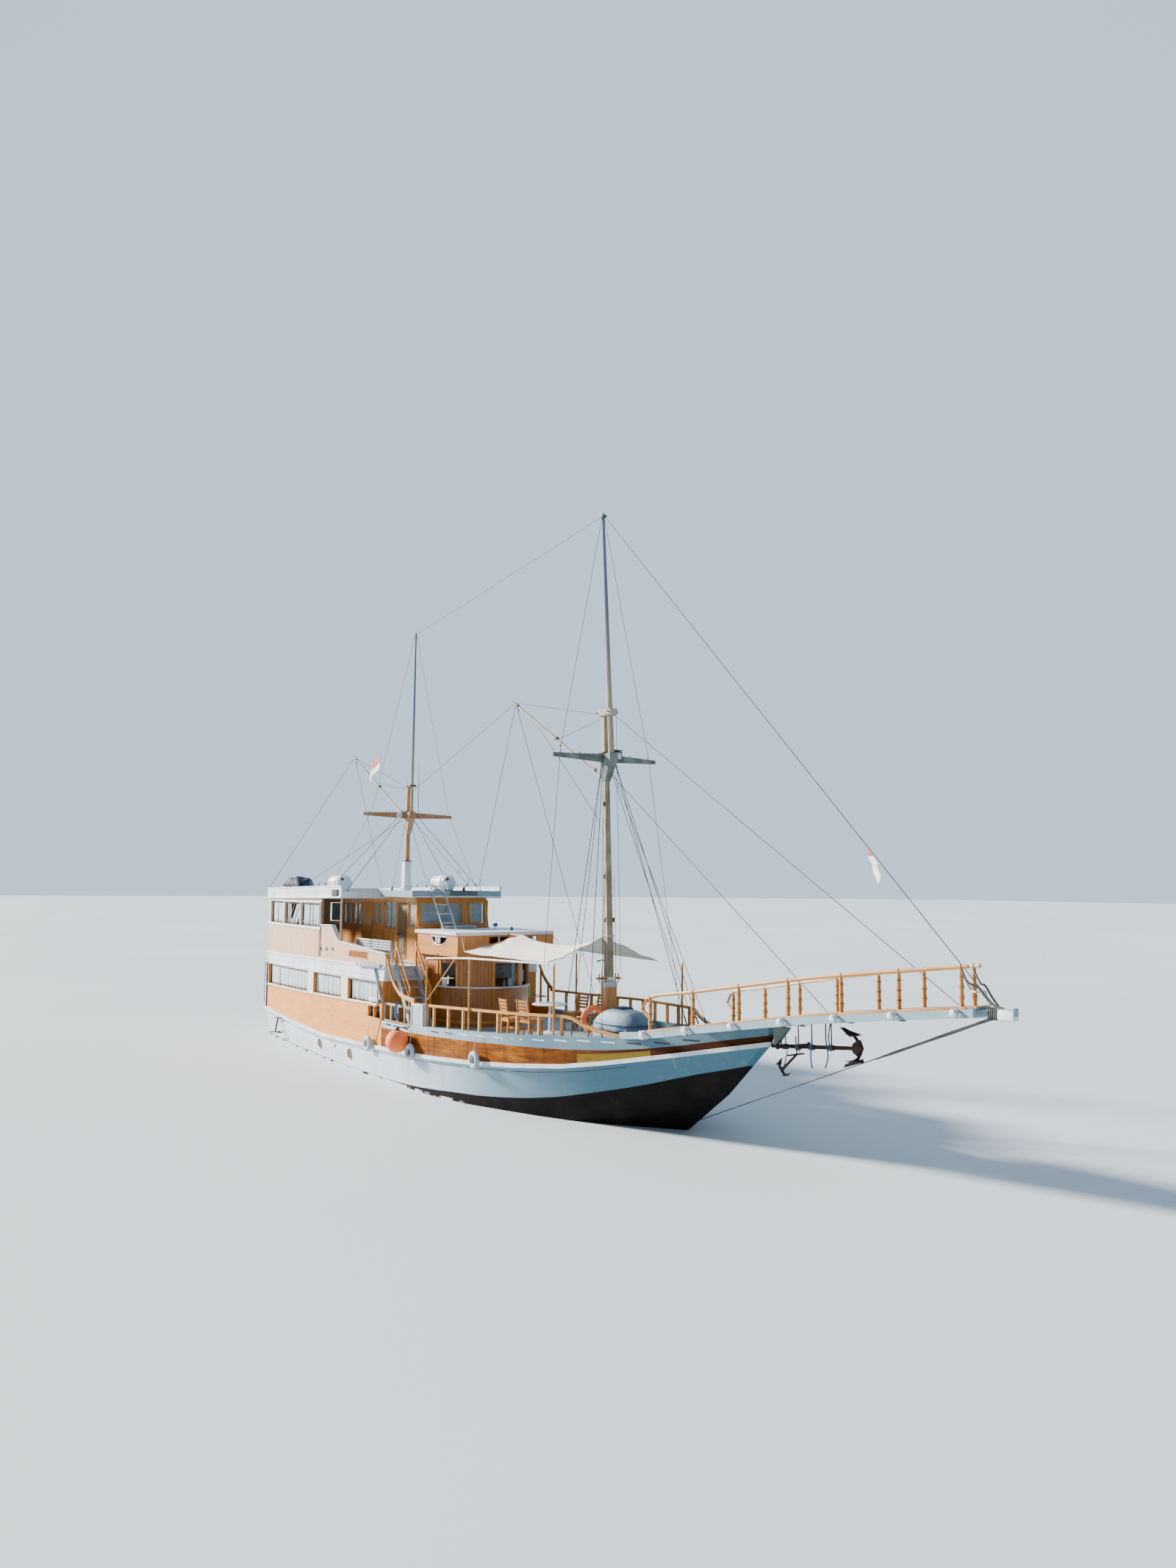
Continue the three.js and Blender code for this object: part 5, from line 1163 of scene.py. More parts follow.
BAND_JOINTS = (-7.6, -6.2, -4.9, -3.6, -2.1, -0.6, 0.1)
ROOF_ORNAMENTS = (-7.04, -6.84, -6.45, -5.87, -3.95, -3.43, -2.85)


def band_low(x):
    """Lower edge of the white band between the tiers."""
    return lerp(2.49, 2.6, (x - HOUSE_AFT) / 10.6)


def band_high(x):
    """Upper edge of the white band between the tiers."""
    return lerp(2.88, 2.99, (x - HOUSE_AFT) / 10.6)


def roof_low(x):
    """Lower edge of the main roof."""
    return lerp(4.64, 4.75, (x - HOUSE_AFT) / 7.5)


# Forward ends of the upper tier and of the last opening in the lower tier, by side
UPPER_END = {-1: 1.63, 1: 0.58}
LAST_OPENING_END = {-1: 1.13, 1: 0.43}


def trim_lower_tier(shape, side):
    """Band between the tiers, and the beads, sills and posts of the lower openings."""
    fore, last = UPPER_END[side], LAST_OPENING_END[side]
    for raise_by, tall, out in ((0.025, 0.05, 0.018), (0.16, 0.018, 0.01), (0.29, 0.018, 0.01)):
        strip(shape, HOUSE_AFT, fore, lambda x: band_low(x) + raise_by, tall, out, WHITE, side, 0.02)
    strip(shape, HOUSE_AFT, fore, lambda x: band_high(x) - 0.03, 0.06, 0.026, WHITE, side, 0.02)
    for x in BAND_JOINTS:
        upright(shape, x - 0.004, x + 0.004, band_low(x) + 0.05, band_high(x) - 0.06, 0.003,
                BLACK_PLASTIC,
                side, 0.02)
    strip(shape, -8.8, last + 0.07, lambda x: lower_head(x) + 0.035, 0.045, 0.016, WHITE, side)
    strip(shape, -8.8, last + 0.07, lambda x: lower_sill(x) - 0.035, 0.05, 0.034, WHITE, side)
    strip(shape, HOUSE_AFT, 1.45, lambda x: lower_sill(x) - 0.085, 0.03, 0.012, PEACH, side)
    for x0, x1 in ((-8.76, -8.7), (-4.26, -3.7), (-1.39, -0.83), (last + 0.01, last + 0.08)):
        low, high = lower_sill(x0) - 0.01, lower_head(x0) + 0.015
        upright(shape, x0 + 0.012, x1 - 0.012, low, high, 0.012, CREAM, side)
        for edge in (x0 - 0.008, x1 - 0.012):
            upright(shape, edge, edge + 0.02, low, high, 0.016, DARK_WOOD, side)
    for x in (-7.6, -6.5, -5.4, -2.95, -2.2, -0.1 if side < 0 else -0.2):
        y = half(x) - 0.05
        shape.beam((x, side * y, lower_sill(x)), (x, side * y, lower_head(x)), 0.02, 0.012, WHITE, FORE)


def trim_upper_tier(shape, side, name):
    """Beads, posts and stays of the upper openings, and the capping of the bulwark forward of them."""
    fore = UPPER_END[side]
    strip(shape, HOUSE_AFT, -3.19, lambda x: 3.82, 0.08, 0.03, WHITE, side)
    strip(shape, HOUSE_AFT, -3.19, lambda x: 4.6, 0.05, 0.014, WHITE, side)
    for x0, x1 in ((-8.79, -8.7), (-7.02, -6.94), (-5.22, -5.14)):
        upright(shape, x0, x1, 3.86, 4.6, 0.012, WHITE, side)
    upright(shape, -3.345, -3.175, 3.0, 4.62, 0.014, DARK_WOOD, side)
    for x, slant in ((-7.86, 0), (-6.47, 0), (-5.28, -0.54), (-5.86, -0.54), (-4.3, 0)):
        y = half(x) - 0.03
        shape.beam((x, side * y, 4.57), (x + slant, side * y, 3.87), 0.026, 0.022, DARK_WOOD, PORT)
    rings = []
    for x in (-3.165, -2.75, -2.23, -2.05, -1.86, -1.67, -0.8, 0.0, 0.8, fore + 0.015):
        y = half(x)
        z = deck_z(min(x, fore - 0.01), side * (y - 0.035), f"upper_side_{name}") + 0.0005
        rings.append([(x, side * (y + a), z + b) for a, b in (
            (-0.1, 0), (0.03, 0), (0.038, 0.01), (0.038, 0.026), (0.03, 0.036), (-0.1, 0.036),
            (-0.108, 0.026), (-0.108, 0.01))])
    shape.loft(rings, WHITE)


def trim_roof(shape, side):
    """Mouldings along the roof's edge, and the small turned ornaments on it."""
    strip(shape, HOUSE_AFT, -1.47, lambda x: roof_low(x) + 0.03, 0.05, 0.024, WHITE, side, 0.05)
    strip(shape, HOUSE_AFT, -1.47, lambda x: roof_low(x) + 0.35, 0.04, 0.018, WHITE, side, 0.05)
    strip(shape, -8.9, -1.5, lambda x: roof_low(x) + 0.2, 0.008, 0.004, ROOF_BLUE, side, 0.05)
    for x in ROOF_ORNAMENTS:
        y = half(x) + 0.02
        shape.turned((x, side * y, roof_low(x) + 0.368), UP, [(0, 0.03), (0.02, 0.026), (0.05, 0.012),
                     (0.08, 0.024), (0.1, 0.004)], BLACK_PLASTIC, 10)


def trim_bulwark(shape, side):
    """Three small round ports, each a black disc of painted shade with a rim, standing for a hole, and to
    starboard the slot with its bars.
    """
    for k, x in enumerate((-3.1, -2.61, -2.12)):
        y, z = half(x), 3.22 + 0.02 * k
        ring = circle(24)
        # Black disc: painted shade standing for the hole.
        shape.loft([[(x + c * 0.055, side * (y - 0.002), z + s * 0.062) for c, s in ring],
                    [(x + c * 0.055, side * (y + 0.003), z + s * 0.062) for c, s in ring]], BLACK_PLASTIC)
        shape.tube([(x + c * 0.058, side * (y + 0.004), z + s * 0.065) for c, s in ring], 0.008,
                   DARK_WOOD, 6,
                   True)
    if side < 0:
        for k in range(12):
            x = -0.745 + 0.104 * k
            shape.beam((x, -half(x) + 0.03, 3.135), (x, -half(x) + 0.03, 3.285), 0.04, 0.03, PEACH, FORE)
        framed(shape, [(-0.8, -half(-0.8), 3.13), (0.45, -half(0.45), 3.13), (0.45, -half(0.45), 3.29),
                       (-0.8, -half(-0.8), 3.29)], STARBOARD, 0.03, 0.014, PEACH)


def make_side_trims():
    """White beads, sills, posts and rails along the two tiers of the house."""
    for side, name in SIDES:
        shape = Shape(20 + side)
        trim_lower_tier(shape, side)
        trim_upper_tier(shape, side, name)
        trim_roof(shape, side)
        trim_bulwark(shape, side)
        shape.make(f"side_trims_{name}")


def make_stern_trims():
    """Window frames, curtains and beads on the two stern walls."""
    shape = Shape(24)
    x = hit("lower_stern", (-20, 1.7, 1.7), FORE).x
    for low, high, tier in ((1.8, 2.4, "lower"), (3.86, 4.5, "upper")):
        for y0, y1, name in ((-1.65, -0.18, "stbd"), (0.18, 1.65, "port")):
            framed(shape, [(x, y0, low), (x, y1, low), (x, y1, high), (x, y0, high)], AFT, 0.07, 0.02, WHITE)
            for y in (lerp(y0, y1, 1 / 3), lerp(y0, y1, 2 / 3)):
                shape.beam((x + 0.03, y, low), (x + 0.03, y, high), 0.03, 0.03, WHITE, FORE)
            hanging(f"stern_curtain_{tier}_{name}", (x + 0.08, y0 + 0.03, high - 0.01),
                    (x + 0.08, y1 - 0.03, high - 0.01), high - low - 0.02, FORE, CURTAIN,
                    7, seed=31)
    edge = hit("upper_deck", (-20, 0, 2.7), FORE).x
    wide = half(-8.94) + 0.02
    for z, tall, out in ((2.515, 0.05, 0.018), (2.65, 0.018, 0.01), (2.78, 0.018, 0.01), (2.85, 0.06, 0.026)):
        shape.beam((edge - out / 2, -wide, z), (edge - out / 2, wide, z), out, tall, WHITE, chamfer=0.004)
    edge = hit("main_roof", (-20, 0, 4.8), FORE).x
    for z in (4.67, 4.99):
        shape.beam((edge - 0.01, -wide - 0.03, z), (edge - 0.01, wide + 0.03, z), 0.022, 0.045, WHITE,
                   chamfer=0.004)
    for y in (-1.9, -0.06, 1.9):
        shape.box(x - 0.02, x - 0.001, y - 0.04, y + 0.04, 1.1, 2.46, PEACH)
    shape.make("stern_trims")


SIDE_WINDOWS = [(-4.8, -4.15, 3.9, 4.56), (-4.05, -3.4, 3.9, 4.56), (-2.52, -1.93, 3.98, 4.6),
                (-1.76, -0.98, 3.9, 4.64), (-0.2, 0.16, 3.96, 4.62)]
FRONT_WINDOWS = [(-1.03, 0.28), (0.56, 1.04)]
HOUSE_Y = 1.15


def front_x(z):
    """Raked face of the wheelhouse."""
    return 0.63 - 0.195 * (z - 2.9)


def make_house_trims():
    """Frames, panes and curtains of the upper house, and its corner boards."""
    shape, glass = Shape(26), Shape(27)
    for side, name in SIDES:
        for number, (x0, x1, z0, z1) in enumerate(SIDE_WINDOWS):
            corners = [(x0, side * HOUSE_Y, z0), (x1, side * HOUSE_Y, z0), (x1, side * HOUSE_Y, z1),
                       (x0, side * HOUSE_Y, z1)]
            framed(shape, corners, (0, side, 0), 0.05, 0.018, HONEY)
            pane(glass, [(x, side * 1.118, z) for x, _, z in corners], PORT)
            middle = (x0 + x1) / 2
            if x1 - x0 > 0.5:
                shape.beam((middle, side * 1.13, z0), (middle, side * 1.13, z1), 0.035, 0.03, HONEY, PORT)
            drape = BLUE_CURTAIN if number == 4 else CURTAIN
            spans = ((x0 + 0.02, x0 + 0.17), (x1 - 0.17, x1 - 0.02)) if number == 2 else ((x0 + 0.02,
                                                                                           x1 - 0.02),)
            for part, (a, b) in enumerate(spans):
                hanging(f"house_curtain_{number + 1}_{part + 1}_{name}", (a, side * 1.08, z1 + 0.01),
                        (b, side * 1.08, z1 + 0.01), z1 - z0, (0, -side, 0), drape,
                        max(3, round((b - a) * 8)), seed=40 + number)
        for x0, x1 in ((-5.0, -4.9), (-3.3, -2.62), (-1.9, -1.8), (-0.98, -0.9), (0.24, 0.33)):
            top = 4.63 if x0 < 0.2 else 4.72
            shape.box(x0, x1, side * (HOUSE_Y + 0.008) - 0.01, side * (HOUSE_Y + 0.008) + 0.01, 3.02, top,
                      HONEY_Z)
        shape.beam((-4.98, side * 1.162, 3.8), (-0.92, side * 1.162, 3.8), 0.02, 0.045, HONEY_ALONG)
        shape.beam((-4.98, side * 1.162, 3.04), (-0.92, side * 1.162, 3.04), 0.02, 0.08, HONEY_ALONG)
    for y0, y1 in FRONT_WINDOWS:
        corners = [(front_x(z), y, z) for y, z in ((y0, 4.07), (y1, 4.07), (y1, 4.62), (y0, 4.62))]
        framed(shape, corners, (1, 0, 0.195), 0.05, 0.02, HONEY)
        pane(glass, [(x - 0.03, y, z) for x, y, z in corners], (1, 0, 0.195))
    shape.beam((front_x(3.98) + 0.014, -1.12, 3.98), (front_x(3.98) + 0.014, 1.12, 3.98), 0.03, 0.06, HONEY)
    back = front_x(4.3) - 0.11
    hanging("helm_curtain_stbd", (back, -1.0, 4.36), (back, 0.26, 4.36), 0.29, AFT, BLUE_CURTAIN,
            9, seed=51)
    hanging("helm_curtain_port", (back, 0.7, 4.61), (back, 1.02, 4.61), 0.53, AFT, BLUE_CURTAIN,
            4, seed=52)
    hanging("helm_curtain_middle", (back, 0.58, 4.61), (back, 0.68, 4.61), 0.53, AFT, CURTAIN,
            2, seed=53)
    rear = -5.0
    for y0, y1, z0, z1 in ((-0.42, 0.42, 3.0, 4.56), (0.56, 0.96, 3.9, 4.5)):
        corners = [(rear, y0, z0), (rear, y1, z0), (rear, y1, z1), (rear, y0, z1)]
        framed(shape, corners, AFT, 0.06, 0.02, HONEY)
    glass.make("house_glass")
    shape.make("house_trims", slot="honey_wood")


def make_door_details():
    """Panels and knob of the house door."""
    face = hit("house_door", (-0.6, -5, 3.8), PORT).y
    shape = Shape(28)
    for z0, z1 in ((3.16, 3.62), (3.76, 4.5)):
        shape.box(-0.78, -0.4, face - 0.01, face + 0.002, z0, z1, DOOR_WOOD, 0.01)
        shape.box(-0.74, -0.44, face - 0.016, face - 0.006, z0 + 0.05, z1 - 0.05, DOOR_WOOD, 0.008)
    shape.turned((-0.82, face, 3.72), STARBOARD, [(0, 0.022), (0.006, 0.022), (0.01, 0.01), (0.03, 0.01),
                 (0.036, 0.022), (0.05, 0.022), (0.056, 0.01)], BRONZE, 14)
    shape.make("door_details", body="door")


def make_helm():
    """Console, wheel and bench that are seen through the wheelhouse glass."""
    shape = Shape(29)
    shape.box(0.02, 0.3, -0.75, 0.75, 2.995, 3.95, HONEY_Y, 0.02)
    shape.beam((0.02, 0, 3.96), (0.3, 0, 3.99), 1.55, 0.03, DARK_WOOD)
    for y in (-0.5, 0.45):
        shape.box(0.1, 0.24, y - 0.12, y + 0.12, 3.99, 4.16, BLACK_PLASTIC)
        shape.box(0.092, 0.101, y - 0.1, y + 0.1, 4.01, 4.14, SCREEN)
    hub, axis = Vector((-0.08, 0, 3.75)), Vector((-1, 0, 0.2)).normalized()
    shape.turned(hub - axis * 0.1, axis, [(0, 0.03), (0.1, 0.03), (0.12, 0.05), (0.15, 0.05), (0.16, 0.02)],
                 BRONZE)
    shape.hoop(hub, axis, 0.3, 0.018, DARK_WOOD, 40, 8)
    side = axis.orthogonal().normalized()
    for k in range(8):
        out = Matrix.Rotation(pi / 4 * k, 3, axis) @ side
        shape.rod(hub + out * 0.02, hub + out * 0.4, 0.014, DARK_WOOD, 0.01, 8)
    shape.box(-1.9, -1.4, -0.9, 0.9, 2.995, 3.4, HONEY)
    shape.box(-4.6, -2.7, -1.05, 1.05, 2.995, 3.35, HONEY)
    shape.box(-4.58, -2.72, -1.03, 1.03, 3.351, 3.5, CURTAIN, 0.05)
    for y in (-0.5, 0.5):
        shape.box(-4.5, -4.15, y - 0.3, y + 0.3, 3.5, 3.6, CURTAIN, 0.045)
    shape.make("helm_console")


# Awning: starboard edge, ridge and port edge in each row, from aft
AWNING_ROWS = [
    ((3.75, -1.53, 3.45), (4.05, 0, 3.87), (3.75, 1.53, 3.45)),
    ((4.5, -1.69, 3.435), (4.65, 0, 3.745), (4.4, 1.63, 3.425)),
    ((5.5, -1.85, 3.45), (5.5, 0, 3.69), (5.2, 1.74, 3.395)),
    ((6.7, -1.93, 3.45), (6.5, 0, 3.71), (6.2, 1.85, 3.36)),
    ((7.6, -1.96, 3.45), (7.25, 0, 3.83), (6.8, 1.91, 3.335)),
    ((8.34, -2.0, 3.456), (7.73, 0, 3.975), (7.3, 1.95, 3.32)),
]


def make_awning():
    """One cut of canvas over a ridge line, creased from its corners; its rows are returned for the rope of
    its hem.
    """
    curves = [catmull([row[i] for row in AWNING_ROWS], 7) for i in range(3)]
    rows = []
    for k, (edge, ridge, port) in enumerate(zip(*curves)):
        s = k / (len(curves[0]) - 1)
        row = []
        for i in range(33):
            t = i / 16
            a, b, t = (edge, ridge, t) if t <= 1 else (ridge, port, t - 1)
            fall = 4 * t * (1 - t)
            crease = 0.011 * sin(15 * s + 8 * t + i * 0.1) + 0.009 * sin(33 * s - 14 * t)
            crease += 0.012 * sin(26 * t + 5 * s) * max(0, 2 * abs(s - 0.5) - 0.3)
            row.append(a.lerp(b, t) + Vector((0, 0, 0.007 - 0.035 * fall + crease * (0.25 + fall))))
        rows.append(row)
    sheet("awning_sheet", rows, CANVAS, 0.003,
          replaces=("awning",))
    return rows


def make_awning_ropes(rows):
    """Rope in the hem, eyelets along both ends, ties at the corners and the spreader poles aft."""
    shape = Shape(60)
    border = rows[0] + [row[-1] for row in rows[1:]] + rows[-1][::-1][1:] + [row[0] for row in rows[-2:0:-1]]
    shape.tube(border, 0.011, ROPE_WHITE, 6, True)
    for row in (rows[0], rows[-1]):
        for k in range(2, len(row) - 2, 3):
            shape.hoop(row[k] + Vector((0.03 if row is rows[0] else -0.03, 0, 0.004)), UP, 0.016, 0.005,
                       BRONZE, 12, 6)
    shape.cord([(8.34, -2.02, 3.46), (8.42, -2.06, 3.45), (8.54, -2.12, 3.47)], 4, 0.008)
    port_y = half(8.15) - 0.027
    shape.cord([(7.3, 1.95, 3.325), (7.75, 1.99, 3.31), (8.13, port_y, 3.28)], 5, 0.007)
    shape.tube([(7.73, 0, 3.98), (7.8, 0, 4.02)], 0.012, ROPE_WHITE, 8)
    for z in (3.98, 4.004, 4.028):
        shape.tube([(mast_x(z) + 0.098 * a, 0.098 * b, z) for a, b in SQUARE], 0.011, ROPE_WHITE, 6, True)
    for side in SIGNS:
        shape.cord([(3.75, side * 1.53, 3.46), (3.6, side * 1.48, 3.6), (3.42, side * 1.42, 3.8)], 4, 0.008)
    for side in SIGNS:
        shape.rod((3.76, side * 1.5, 3.43), (4.04, side * 0.06, 3.82), 0.02, PEACH, sides=8)
    shape.rod((4.04, 0, 3.85), (3.34, 0, 3.86), 0.018, PEACH, sides=8)
    shape.make("awning_ropes")


def make_awning_fittings():
    """Brace, caps and bindings of the awning's poles, and the lamp under it."""
    shape = Shape(61)
    shape.rod((5.2, -half(5.2) + 0.03, 3.38), (3.75, -(half(3.4) - 0.1) + 0.03, 2.24), 0.014, HONEY, sides=8)
    for side, poles in ((-1, ((3.93, 3.33), (5.83, 3.43), (8.54, 3.43))), (1, ((2.7, 3.24), (8.15, 3.3)))):
        for x, top in poles:
            y = side * (half(x) - 0.027)
            shape.turned((x, y, top - 0.03), UP, [(0, 0.026), (0.03, 0.032), (0.05, 0.03), (0.06, 0.012)],
                         WHITE_PLASTIC, 12)
            for z in (2.0, 2.6, 3.1):
                shape.hoop((x, y, z), UP, 0.026, 0.006, ROPE_WHITE, 14, 6)
    lamp = Vector((6.3, 1.0, 3.44))
    hub = lamp - lift(0.12)
    shape.rod(lamp, hub, 0.006, BLACK_PLASTIC, sides=6)
    for turn in range(3):
        way = Vector((cos(turn * 2.1), sin(turn * 2.1), -0.35)).normalized()
        shape.rod(hub, hub + way * 0.14, 0.01, BLACK_PLASTIC, 0.02, 8)
    shape.make("awning_frame_fittings")


def oblong(centre, a, b, z, count=40):
    """Ring between an ellipse and an oblong about a centre."""
    power = 2 / 2.3
    return [(centre[0] + a * copysign(abs(c) ** power, c),
             centre[1] + b * copysign(abs(s) ** power, s), z) for c, s in circle(count)]


def cover_look():
    """Faded cloth of the dinghy cover, painted lighter towards its top as a painted highlight and darker
    slate over its forward end as painted shade.
    """
    look = Look("tender_cover_fade_and_shade", Sheen_Weight=0.15)
    fade = look.noise(look.place, 2.6, 4.0)
    crease = look.streaks(7.0, 7.0, 2.0, 4.0)
    # Painted highlight: lighter towards the top.
    tone = look.mix(look.map(look.z, 2.05, 2.32), "5f86a6", "a9bccb")
    # Painted shade: darker slate over the forward end.
    tone = look.mix(look.map(look.x, 9.42, 9.5, 0.0, 0.85), tone, "3f5a72")
    tone = look.mix(look.map(fade, 0.4, 0.7, 0.0, 0.5), tone, "7d97ad")
    look.bump(look.add(look.mul(crease, 1.0), look.mul(fade, 0.4)), 0.012, 0.6)
    return look.done(tone, look.map(fade, 0.3, 0.7, 0.75, 0.9))


def make_tender():
    """Dinghy stowed upside down, with a rubbing strake and a cloth cover over its bottom."""
    centre = (9.0, -0.35)
    shape = Shape(62)
    foot = deck_z(9.0, -0.35) + 0.002
    rows = [(foot, 0.8, 0.5), (foot + 0.03, 0.83, 0.53), (1.76, 0.85, 0.55), (1.9, 0.84, 0.545),
            (1.99, 0.81, 0.53)]
    shape.loft([oblong(centre, a, b, z) for z, a, b in rows], COVER)
    rows = [(1.9, 0.84), (1.91, 0.872), (1.95, 0.875), (1.965, 0.84)]
    shape.loft([oblong(centre, a, a - 0.295, z) for z, a in rows], BLACK_PLASTIC)
    for turn in (-1.35, -0.95, -0.6):
        c, s = cos(turn), sin(turn)
        at = Vector((centre[0] + 0.87 * c, centre[1] + 0.57 * s, 1.78))
        shape.box(at.x - 0.07, at.x + 0.07, at.y - 0.03, at.y + 0.03, 1.74, 1.82, RUBBER, 0.02)
    outer, inner = [[oblong(centre, a - inset, 0.562 - inset, z, 80) for z,
                     a in ((1.66, 0.862), (1.88, 0.86))]
                    for inset in (0.0, 0.03)]
    shape.loft([[outer[0][i], outer[1][i], inner[1][i], inner[0][i]] for i in range(61, 73)], TARP)
    shape.box(8.8, 9.16, -0.5, -0.2, 2.38, 2.45, TARP, 0.02)
    shape.make("tender_boat", replaces=("tender",))
    rows = []
    count = 64
    for k in range(13):
        t = k / 12
        reach = sin(t * pi / 2) ** 0.9
        row = []
        for i in range(count + 1):
            turn = 2 * pi * (i % count) / count
            c, s = cos(turn), sin(turn)
            hem = 0.03 * sin(turn * 7) * t ** 3
            crease = (0.006 * sin(turn * 11 + 3 * t) + 0.005 * sin(turn * 17 - 5 * t)) * t
            a, b = 0.845 * reach + crease, 0.555 * reach + crease
            z = 2.0 + 0.415 * max(0.0, 1 - reach ** 2.6) ** 0.62 + hem * 0.6 - 0.03 * t ** 6
            row.append((centre[0] + a * copysign(abs(c) ** 0.87, c),
                        centre[1] + b * copysign(abs(s) ** 0.87, s), z))
        rows.append(row)
    sheet("tender_cover", rows, cover_look(), 0.004)
    lashing = Shape(63)
    lashing.tube(oblong(centre, 0.828, 0.552, 2.1, 48), 0.011, TARP, 6, True)
    lashing.tube(oblong(centre, 0.868, 0.568, 1.84, 48), 0.01, ROPE_WHITE, 6, True)
    for a, b in (((9.62, -0.78, 2.02), (9.98, -1.1, 1.95)), ((8.35, -0.75, 2.0), (8.2, -1.3, 1.62)),
                 ((9.6, 0.1, 2.0), (9.95, 0.55, 1.66))):
        lashing.tube([a, b], 0.009, ROPE_WHITE, 6)
    lashing.make("tender_lashings")


def tarp_look():
    """Navy tarpaulin, faded to blue grey at one end, with pale creases."""
    look = Look("folded_tarpaulin", Specular_IOR_Level=0.2)
    fade = look.noise(look.place, 2.4, 4.0, 0.6)
    share = look.map(look.add(look.x, look.mul(fade, 1.4)), -6.45, -6.3)
    tone = look.mix(share, "121f3c", "5f7389")
    creases = look.streaks(2.0, 7.0, 5.0, 5.0, 0.6, 1.5)
    pale = look.map(look.math("ABSOLUTE", look.sub(creases, 0.5)), 0.004, 0.012, 1.0, 0.0)
    tone = look.mix(look.mul(pale, 0.7), tone, "5c7088")
    look.bump(look.add(look.mul(creases, 1.0), look.mul(fade, 0.4)), 0.02, 0.6)
    return look.done(tone, look.map(fade, 0.3, 0.7, 0.55, 0.75))


def make_tarp():
    """Tarpaulin thrown over gear on the after roof and lashed down."""
    centre = Vector((-7.78, -1.48))
    foot = deck_z(-7.0, -1.48, "main_roof") + 0.012

    def place(u, v):
        reach = min(1.0, (abs(u) ** 4 + abs(v) ** 4) ** (1 / 4))
        rise = 0.5 * max(0.0, 1 - reach ** 4.5) ** 0.5
        rise *= 0.92 + 0.07 * sin(3.1 * u + 1.0) + 0.05 * sin(9 * u + 4 * v)
        rise += 0.012 * sin(17 * u + 6 * v) * (1 - reach)
        swell = 1 + 0.04 * sin(7 * u - 3 * v)
        return Vector((centre.x + 0.85 * u, centre.y + 0.355 * v * swell, foot + rise))

    rows = [[place(lerp(-1, 1, k / 34), lerp(-1, 1, i / 22)) for i in range(23)] for k in range(35)]
    sheet("tarp_cover", rows, tarp_look(), 0.003, replaces=("tarp_bundle",))
    shape = Shape(64)
    for u in (-0.45, 0.4):
        shape.tube([place(u + 0.05 * sin(3 * v), v) + lift(0.014)
                    for v in (lerp(-1, 1, i / 22) for i in range(23))], 0.008, TARP_GREY, 6)
    shape.make("tarp_lashings")


def node_box(name):
    """Extent of a solid of the frame along each axis."""
    corners = node_points(name)
    return [(min(c[i] for c in corners), max(c[i] for c in corners)) for i in range(3)]


def make_drum(node, radius):
    """Ribbed water drum with an end cap, strapped down on wooden cradles."""
    (x0, x1), (y0, y1), (z0, z1) = node_box(node)
    y, z = (y0 + y1) / 2, z1 - radius
    shape = Shape(65)
    long = x1 - x0
    rows = [(0.0, 0.0), (0.004, radius * 0.86), (0.02, radius * 0.93), (0.05, radius * 0.98)]
    for k in range(1, 8):
        at = long * k / 8
        rows += [(at - 0.022, radius * 0.985), (at - 0.012, radius), (at + 0.012, radius),
                 (at + 0.022, radius * 0.985)]
    rows += [(long - 0.05, radius * 0.98), (long - 0.02, radius * 0.93), (long - 0.004, radius * 0.86),
             (long, 0.0)]
    shape.turned((x0, y, z), FORE, rows, TANK, 40)
    shape.turned((x1 - 0.012, y, z), FORE, [(0, radius * 0.7), (0.016, radius * 0.72), (0.018, 0.0)],
                 TANK_BLUE, 32)
    shape.turned((x1 - 0.002, y - 0.4 * radius, z + 0.45 * radius), FORE,
                 [(0, 0.045), (0.03, 0.045), (0.034, 0.0)],
                 BLACK_PLASTIC, 16)
    for share in (0.22, 0.78):
        at = x0 + long * share
        shape.tube([(at, y + cos(a) * (radius + 0.004), z + sin(a) * (radius + 0.004))
                    for a in (radians(-50 + 280 * i / 26) for i in range(27))], 0.007, STRAP, 6)
        half_width = radius * 0.8
        shape.box(at - 0.045, at + 0.045, y - half_width, y + half_width, z0, z - radius * 0.86, GREY)
        for side in SIGNS:
            outside, foot = y + side * half_width, z0 + 0.01
            low = [(outside, foot), (y + side * radius * 0.5, foot)]
            high = [(outside, z - radius * 0.66), (y + side * radius * 0.62, z - radius * 0.8)]
            shape.prism(*[[(at - 0.04, *a), (at + 0.04, *a), (at + 0.04, *b), (at - 0.04, *b)]
                          for a, b in (low, high)], GREY)
    shape.make(node + "_drum", replaces=(node,))


def make_ball_fender():
    """Orange mooring ball that hangs from the side by a blue rope."""
    radius, x, z = 0.29, 3.03, 1.21
    y = -(half(x) + radius + 0.003)
    shape = Shape(66)
    rows = []
    for i in range(25):
        turn = pi * i / 24
        rows.append((z - radius * cos(turn), radius * sin(turn) * (1 + 0.015 * cos(turn))))
    shape.turned((x, y, 0), UP, rows, ORANGE, 36)
    shape.hoop((x, y, z - 0.02), UP, radius - 0.001, 0.004, ORANGE, 48, 6)
    shape.turned((x, y, z + 0.235), UP, [(0, 0.13), (0.03, 0.105), (0.055, 0.06), (0.09, 0.042), (0.1, 0.03)],
                 BLACK_PLASTIC, 24)
    shape.hoop((x, y, z + 0.33), PORT, 0.022, 0.008, BLACK_PLASTIC, 16, 6)
    top = -half(x) + 0.02
    shape.tube(catmull([(x, y, z + 0.335), (x - 0.005, y + 0.06, z + 0.34), (x - 0.01, y + 0.2, z + 0.342),
                        (x - 0.01, top - 0.03, z + 0.335)], 5), 0.011, ROPE_BLUE, 8)
    shape.make("mooring_ball", replaces=("ball_fender",))


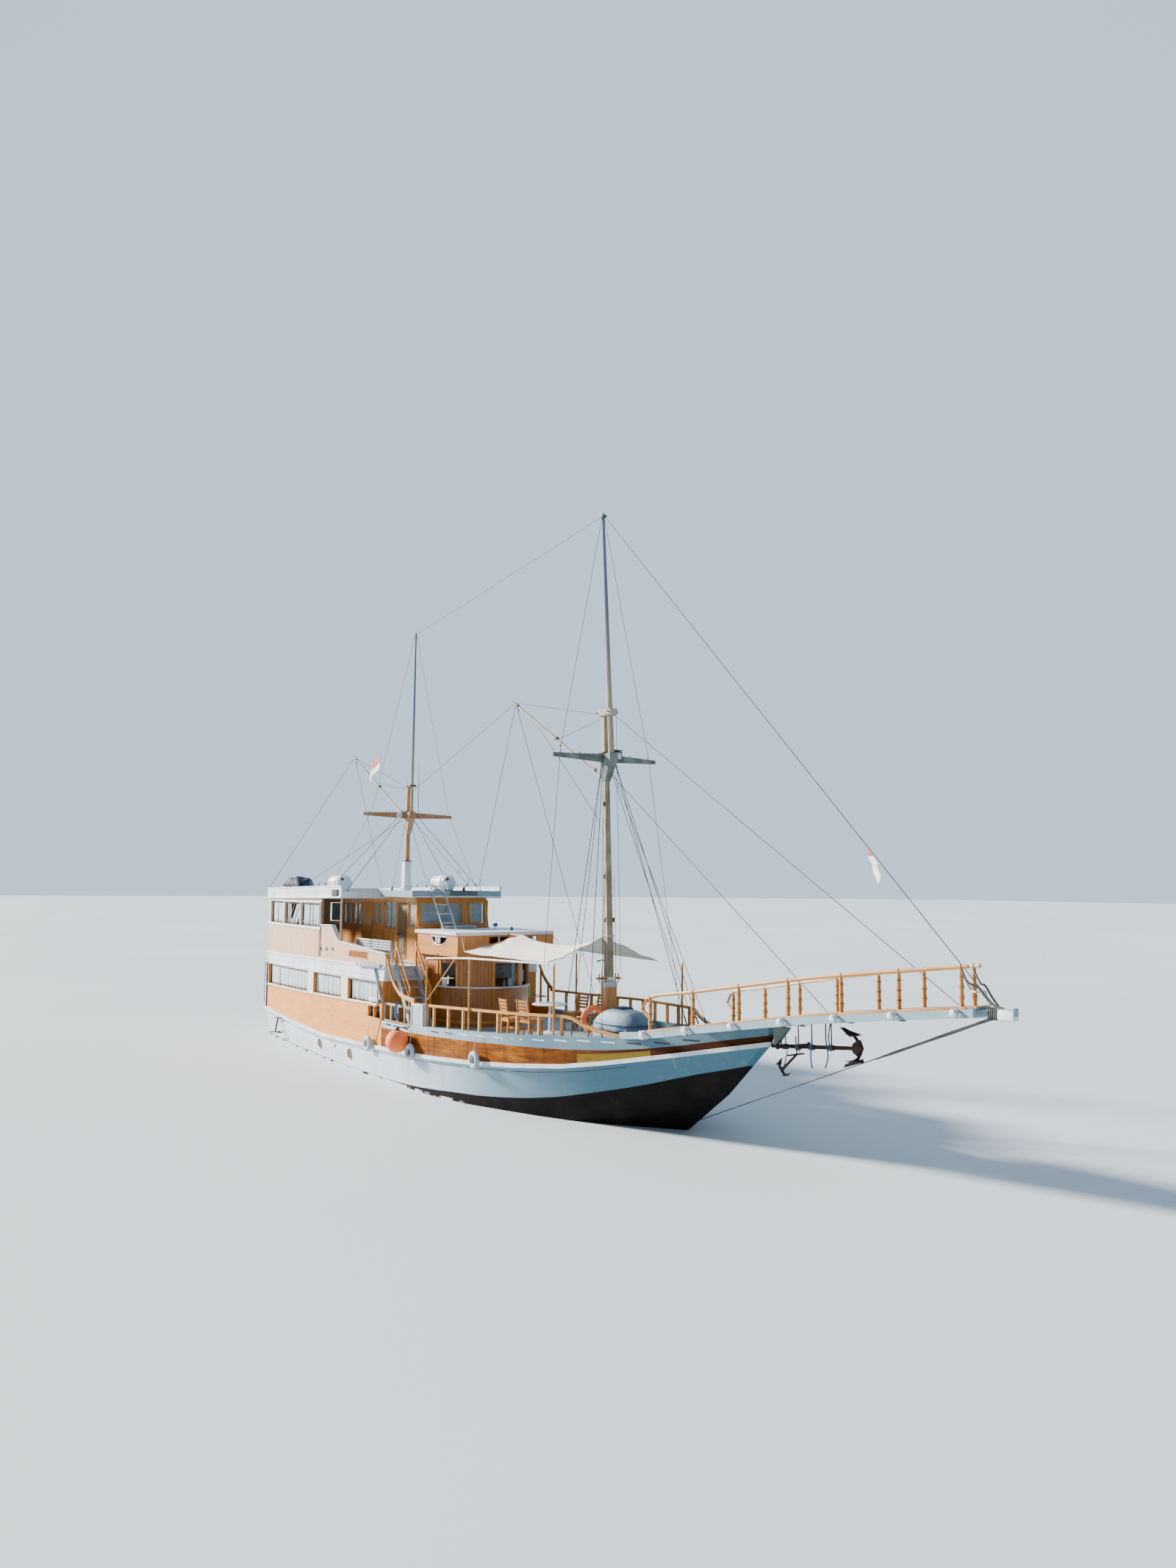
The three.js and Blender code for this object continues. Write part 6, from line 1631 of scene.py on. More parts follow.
def make_stairs():
    """Steep deck stairs: painted treads between stringers, with varnished handrails."""
    shape = Shape(67)
    outer, inner, thick = -2.48, -1.85, 0.04
    low = deck_z(2.7, outer + 0.02, "topsides_fore") + 0.004
    for y in (outer, inner - thick):
        ring = [(2.62, low), (2.78, low), (1.8, 2.935), (1.665, 2.935), (1.665, 2.87)]
        shape.prism([(x, y, z) for x, z in ring], [(x, y + thick, z) for x, z in ring], GREY_BLUE)
    for i in range(5):
        x, z = 2.53 - i * 0.165, 1.67 + i * 0.255
        shape.box(x - 0.11, x + 0.13, outer + 0.02, inner - 0.02, z, z + 0.036, GREY_BLUE, 0.008)
        shape.box(x + 0.112, x + 0.131, outer + 0.045, inner - 0.045, z + 0.034, z + 0.041, GREY, 0.003)
        for y in (outer + 0.055, inner - 0.055):
            shape.box(x - 0.09, x + 0.1, y - 0.014, y + 0.014, z - 0.035, z - 0.001, GREY_BLUE, 0.004)
    for k in range(4):
        y0 = lerp(outer, inner, k / 4)
        shape.box(1.652, 1.8, y0 + 0.003, lerp(outer, inner, (k + 1) / 4) - 0.003, 2.955, 2.99, GREY_BLUE,
                  0.005)
    shape.box(1.652, 1.79, outer + 0.02, inner - 0.02, 2.912, 2.954, GREY_BLUE)
    for y in (outer + 0.02, inner - 0.02):
        shape.beam((1.735, y, 2.955), (1.735, y, 3.6), 0.058, 0.058, HONEY)
        shape.turned((1.735, y, 3.595), UP, [(0, 0.03), (0.012, 0.036), (0.03, 0.03), (0.045, 0.008)], HONEY,
                     14)
        foot = deck_z(2.57, y, "topsides_fore") + 0.003
        shape.beam((2.57, y, foot), (2.57, y, 2.5), 0.05, 0.05, HONEY)
        shape.turned((2.57, y, 2.495), UP, [(0, 0.026), (0.01, 0.032), (0.025, 0.026), (0.036, 0.008)], HONEY,
                     14)
        shape.beam((1.7, y, 3.575), (2.6, y, 2.435), 0.045, 0.05, HONEY, UP)
        shape.beam((1.735, y, 3.24), (2.57, y, 2.18), 0.022, 0.03, HONEY, UP)
    shape.make("stair_flight", replaces=("stairs",))


def scupper(shape, x, side, material):
    """Slot in the gunwale, 0.34 m long, drawn as a thin patch on its face; a black patch is painted shade in
    the opening.
    """
    z = along(GUNWALE_TOP, x) - 0.085
    rings = []
    for at in (x, x + 0.34):
        y = side_y(at, z, "gunwale", side)
        rings.append([(at, side * (y + a), z + b)
                      for a, b in ((-0.002, -0.015), (0.003, -0.015), (0.003, 0.015), (-0.002, 0.015))])
    shape.loft(rings, material)


def porthole(shape, x, z, radius, side):
    """Round window with a bolted bronze rim, square to the hull's skin; a small one is a plain iron pipe."""
    large = radius > 0.1
    y = side_y(x, z, "hull", side)
    rise = Vector((0, side * (side_y(x, z + 0.1, "hull", side) - y), 0.1))
    ahead = Vector((0.1, side * (side_y(x + 0.1, z, "hull", side) - y), 0))
    normal = rise.cross(ahead).normalized()
    normal = normal if normal.y * side > 0 else -normal
    at = Vector((x, side * y, z))
    pane_rows = [(0, radius * 0.86), (0.016, radius * 0.86), (0.017, 0)]
    shape.turned(at - normal * 0.01, normal, pane_rows, SCREEN, 28)
    shape.hoop(at + normal * 0.004, normal, radius * 0.93, radius * 0.1, BRONZE if large else IRON, 32, 8)
    for k in range(6 if large else 0):
        turn = Matrix.Rotation(pi / 3 * k, 3, normal) @ normal.orthogonal().normalized()
        bolt = [(0, 0.012), (0.01, 0.01), (0.012, 0)]
        shape.turned(at + turn * radius * 0.93 + normal * 0.012, normal, bolt, BRONZE, 8)


def make_side_fittings():
    """Small windows, roller, pipe, gate posts, scuppers, portholes and steps on the ship's side."""
    shape = Shape(68)
    for x0, x1 in ((0.62, 0.94), (1.01, 1.36)):
        y = half(x0)
        framed(shape, [(x0, -y, 1.6), (x1, -y, 1.6), (x1, -y, 1.96), (x0, -y, 1.96)], STARBOARD, 0.035, 0.012,
               PEACH)
    y = half(1.0) + 0.02
    shape.box(0.06, 1.5, -y - 0.1, -y - 0.002, 2.93, 3.04, GREY_BLUE, 0.02)
    shape.turned((0.06, -y - 0.052, 2.985), AFT, [(-0.02, 0.056), (0.02, 0.058), (0.04, 0.05), (0.05, 0.0)],
                 BLACK_PLASTIC, 16)
    shape.beam((1.12, -y - 0.05, 2.93), (1.55, -y - 0.02, 2.08), 0.07, 0.045, GREY_BLUE, FORE)
    shape.box(0.78, 1.34, -y - 0.07, -y + 0.01, 2.03, 2.13, WHITE, 0.015)
    shape.turned((1.45, -y + 0.02, 2.08), STARBOARD, [(0, 0.03), (0.01, 0.055), (0.09, 0.055), (0.1, 0.03)],
                 BLACK_PLASTIC, 18)
    shape.tube(catmull([(1.43, -y - 0.05, 2.03), (1.44, -y - 0.03, 1.75), (1.46, -y - 0.012, 1.5),
                        (1.44, -y - 0.07, 1.2), (1.36, -y - 0.085, 0.95)], 5), 0.011, BLACK_PLASTIC, 6)
    for x in (1.75, 2.25, 2.75):
        y = half(x)
        shape.box(x, x + 0.28, -y - 0.004, -y + 0.002, 1.475, 1.515, BLACK_PLASTIC, 0.002)
    strip(shape, 1.56, 3.05, lambda x: 1.545, 0.03, 0.03, WHITE, -1)
    for x in (3.225, 3.8):
        y = half(x)
        shape.box(x - 0.018, x + 0.018, -y - 0.01, -y + 0.004, 1.58, 2.165, WHITE, 0.004)
    shape.box(3.215, 3.81, -half(3.5) - 0.012, -half(3.5) + 0.002, 2.11, 2.165, WHITE, 0.004)
    for side in SIGNS:
        for k in range(13):
            # Black patches are painted shade in the open slots.
            scupper(shape, 4.25 + 0.62 * k, side, BLACK_PLASTIC if k < 2 or k > 9 else WHITE)
        strip(shape, -8.9, 10.4, lambda x: along(SHEER, x) - 0.135, 0.012, 0.006, TARP, side, node="hull")
        for x, z, radius in ((-3.11, 0.43, 0.15), (-0.7, 0.43, 0.15), (-1.85, 0.5, 0.05)):
            porthole(shape, x, z, radius, side)
        y = side * (half(-7.1) + 0.08)
        for a, b in (((-7.46, y, 0.76), (-6.81, y, 0.8)), ((-7.08, y, 0.78), (-7.3, y, 0.32)),
                     ((-7.72, y, 0.28), (-6.8, y, 0.34))):
            shape.beam(a, b, 0.04, 0.03, IRON, UP)
        for x, z in ((-7.3, 0.77), (-6.95, 0.79), (-7.5, 0.29), (-7.0, 0.33)):
            inside = side * side_y(x, z, "hull", side)
            shape.rod((x, y, z), (x, inside, z), 0.014, IRON, sides=8)
        x, y = -8.93, side * (half(-8.93) + 0.004)
        shape.beam((x, y, 0.98), (x, y, 2.47), 0.05, 0.03, BLACK_PLASTIC, FORE)
    shape.make("side_fittings")


def make_stern_rope():
    """Blue rope that hangs from the upper tier at the starboard corner of the stern."""
    rope = Shape(69)
    start = Vector((-8.98, -half(-8.9) - 0.05, 2.48))
    path = catmull([start, (-8.985, start.y - 0.01, 2.1), (-8.97, start.y - 0.02, 1.6),
                    (-8.98, start.y - 0.015, 1.12)], 5)
    rope.tube(path, 0.011, ROPE_BLUE, 8)
    rope.make("stern_rope")


# Saloon, roofs and upper deck

SALOON_GAPS = [(-14, 20), (26, 62)]


def round_wall(radius, first, last):
    """Points along the saloon's round wall, by bearing from ahead in degrees."""
    count = max(2, round(abs(last - first) / 4.0))
    bearings = [radians(lerp(first, last, i / count)) for i in range(count + 1)]
    return [(SALOON_X + radius * cos(a), radius * sin(a)) for a in bearings]


def wall_band(shape, inner, outer, first, last, low, high, material, aft=0.0):
    """Curved plank between two radii; aft metres of straight plank lead up to its first end."""
    near, far = round_wall(inner, first, last), round_wall(outer, first, last)
    if aft:
        near.insert(0, (SALOON_X - aft, -inner))
        far.insert(0, (SALOON_X - aft, -outer))
    shape.loft([[(a[0], a[1], low), (b[0], b[1], low), (b[0], b[1], high), (a[0], a[1], high)]
                for a, b in zip(near, far)], material)


def saloon_walls(shape):
    """Sill, boards below it, and posts between the openings."""
    wall_band(shape, 1.255, 1.352, -90, 63, 2.43, 2.468, WHITE, 0.08)
    wall_band(shape, 1.25, 1.292, -90, -60.5, 2.172, 2.43, SALOON_BOARDS, 0.06)
    for first, last in SALOON_GAPS:
        wall_band(shape, 1.25, 1.292, first - 0.5, last + 0.5, 2.172, 2.43, SALOON_BOARDS)
    shape.box(1.62, 2.05, 1.25, 1.292, 2.172, 2.43, SALOON_BOARDS)
    for bearing in (-60, -54, -15.5, 21.5, 24.5, 63.5):
        a = radians(bearing)
        x, y = SALOON_X + 1.285 * cos(a), 1.285 * sin(a)
        shape.beam((x, y, 2.468), (x, y, 3.279), 0.075, 0.05, HONEY_Z, (cos(a), sin(a), 0))
    for x in (1.9, 2.06):
        shape.box(x - 0.03, x + 0.03, -1.322, -1.27, 2.47 if x > 2 else 2.172, 3.279, HONEY_Z)
    wall_band(shape, 1.302, 1.315, -90, 63, 1.5, 1.58, HONEY, 1.2)


def saloon_eaves(shape):
    """Fascia under the roof, half-round rims at its sides and two small vents ahead."""
    shape.box(0.73, 3.345, -1.515, -1.5, 3.285, 3.37, HONEY_ALONG)
    shape.box(0.73, 3.345, 1.5, 1.515, 3.285, 3.37, HONEY_ALONG)
    shape.box(3.33, 3.346, -1.515, 1.515, 3.285, 3.37, HONEY)
    for side in SIGNS:
        rim = [(2.32 + 0.42 * cos(a), side * 1.502, 3.786 + 0.226 * sin(a))
               for a in (pi + pi * i / 18 for i in range(19))]
        shape.tube(rim, 0.013, WHITE, 6)
        shape.beam((1.9, side * 1.502, 3.786), (2.74, side * 1.502, 3.786), 0.026, 0.026, WHITE)
        shape.box(2.1, 2.16, side * 1.49 - 0.015, side * 1.49 + 0.015, 3.57, 3.786, WHITE)
        shape.box(2.16, 2.3, side * 1.46 - 0.02, side * 1.46 + 0.02, 3.6, 3.786, WHITE)
    for y0, y1 in ((-0.54, 0.06), (0.7, 0.96)):
        framed(shape, [(3.33, y0, 3.62), (3.33, y1, 3.62), (3.33, y1, 3.79), (3.33, y0, 3.79)], FORE, 0.025,
               0.012, HONEY)
        shape.box(3.31, 3.325, (y0 + y1) / 2 - 0.02, (y0 + y1) / 2 + 0.02, 3.62, 3.79, WHITE)


def saloon_inside(shape, glass):
    """What is seen through the openings: a screen, a counter with bottles, clear panels and grey bundles."""
    a = radians(-3)
    way = Vector((cos(a), sin(a), 0))
    across = Vector((-way.y, way.x, 0))
    centre = Vector((SALOON_X, 0, 2.87)) + way * 1.17
    shape.beam(centre - across * 0.31, centre + across * 0.31, 0.05, 0.38, BLACK_PLASTIC, UP)
    face = centre + way * 0.026
    shape.beam(face - across * 0.295, face + across * 0.295, 0.004, 0.35, SCREEN, UP, chamfer=0.001)
    shape.rod(centre + lift(0.19), centre + lift(0.42), 0.02, BLACK_PLASTIC, sides=10)
    shape.box(2.2, 2.33, -1.34, -1.24, 2.47, 2.66, WHITE_PLASTIC, 0.01)
    shape.box(2.18, 2.46, -1.36, -1.1, 2.66, 2.685, WHITE_PLASTIC, 0.006)
    shape.box(1.2, 2.5, -0.45, 0.75, 1.5, 2.3, HONEY, 0.01)
    shape.box(1.17, 2.53, -0.48, 0.78, 2.3, 2.335, DARK_WOOD, 0.006)
    for y, tall in ((-0.3, 0.16), (0.05, 0.2), (0.2, 0.14), (0.5, 0.24)):
        bottle = [(0, 0.04), (tall * 0.7, 0.045), (tall * 0.85, 0.02), (tall, 0.018)]
        shape.turned((2.4, y, 2.336), UP, bottle, WHITE_PLASTIC, 14)
    for first, last in ((6, 20), (26, 38)):
        wall_band(glass, 1.2, 1.204, first, last, 2.47, 3.08, PANEL)
    for y, z in ((0.45, 2.6), (0.62, 2.75), (0.78, 2.55)):
        shape.box(2.75, 2.8, y, y + 0.12, z, z + 0.3, TARP_GREY, 0.01)


def make_saloon():
    """Trims of the saloon, what is seen through its openings, and a towel that hangs from the sill."""
    shape, glass = Shape(80), Shape(81)
    saloon_walls(shape)
    saloon_eaves(shape)
    saloon_inside(shape, glass)
    shape.make("saloon_trims", slot="honey_wood")
    glass.make("saloon_pane")
    hanging("saloon_towel", (2.93, 0.93, 2.5), (2.86, 1.05, 2.5), 0.42, (1, 0.6, 0), TOWEL,
            2,
            seed=83)


def make_bench():
    """Slatted bench that stands against the upper bulwark."""
    shape = Shape(84)
    for x in (-1.68, -0.95, -0.2, 0.5):
        shape.beam((x, -1.98, UPPER_DECK), (x, -2.02, 3.6), 0.05, 0.05, GREY_BLUE, FORE)
        shape.beam((x, -1.79, UPPER_DECK), (x, -1.79, 3.3), 0.05, 0.05, GREY_BLUE, FORE)
        shape.beam((x, -1.77, 3.29), (x, -2.0, 3.29), 0.04, 0.05, GREY_BLUE)
    for k in range(4):
        z = 3.36 + 0.072 * k
        shape.box(-1.72, 0.54, -2.06 - 0.004 * k, -2.035 - 0.004 * k, z - 0.027, z + 0.027, PALE_PAINT)
    for k in range(3):
        y = -1.79 - 0.085 * k
        shape.box(-1.72, 0.54, y - 0.035, y + 0.035, 3.318, 3.34, PALE_PAINT)
    shape.make("upper_bench")


def make_roof_details():
    """Lamp box, blank board, horn, pole and skylight on the roofs."""
    shape = Shape(85)
    y = half(-1.9) + 0.05
    shape.box(-2.08, -1.65, -y - 0.045, -y - 0.001, 4.8, 5.0, BLACK_PLASTIC, 0.01)
    for k in range(6):
        shape.box(-2.05, -1.68, -y - 0.055, -y - 0.04, 4.82 + 0.03 * k, 4.832 + 0.03 * k, STEEL, 0.002)
    shape.box(0.601, 0.628, -0.24, 0.64, 4.868, 4.985, SLATE, 0.006)
    for z in (4.868, 4.985):
        shape.box(0.601, 0.636, -0.25, 0.65, z - 0.006, z + 0.006, STEEL, 0.002)
    shape.box(0.601, 0.615, -1.44, 1.44, 4.805, 4.835, WHITE, 0.004)
    shape.rod((0.5, 0.81, 4.99), (0.5, 0.81, 5.48), 0.012, ALUMINIUM, 0.006, 8)
    shape.turned((0.5, 0.81, 4.99), UP, [(0, 0.05), (0.01, 0.05), (0.03, 0.02), (0.05, 0.014)], ALUMINIUM, 14)
    shape.box(0.75, 1.12, -0.63, 0.34, 3.932, 4.02, GREY_BLUE, 0.02)
    shape.rod((1.9, 0.46, 3.93), (1.9, 0.46, 4.02), 0.014, ALUMINIUM, sides=8)
    shape.turned((1.82, 0.46, 4.06), FORE, [(0, 0.02), (0.05, 0.03), (0.12, 0.045), (0.16, 0.06),
                                            (0.165, 0.05)],
                 LAMP_BLUE, 18)
    shape.turned((2.6, 0.6, 3.93), UP, [(0, 0.06), (0.02, 0.06), (0.03, 0.035), (0.08, 0.035), (0.1, 0.01)],
                 LAMP_BLUE, 16)
    for x, y, z in ((0.42, 0.3, 4.99), (-1.2, -1.2, 4.99), (-1.2, 1.2, 4.99)):
        shape.turned((x, y, z), UP, [(0, 0.045), (0.02, 0.045), (0.03, 0.03), (0.09, 0.03), (0.11, 0.018)],
                     BLACK_PLASTIC, 14)
    for y in (-0.87, -0.47):
        x = hit("roof_ladder", (5, y, 4.6), AFT).x
        path = [(x - 0.05, y, 5.02), (x - 0.14, y, 5.17), (x - 0.26, y, 5.2), (x - 0.33, y, 5.12),
                (x - 0.34, y, 5.0)]
        shape.tube(catmull(path, 5), 0.02, ALUMINIUM, 10)
    shape.make("roof_details")


def make_roof_cable():
    """Black cable that hangs from the pole on the wheelhouse roof."""
    rope = Shape(86)
    path = catmull([(0.02, 0.33, 5.62), (0.16, 0.35, 5.5), (0.36, 0.35, 5.42), (0.55, 0.36, 5.34),
                    (0.6, 0.35, 5.22), (0.5, 0.33, 5.13), (0.44, 0.3, 5.09)], 5)
    rope.tube(path, 0.009, BLACK_PLASTIC, 8)
    rope.make("roof_cable")


# Masts and rigging

def node_ends(name):
    """Middle of a solid's after and forward ends."""
    points = node_points(name)
    low, high = min(p.x for p in points), max(p.x for p in points)
    near = [[p for p in points if abs(p.x - end) < 0.04] for end in (low, high)]
    return [sum(group, Vector()) / len(group) for group in near]


def square_band(shape, x, z, reach, tall, material):
    """Band round a square mast."""
    shape.box(x - reach, x + reach, -reach, reach, z - tall / 2, z + tall / 2, material, 0.006)


def make_masts():
    """Caps, bands, lamps, cleats and blocks on both masts."""
    shape = Shape(90)
    for z in (4.95, 7.1):
        square_band(shape, mast_x(z), z, mast_half(z) + 0.004, 0.03, GREY)
    for z in (6.6, 8.0):
        square_band(shape, mizzen_x(z), z, mizzen_half(z) + 0.004, 0.03, WARM_SPAR)
    shape.box(7.53, 8.06, -0.13, 0.13, 9.25, 9.42, GREY, 0.03)
    for x in (7.58, 8.02):
        shape.rod((x, -0.16, 9.33), (x, 0.16, 9.33), 0.016, IRON, sides=8)
    shape.box(-2.76, -2.33, -0.1, 0.1, 8.18, 8.25, GREY, 0.015)
    shape.box(-2.775, -2.315, -0.104, 0.104, 8.2, 8.225, IRON, 0.004)
    square_band(shape, 7.94, 2.875, 0.142, 0.13, PALE_PAINT)
    square_band(shape, 7.938, 3.0, 0.112, 0.09, CREAM)
    for dx in (-0.07, 0.07):
        shape.rod((7.935 + dx, -0.3, 3.02), (7.935 + dx, 0.3, 3.02), 0.012, HONEY, sides=8)
    for y in (-0.28, -0.2, 0.2, 0.28):
        shape.rod((7.935, y, 2.9), (7.935, y, 3.12), 0.013, HONEY, 0.016, 8)
    shape.box(7.83, 8.04, -0.31, 0.31, 2.985, 3.008, HONEY, 0.004)
    for z, y in ((4.37, -0.13), (4.37, 0.13), (7.12, -0.1), (5.4, -0.12)):
        x = mast_x(z) + 0.05
        shape.box(x - 0.03, x + 0.03, y - 0.022, y + 0.022, z - 0.055, z + 0.055, DARK_WOOD, 0.014)
        shape.rod((x, y * 0.6, z + 0.06), (x, y, z + 0.04), 0.008, IRON, sides=6)
    x = hit("main_crosstree", (12, 0.25, 8.26), AFT).x
    shape.box(x + 0.002, x + 0.14, 0.13, 0.37, 8.17, 8.4, BLACK_PLASTIC, 0.012)
    shape.box(x + 0.138, x + 0.146, 0.16, 0.34, 8.21, 8.37, LAMP_FACE, 0.006)
    shape.beam((x - 0.02, 0.25, 8.41), (x + 0.16, 0.25, 8.43), 0.28, 0.012, BLACK_PLASTIC)
    for y in (-1.3, -0.75, 0.75, 1.3):
        for node, x_mast in (("main_crosstree", mast_x(8.3)), ("mizzen_crosstree", mizzen_x(7.4))):
            place = hit(node, (x_mast, y, 12), DOWN)
            shape.hoop(place + lift(0.018), FORE, 0.022, 0.006, IRON, 14, 6)
    x = hit("mizzen_crosstree", (0, -0.3, 7.36), AFT).x
    shape.hoop((x + 0.02, -0.34, 7.3), (1, -0.5, 0), 0.075, 0.018, WHITE_PLASTIC, 24, 8)
    shape.turned((x, -0.34, 7.3), (1, -0.5, 0), [(0, 0.06), (0.03, 0.06), (0.031, 0.0)], LAMP_FACE, 20)
    shape.rod((-2.4, 0.22, 7.36), (-2.4, 0.21, 8.99), 0.011, STEEL, 0.005, 8)
    shape.rod((-2.4, -0.16, 7.36), (-2.4, -0.17, 8.5), 0.009, STEEL, 0.004, 8)
    shape.turned((7.57, 0, 14.255), UP, [(0, 0.05), (0.02, 0.075), (0.045, 0.075), (0.063, 0.03)], WHITE, 16)
    square_band(shape, mizzen_x(5.87), 5.885, 0.122, 0.03, DARK_WOOD)
    square_band(shape, mizzen_x(5.0), 5.06, 0.15, 0.05, WHITE)
    shape.make("mast_fittings")


def make_gaff_details():
    """Rope wraps, tackle and fittings along the two gaffs."""
    rows = (("main_gaff", Vector((7.45, 0, 7.9)), Vector((3.48, 0, 10.12)), 0.05),
            ("mizzen_gaff", Vector((-2.95, 0, 7.36)), Vector((-6.86, 0, 9.51)), 0.046))
    for seed, (body, heel, peak, radius) in enumerate(rows):
        shape = Shape(92 + seed)
        way, long = (peak - heel).normalized(), (peak - heel).length
        for share, wide in ((0.03, 0.07), (0.45, 0.04), (0.93, 0.05)):
            at = heel + way * long * share
            size = radius * lerp(1.0, 0.8, share) + 0.006
            shape.turned(at, way, [(0, size), (wide * 0.5, size + 0.004), (wide, size)],
                         STEEL if share > 0.1 else GAFF_GREY, 14)
        for share in (0.42, 0.93):
            at = heel + way * long * share + lift(-0.08)
            shape.box(at.x - 0.022, at.x + 0.022, -0.018, 0.018, at.z - 0.05, at.z + 0.02, DARK_WOOD, 0.01)
        shape.make(body + "_fittings", body=body)


def tied(name, lines):
    """Straight lines between the ship and a gaff, baked in place on no body."""
    shape = Shape(96)
    for a, b in lines:
        shape.tube([a, b], 0.0075, ROPE_DARK, 5)
    piece = shape.make(name, body=None)
    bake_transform(piece)


def make_lines():
    """Halyards and vangs of the gaffs, and the stays beyond the main ones."""
    tied("main_peak_halyards", [((7.62, 0.0, 9.3), (3.62, 0, 10.08)), ((7.62, 0.04, 9.22), (5.75, 0.0, 8.9)),
                                ((7.63, -0.06, 6.7), (4.6, 0, 9.46))])
    tied("mizzen_peak_halyards", [((-2.68, 0, 8.14), (-6.7, 0, 9.44)),
                                  ((-2.68, 0.03, 8.08), (-4.9, 0, 8.45))])
    tied("main_vangs", [((3.55, 0.03, 10.02), (-0.66, 1.4, 5.0)), ((3.62, 0.03, 9.98), (3.75, 2.58, 2.2)),
                        ((3.52, 0, 10.04), (-2.36, 0, 8.05))])
    tied("mizzen_vangs", [((-6.78, -0.03, 9.42), (-8.8, -2.1, 5.02)),
                          ((-6.78, 0.03, 9.42), (-8.8, 2.1, 5.02))])
    shape = Shape(98)
    stays = []
    for side in SIGNS:
        arm, mizzen_arm = (7.74, side * 1.31, 8.35), (-2.45, side * 1.31, 7.42)
        foot = (8.25, -(half(8.25) - 0.03), 3.4) if side < 0 else (8.2, half(8.2) - 0.1, 1.95)
        stays += [
            ((7.58, side * 0.04, 14.18), arm, 0.006),
            (arm, foot, 0.006),
            ((-2.37, side * 0.03, 12.95), mizzen_arm, 0.0055),
            (mizzen_arm, (-2.9 if side < 0 else -2.6, side * 2.45, 5.0), 0.0055),
        ]
        for x, start in ((8.95, 7.74), (9.75, 7.8)):
            stays.append(((start, side * 0.1, 8.12), (x, side * (half(x) - 0.1), along(GUNWALE_TOP, x)),
                          0.0075))
        stays += [
            ((-2.6, side * 0.09, 7.2), (-0.9, side * 1.35, 5.0), 0.0065),
            ((-2.7, side * 0.09, 7.2), (-5.6, side * 2.3, 5.0), 0.0065),
        ]
    stays += [((8.0, 0.0, 9.3), (17.9, 0.0, 3.19), 0.008), ((7.95, 0.0, 7.85), (14.9, 0.0, 2.82), 0.008)]
    for a, b, radius in stays:
        shape.tube([a, b], radius, STEEL, 5)
    for a, b in (((8.02, -0.1, 7.9), (8.02, -0.27, 3.1)), ((8.0, 0.12, 9.2), (8.04, 0.27, 3.1)),
                 ((7.9, -0.12, 4.4), (8.3, -0.3, 2.2)), ((7.98, 0.1, 5.4), (7.95, 0.2, 3.1))):
        shape.tube([a, b], 0.006, ROPE_DARK, 5)
    for x in (8.95, 9.75, 8.65, 9.35):
        for side in SIGNS:
            y = side * (half(x) - (0.1 if x in (8.95, 9.75) else 0.148))
            z = along(GUNWALE_TOP, x)
            shape.rod((x, y, z - 0.01), (x + (8.0 - x) * 0.05, y * 0.96, z + 0.24), 0.016, STEEL, sides=8)
    shape.make("standing_rigging")


def flag(name, luff_top, luff_low, tail, seed):
    """Small plain flag, red over white, drooping from its luff."""
    top, low, far = Vector(luff_top), Vector(luff_low), Vector(tail)
    chance = random.Random(seed)
    across = (far - top).cross(low - top).normalized()
    rows = []
    for i in range(13):
        s = i / 12
        row = []
        for j in range(9):
            t = j / 8
            edge = top.lerp(low, t)
            point = edge + (far - top) * s + lift(-0.1 * s * s)
            wave = sin(s * 7.0 + t * 1.4 + seed) * 0.045 * s + chance.uniform(-0.004, 0.004)
            row.append(point + across * wave)
        rows.append(row)
    middle = (top + low) / 2
    fly = far - top
    slope = fly.z / fly.x if abs(fly.x) > 0.05 else 0.0
    sheet(name, rows, flag_look(name, middle, slope), 0.002, smooth=1)


def flag_look(name, middle, slope):
    """Flag cloth in two colours, parted along a sloping line."""
    look = Look(name + "_cloth", Sheen_Weight=0.2)
    line_z = look.add(look.mul(look.sub(look.x, middle.x), slope), middle.z - 0.02)
    share = look.map(look.sub(look.z, line_z), -0.004, 0.004)
    fade = look.noise(look.place, 5.0, 4.0)
    red = look.mix(look.map(fade, 0.35, 0.7), "c9362f", "a8403a")
    white = look.mix(look.map(fade, 0.35, 0.7), "f1efe9", "cfccc4")
    look.bump(look.mul(look.math("SINE", look.mul(look.x, 900.0)),
                       look.math("SINE", look.mul(look.z, 900.0))), 0.001,
              0.4)
    return look.done(look.mix(share, white, red), 0.85)


# Bowsprit

CROSSES = [10.98 + 1.17 * k for k in range(7)]


def frame_half(x):
    """Half the width of the bowsprit frame."""
    return (1380 - (x - 10.3) / 8 * 1130) / 1000


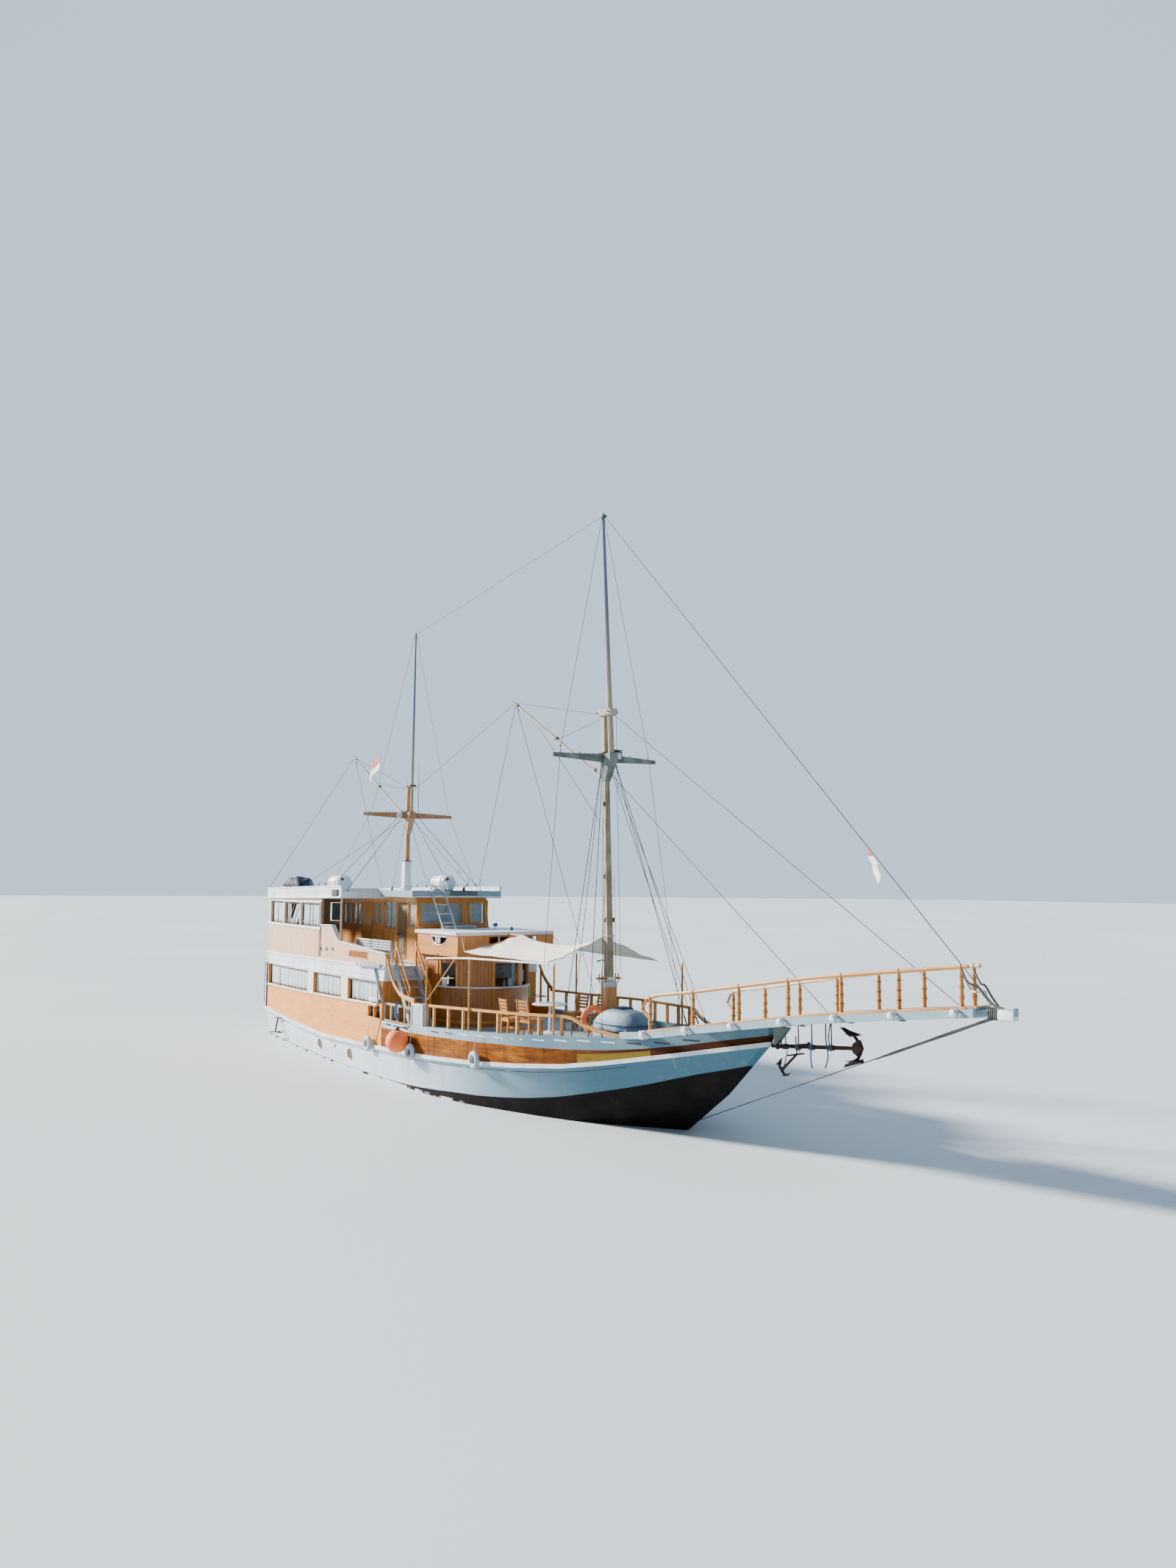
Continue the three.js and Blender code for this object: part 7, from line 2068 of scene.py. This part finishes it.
def make_bowsprit():
    """Capping, cross-beam ends, lashings, tip and knee of the bowsprit platform."""
    shape = Shape(100)
    for side in SIGNS:
        for a, b in zip(CROSSES, CROSSES[1:] + [18.25]):
            p, q = a + 0.07, b - 0.07
            shape.beam((p, side * (frame_half(p) + 0.02), along(FRAME_TOP, p) + 0.018),
                       (q, side * (frame_half(q) + 0.02),
                        along(FRAME_TOP, q) + 0.018), 0.045, 0.036, HONEY_ALONG)
        for k, x in enumerate(CROSSES):
            y, z = side * (frame_half(x) + 0.045), along(FRAME_TOP, x) - 0.055
            shape.turned((x, y - side * 0.05, z), (0, side, 0), [(0, 0.062), (0.05, 0.074), (0.12, 0.07),
                         (0.15, 0.052), (0.162, 0.02)], WHITE, 18)
            shape.turned((x + 0.1, y - side * 0.04, z - 0.03), (0, side, 0),
                         [(0, 0.04), (0.08, 0.045), (0.1, 0.02)],
                         PALE_PAINT, 12)
            inset = side * (frame_half(x) - 0.12)
            low = along(FRAME_TOP, x) + 0.03
            wood_ring = DARK_WOOD if (k + (side > 0)) % 2 else ROPE_DARK
            bark = [(0.0, 0.046)]
            for step, wide in enumerate((0.038, 0.041, 0.05, 0.037, 0.04, 0.048, 0.035, 0.038, 0.044, 0.033)):
                bark.append((0.05 + 0.058 * step, wide + 0.003 * sin(2.1 * step + 1.7 * k + side)))
            shape.turned((x, inset, low), UP, bark + [(0.62, 0.034)], HONEY_Z, 14)
            for share, wide in ((0.26, 0.05), (0.52, 0.048), (0.8, 0.044)):
                shape.turned((x, inset, low + 0.64 * share - 0.012), UP,
                             [(0, wide - 0.006), (0.01, wide + 0.004), (0.026, wide - 0.006)], wood_ring, 12)
            shape.hoop((x, inset, low + 0.662), FORE, 0.044, 0.008, ROPE_WHITE, 18, 6)
    shape.box(18.6, 18.905, -0.082, 0.082, 3.07, 3.24, WHITE, 0.02)
    for x in (18.44, 18.475, 18.51, 18.55, 18.585):
        shape.lashing(x, 0, 3.155, 0.082, 0.082, 0.014, ROPE_DARK)
    corner = [(13.47, 2.1), (13.52, 2.1), (13.86, 2.46), (13.47, 2.46)]
    shape.prism([(x, -0.055, z) for x, z in corner], [(x, 0.055, z) for x, z in corner], GREEN_GREY)
    for x in (10.93, 12.08):
        for side in SIGNS:
            y, z = side * frame_half(x), along(FRAME_TOP, x) - 0.069
            for k in range(5):
                shape.lashing(x - 0.1 + 0.035 * k, y, z, 0.05, 0.083, 0.013, ROPE_WHITE)
    for x in (14.2, 15.4, 16.6):
        for k in range(4):
            shape.lashing(x + 0.034 * k, 0, along(FRAME_TOP, x) - 0.09, 0.074, 0.074, 0.013, ROPE_DARK)
    low, high = node_ends("bobstay")
    way = (high - low).normalized()
    length = (high - low).length
    points = [low + way * length * s for s in (0.66, 0.72, 0.8, 0.88, 0.95, 0.995)]
    shape.tube(points, [0.014, 0.026, 0.022, 0.03, 0.024, 0.03], ROPE_DARK, 10)
    shape.make("bowsprit_details")


def make_anchor_details():
    """Bills and lashings of the main anchor, and the small second one that hangs beside it."""
    shape = Shape(102)
    for tip, root, side in (((15.17, 0, 2.6), (15.52, 0, 2.49), 1), ((15.25, 0, 1.89), (15.58, 0, 2.06), -1)):
        tip, root = Vector(tip), Vector(root)
        back = Vector((0.08, 0, 0.02 * side))
        for sign in SIGNS:
            outline = [tip, root + Vector((0, sign * 0.15, 0)), root + Vector((0.05, sign * 0.02, 0)) + back]
            shape.prism([p + lift(-0.012) for p in outline],
                        [p + lift(0.012) for p in outline],
                        IRON)
        shape.tube([tip, root], [0.012, 0.04], IRON, 10)
    crown = [(15.5, 2.34), (15.62, 2.42), (15.69, 2.27), (15.62, 2.12), (15.5, 2.19)]
    shape.prism([(x, -0.05, z) for x, z in crown], [(x, 0.05, z) for x, z in crown], IRON)
    shape.rod((13.95, -0.42, 2.13), (13.95, 0.42, 2.13), 0.028, IRON, 0.018, 12)
    shape.rod((13.95, 0.42, 2.13), (13.95, 0.44, 2.13), 0.04, IRON, sides=12)
    shape.turned((13.95, -0.45, 2.13), PORT, [(0, 0.02), (0.02, 0.042), (0.05, 0.042), (0.07, 0.02)], IRON,
                 14)
    shape.hoop((13.56, 0.0, 2.13), PORT, 0.075, 0.015, IRON, 24, 8)
    for x in (13.7, 14.05, 14.4, 14.9):
        z = 2.065 + (x - 13.43) * 0.0928
        for k in range(4):
            shape.lashing(x + 0.028 * k, 0, z, 0.04, 0.045, 0.011, ROPE_DARK)
        top = along(FRAME_TOP, x) - 0.15
        shape.rod((x + 0.05, 0.0, z + 0.03), (x + 0.04, 0.0, top), 0.012, ROPE_DARK, sides=8)
    shape.make("anchor_details")
    small = Shape(103)
    head, foot = Vector((14.22, -0.16, 2.02)), Vector((13.8, -0.16, 1.66))
    way = (foot - head).normalized()
    small.rod(head, foot, 0.022, IRON, 0.03, 10)
    small.rod(head + Vector((-0.04, -0.22, -0.02)), head + Vector((-0.04, 0.22, -0.02)), 0.016, IRON, sides=8)
    across = Vector((way.z, 0, -way.x))
    for sign in SIGNS:
        tip = foot + across * sign * 0.17 - way * 0.1
        small.tube([foot, foot + across * sign * 0.1, tip], [0.03, 0.026, 0.012], IRON, 10)
        outline = [tip - way * 0.06, foot + across * sign * 0.13 + Vector((0, 0.07, 0)),
                   foot + across * sign * 0.13 - Vector((0, 0.07, 0))]
        small.prism([p - across * sign * 0.008 for p in outline],
                    [p + across * sign * 0.008 for p in outline], IRON)
    small.rod((14.2, -0.16, 2.04), (14.12, -0.1, 2.33), 0.012, ROPE_DARK, sides=8)
    small.rod((13.86, -0.16, 1.72), (13.9, -0.1, 2.05), 0.01, ROPE_DARK, sides=8)
    small.hoop(head + Vector((0.02, 0, 0.03)), PORT, 0.045, 0.01, IRON, 18, 6)
    small.make("second_anchor")


def loose_rope(name, points, radius, material, body="boat"):
    """A rope made fast at its first point and hanging free."""
    rope = Shape(110)
    path = catmull(points, 5)
    rope.tube(path, radius, material, 7)
    rope.make(name, body=body)


def make_ropes():
    """The ropes that hang about the bow, the tip's tangle and the hank on the gate."""
    loose_rope("bow_rope_1", [(14.5, -0.06, 2.6), (14.52, -0.08, 2.3), (14.48, -0.07, 2.0),
                              (14.53, -0.08, 1.78)], 0.013,
               ROPE_BLUE)
    loose_rope("bow_rope_2", [(14.86, -0.06, 2.66), (14.88, -0.08, 2.36), (14.93, -0.08, 2.05),
                              (14.87, -0.09, 1.82)],
               0.013, ROPE_BLUE)
    loose_rope("bow_rope_3", [(14.98, -0.06, 2.68), (14.96, -0.09, 2.4), (15.02, -0.1, 2.15)], 0.012,
               ROPE_DARK)
    loose_rope("tip_rope_1", [(18.0, -0.17, 3.86), (18.14, -0.2, 3.66), (18.3, -0.13, 3.57),
                              (18.42, -0.1, 3.42),
                              (18.56, -0.06, 3.3), (18.7, -0.03, 3.26)], 0.02, ROPE_DARK)
    loose_rope("tip_rope_2", [(18.02, -0.16, 3.78), (18.1, -0.08, 3.55), (18.28, -0.18, 3.5),
                              (18.36, -0.02, 3.5),
                              (18.45, -0.12, 3.34), (18.6, 0.0, 3.27)], 0.016, ROPE_WHITE)
    loose_rope("tip_rope_3", [(18.0, 0.15, 3.84), (18.18, 0.1, 3.62), (18.32, 0.02, 3.6), (18.4, 0.1, 3.4),
                              (18.55, 0.05, 3.28)], 0.018, ROPE_DARK)
    y = -half(2.5) - 0.03
    for k in range(4):
        x = 2.42 + 0.035 * k
        loose_rope(f"gate_rope_{k + 1}", [(x, y + 0.03, 2.1), (x, y - 0.012, 2.08), (x - 0.02, y - 0.03, 1.9),
                                          (x + 0.02, y - 0.025, 1.74 - 0.02 * k), (x + 0.03, y - 0.015,
                                                                                   1.85)], 0.013,
                   ROPE_BLUE if k % 2 else ROPE_TEAL, body="gate")


make_curtains()
make_deck_furniture()
make_fenders()
make_life_ring()
make_side_trims()
make_stern_trims()
make_house_trims()
make_door_details()
make_helm()
make_awning_ropes(make_awning())
make_awning_fittings()
make_tender()
make_tarp()
make_drum("roof_tank_fore", 0.23)
make_drum("roof_tank_aft", 0.275)
make_ball_fender()
make_stairs()
make_side_fittings()
make_stern_rope()
make_saloon()
make_bench()
make_roof_details()
make_roof_cable()
make_masts()
make_gaff_details()
make_lines()
make_bowsprit()
make_anchor_details()
make_ropes()
flag("mizzen_flag", (-2.55, -1.02, 9.12), (-2.5, -1.1, 8.66), (-3.45, -0.96, 8.86), 3)
flag("stay_flag", (15.88, 0.0, 5.92), (16.1, 0.0, 5.64), (15.86, 0.1, 5.62), 5)
make_camera()
make_stage()
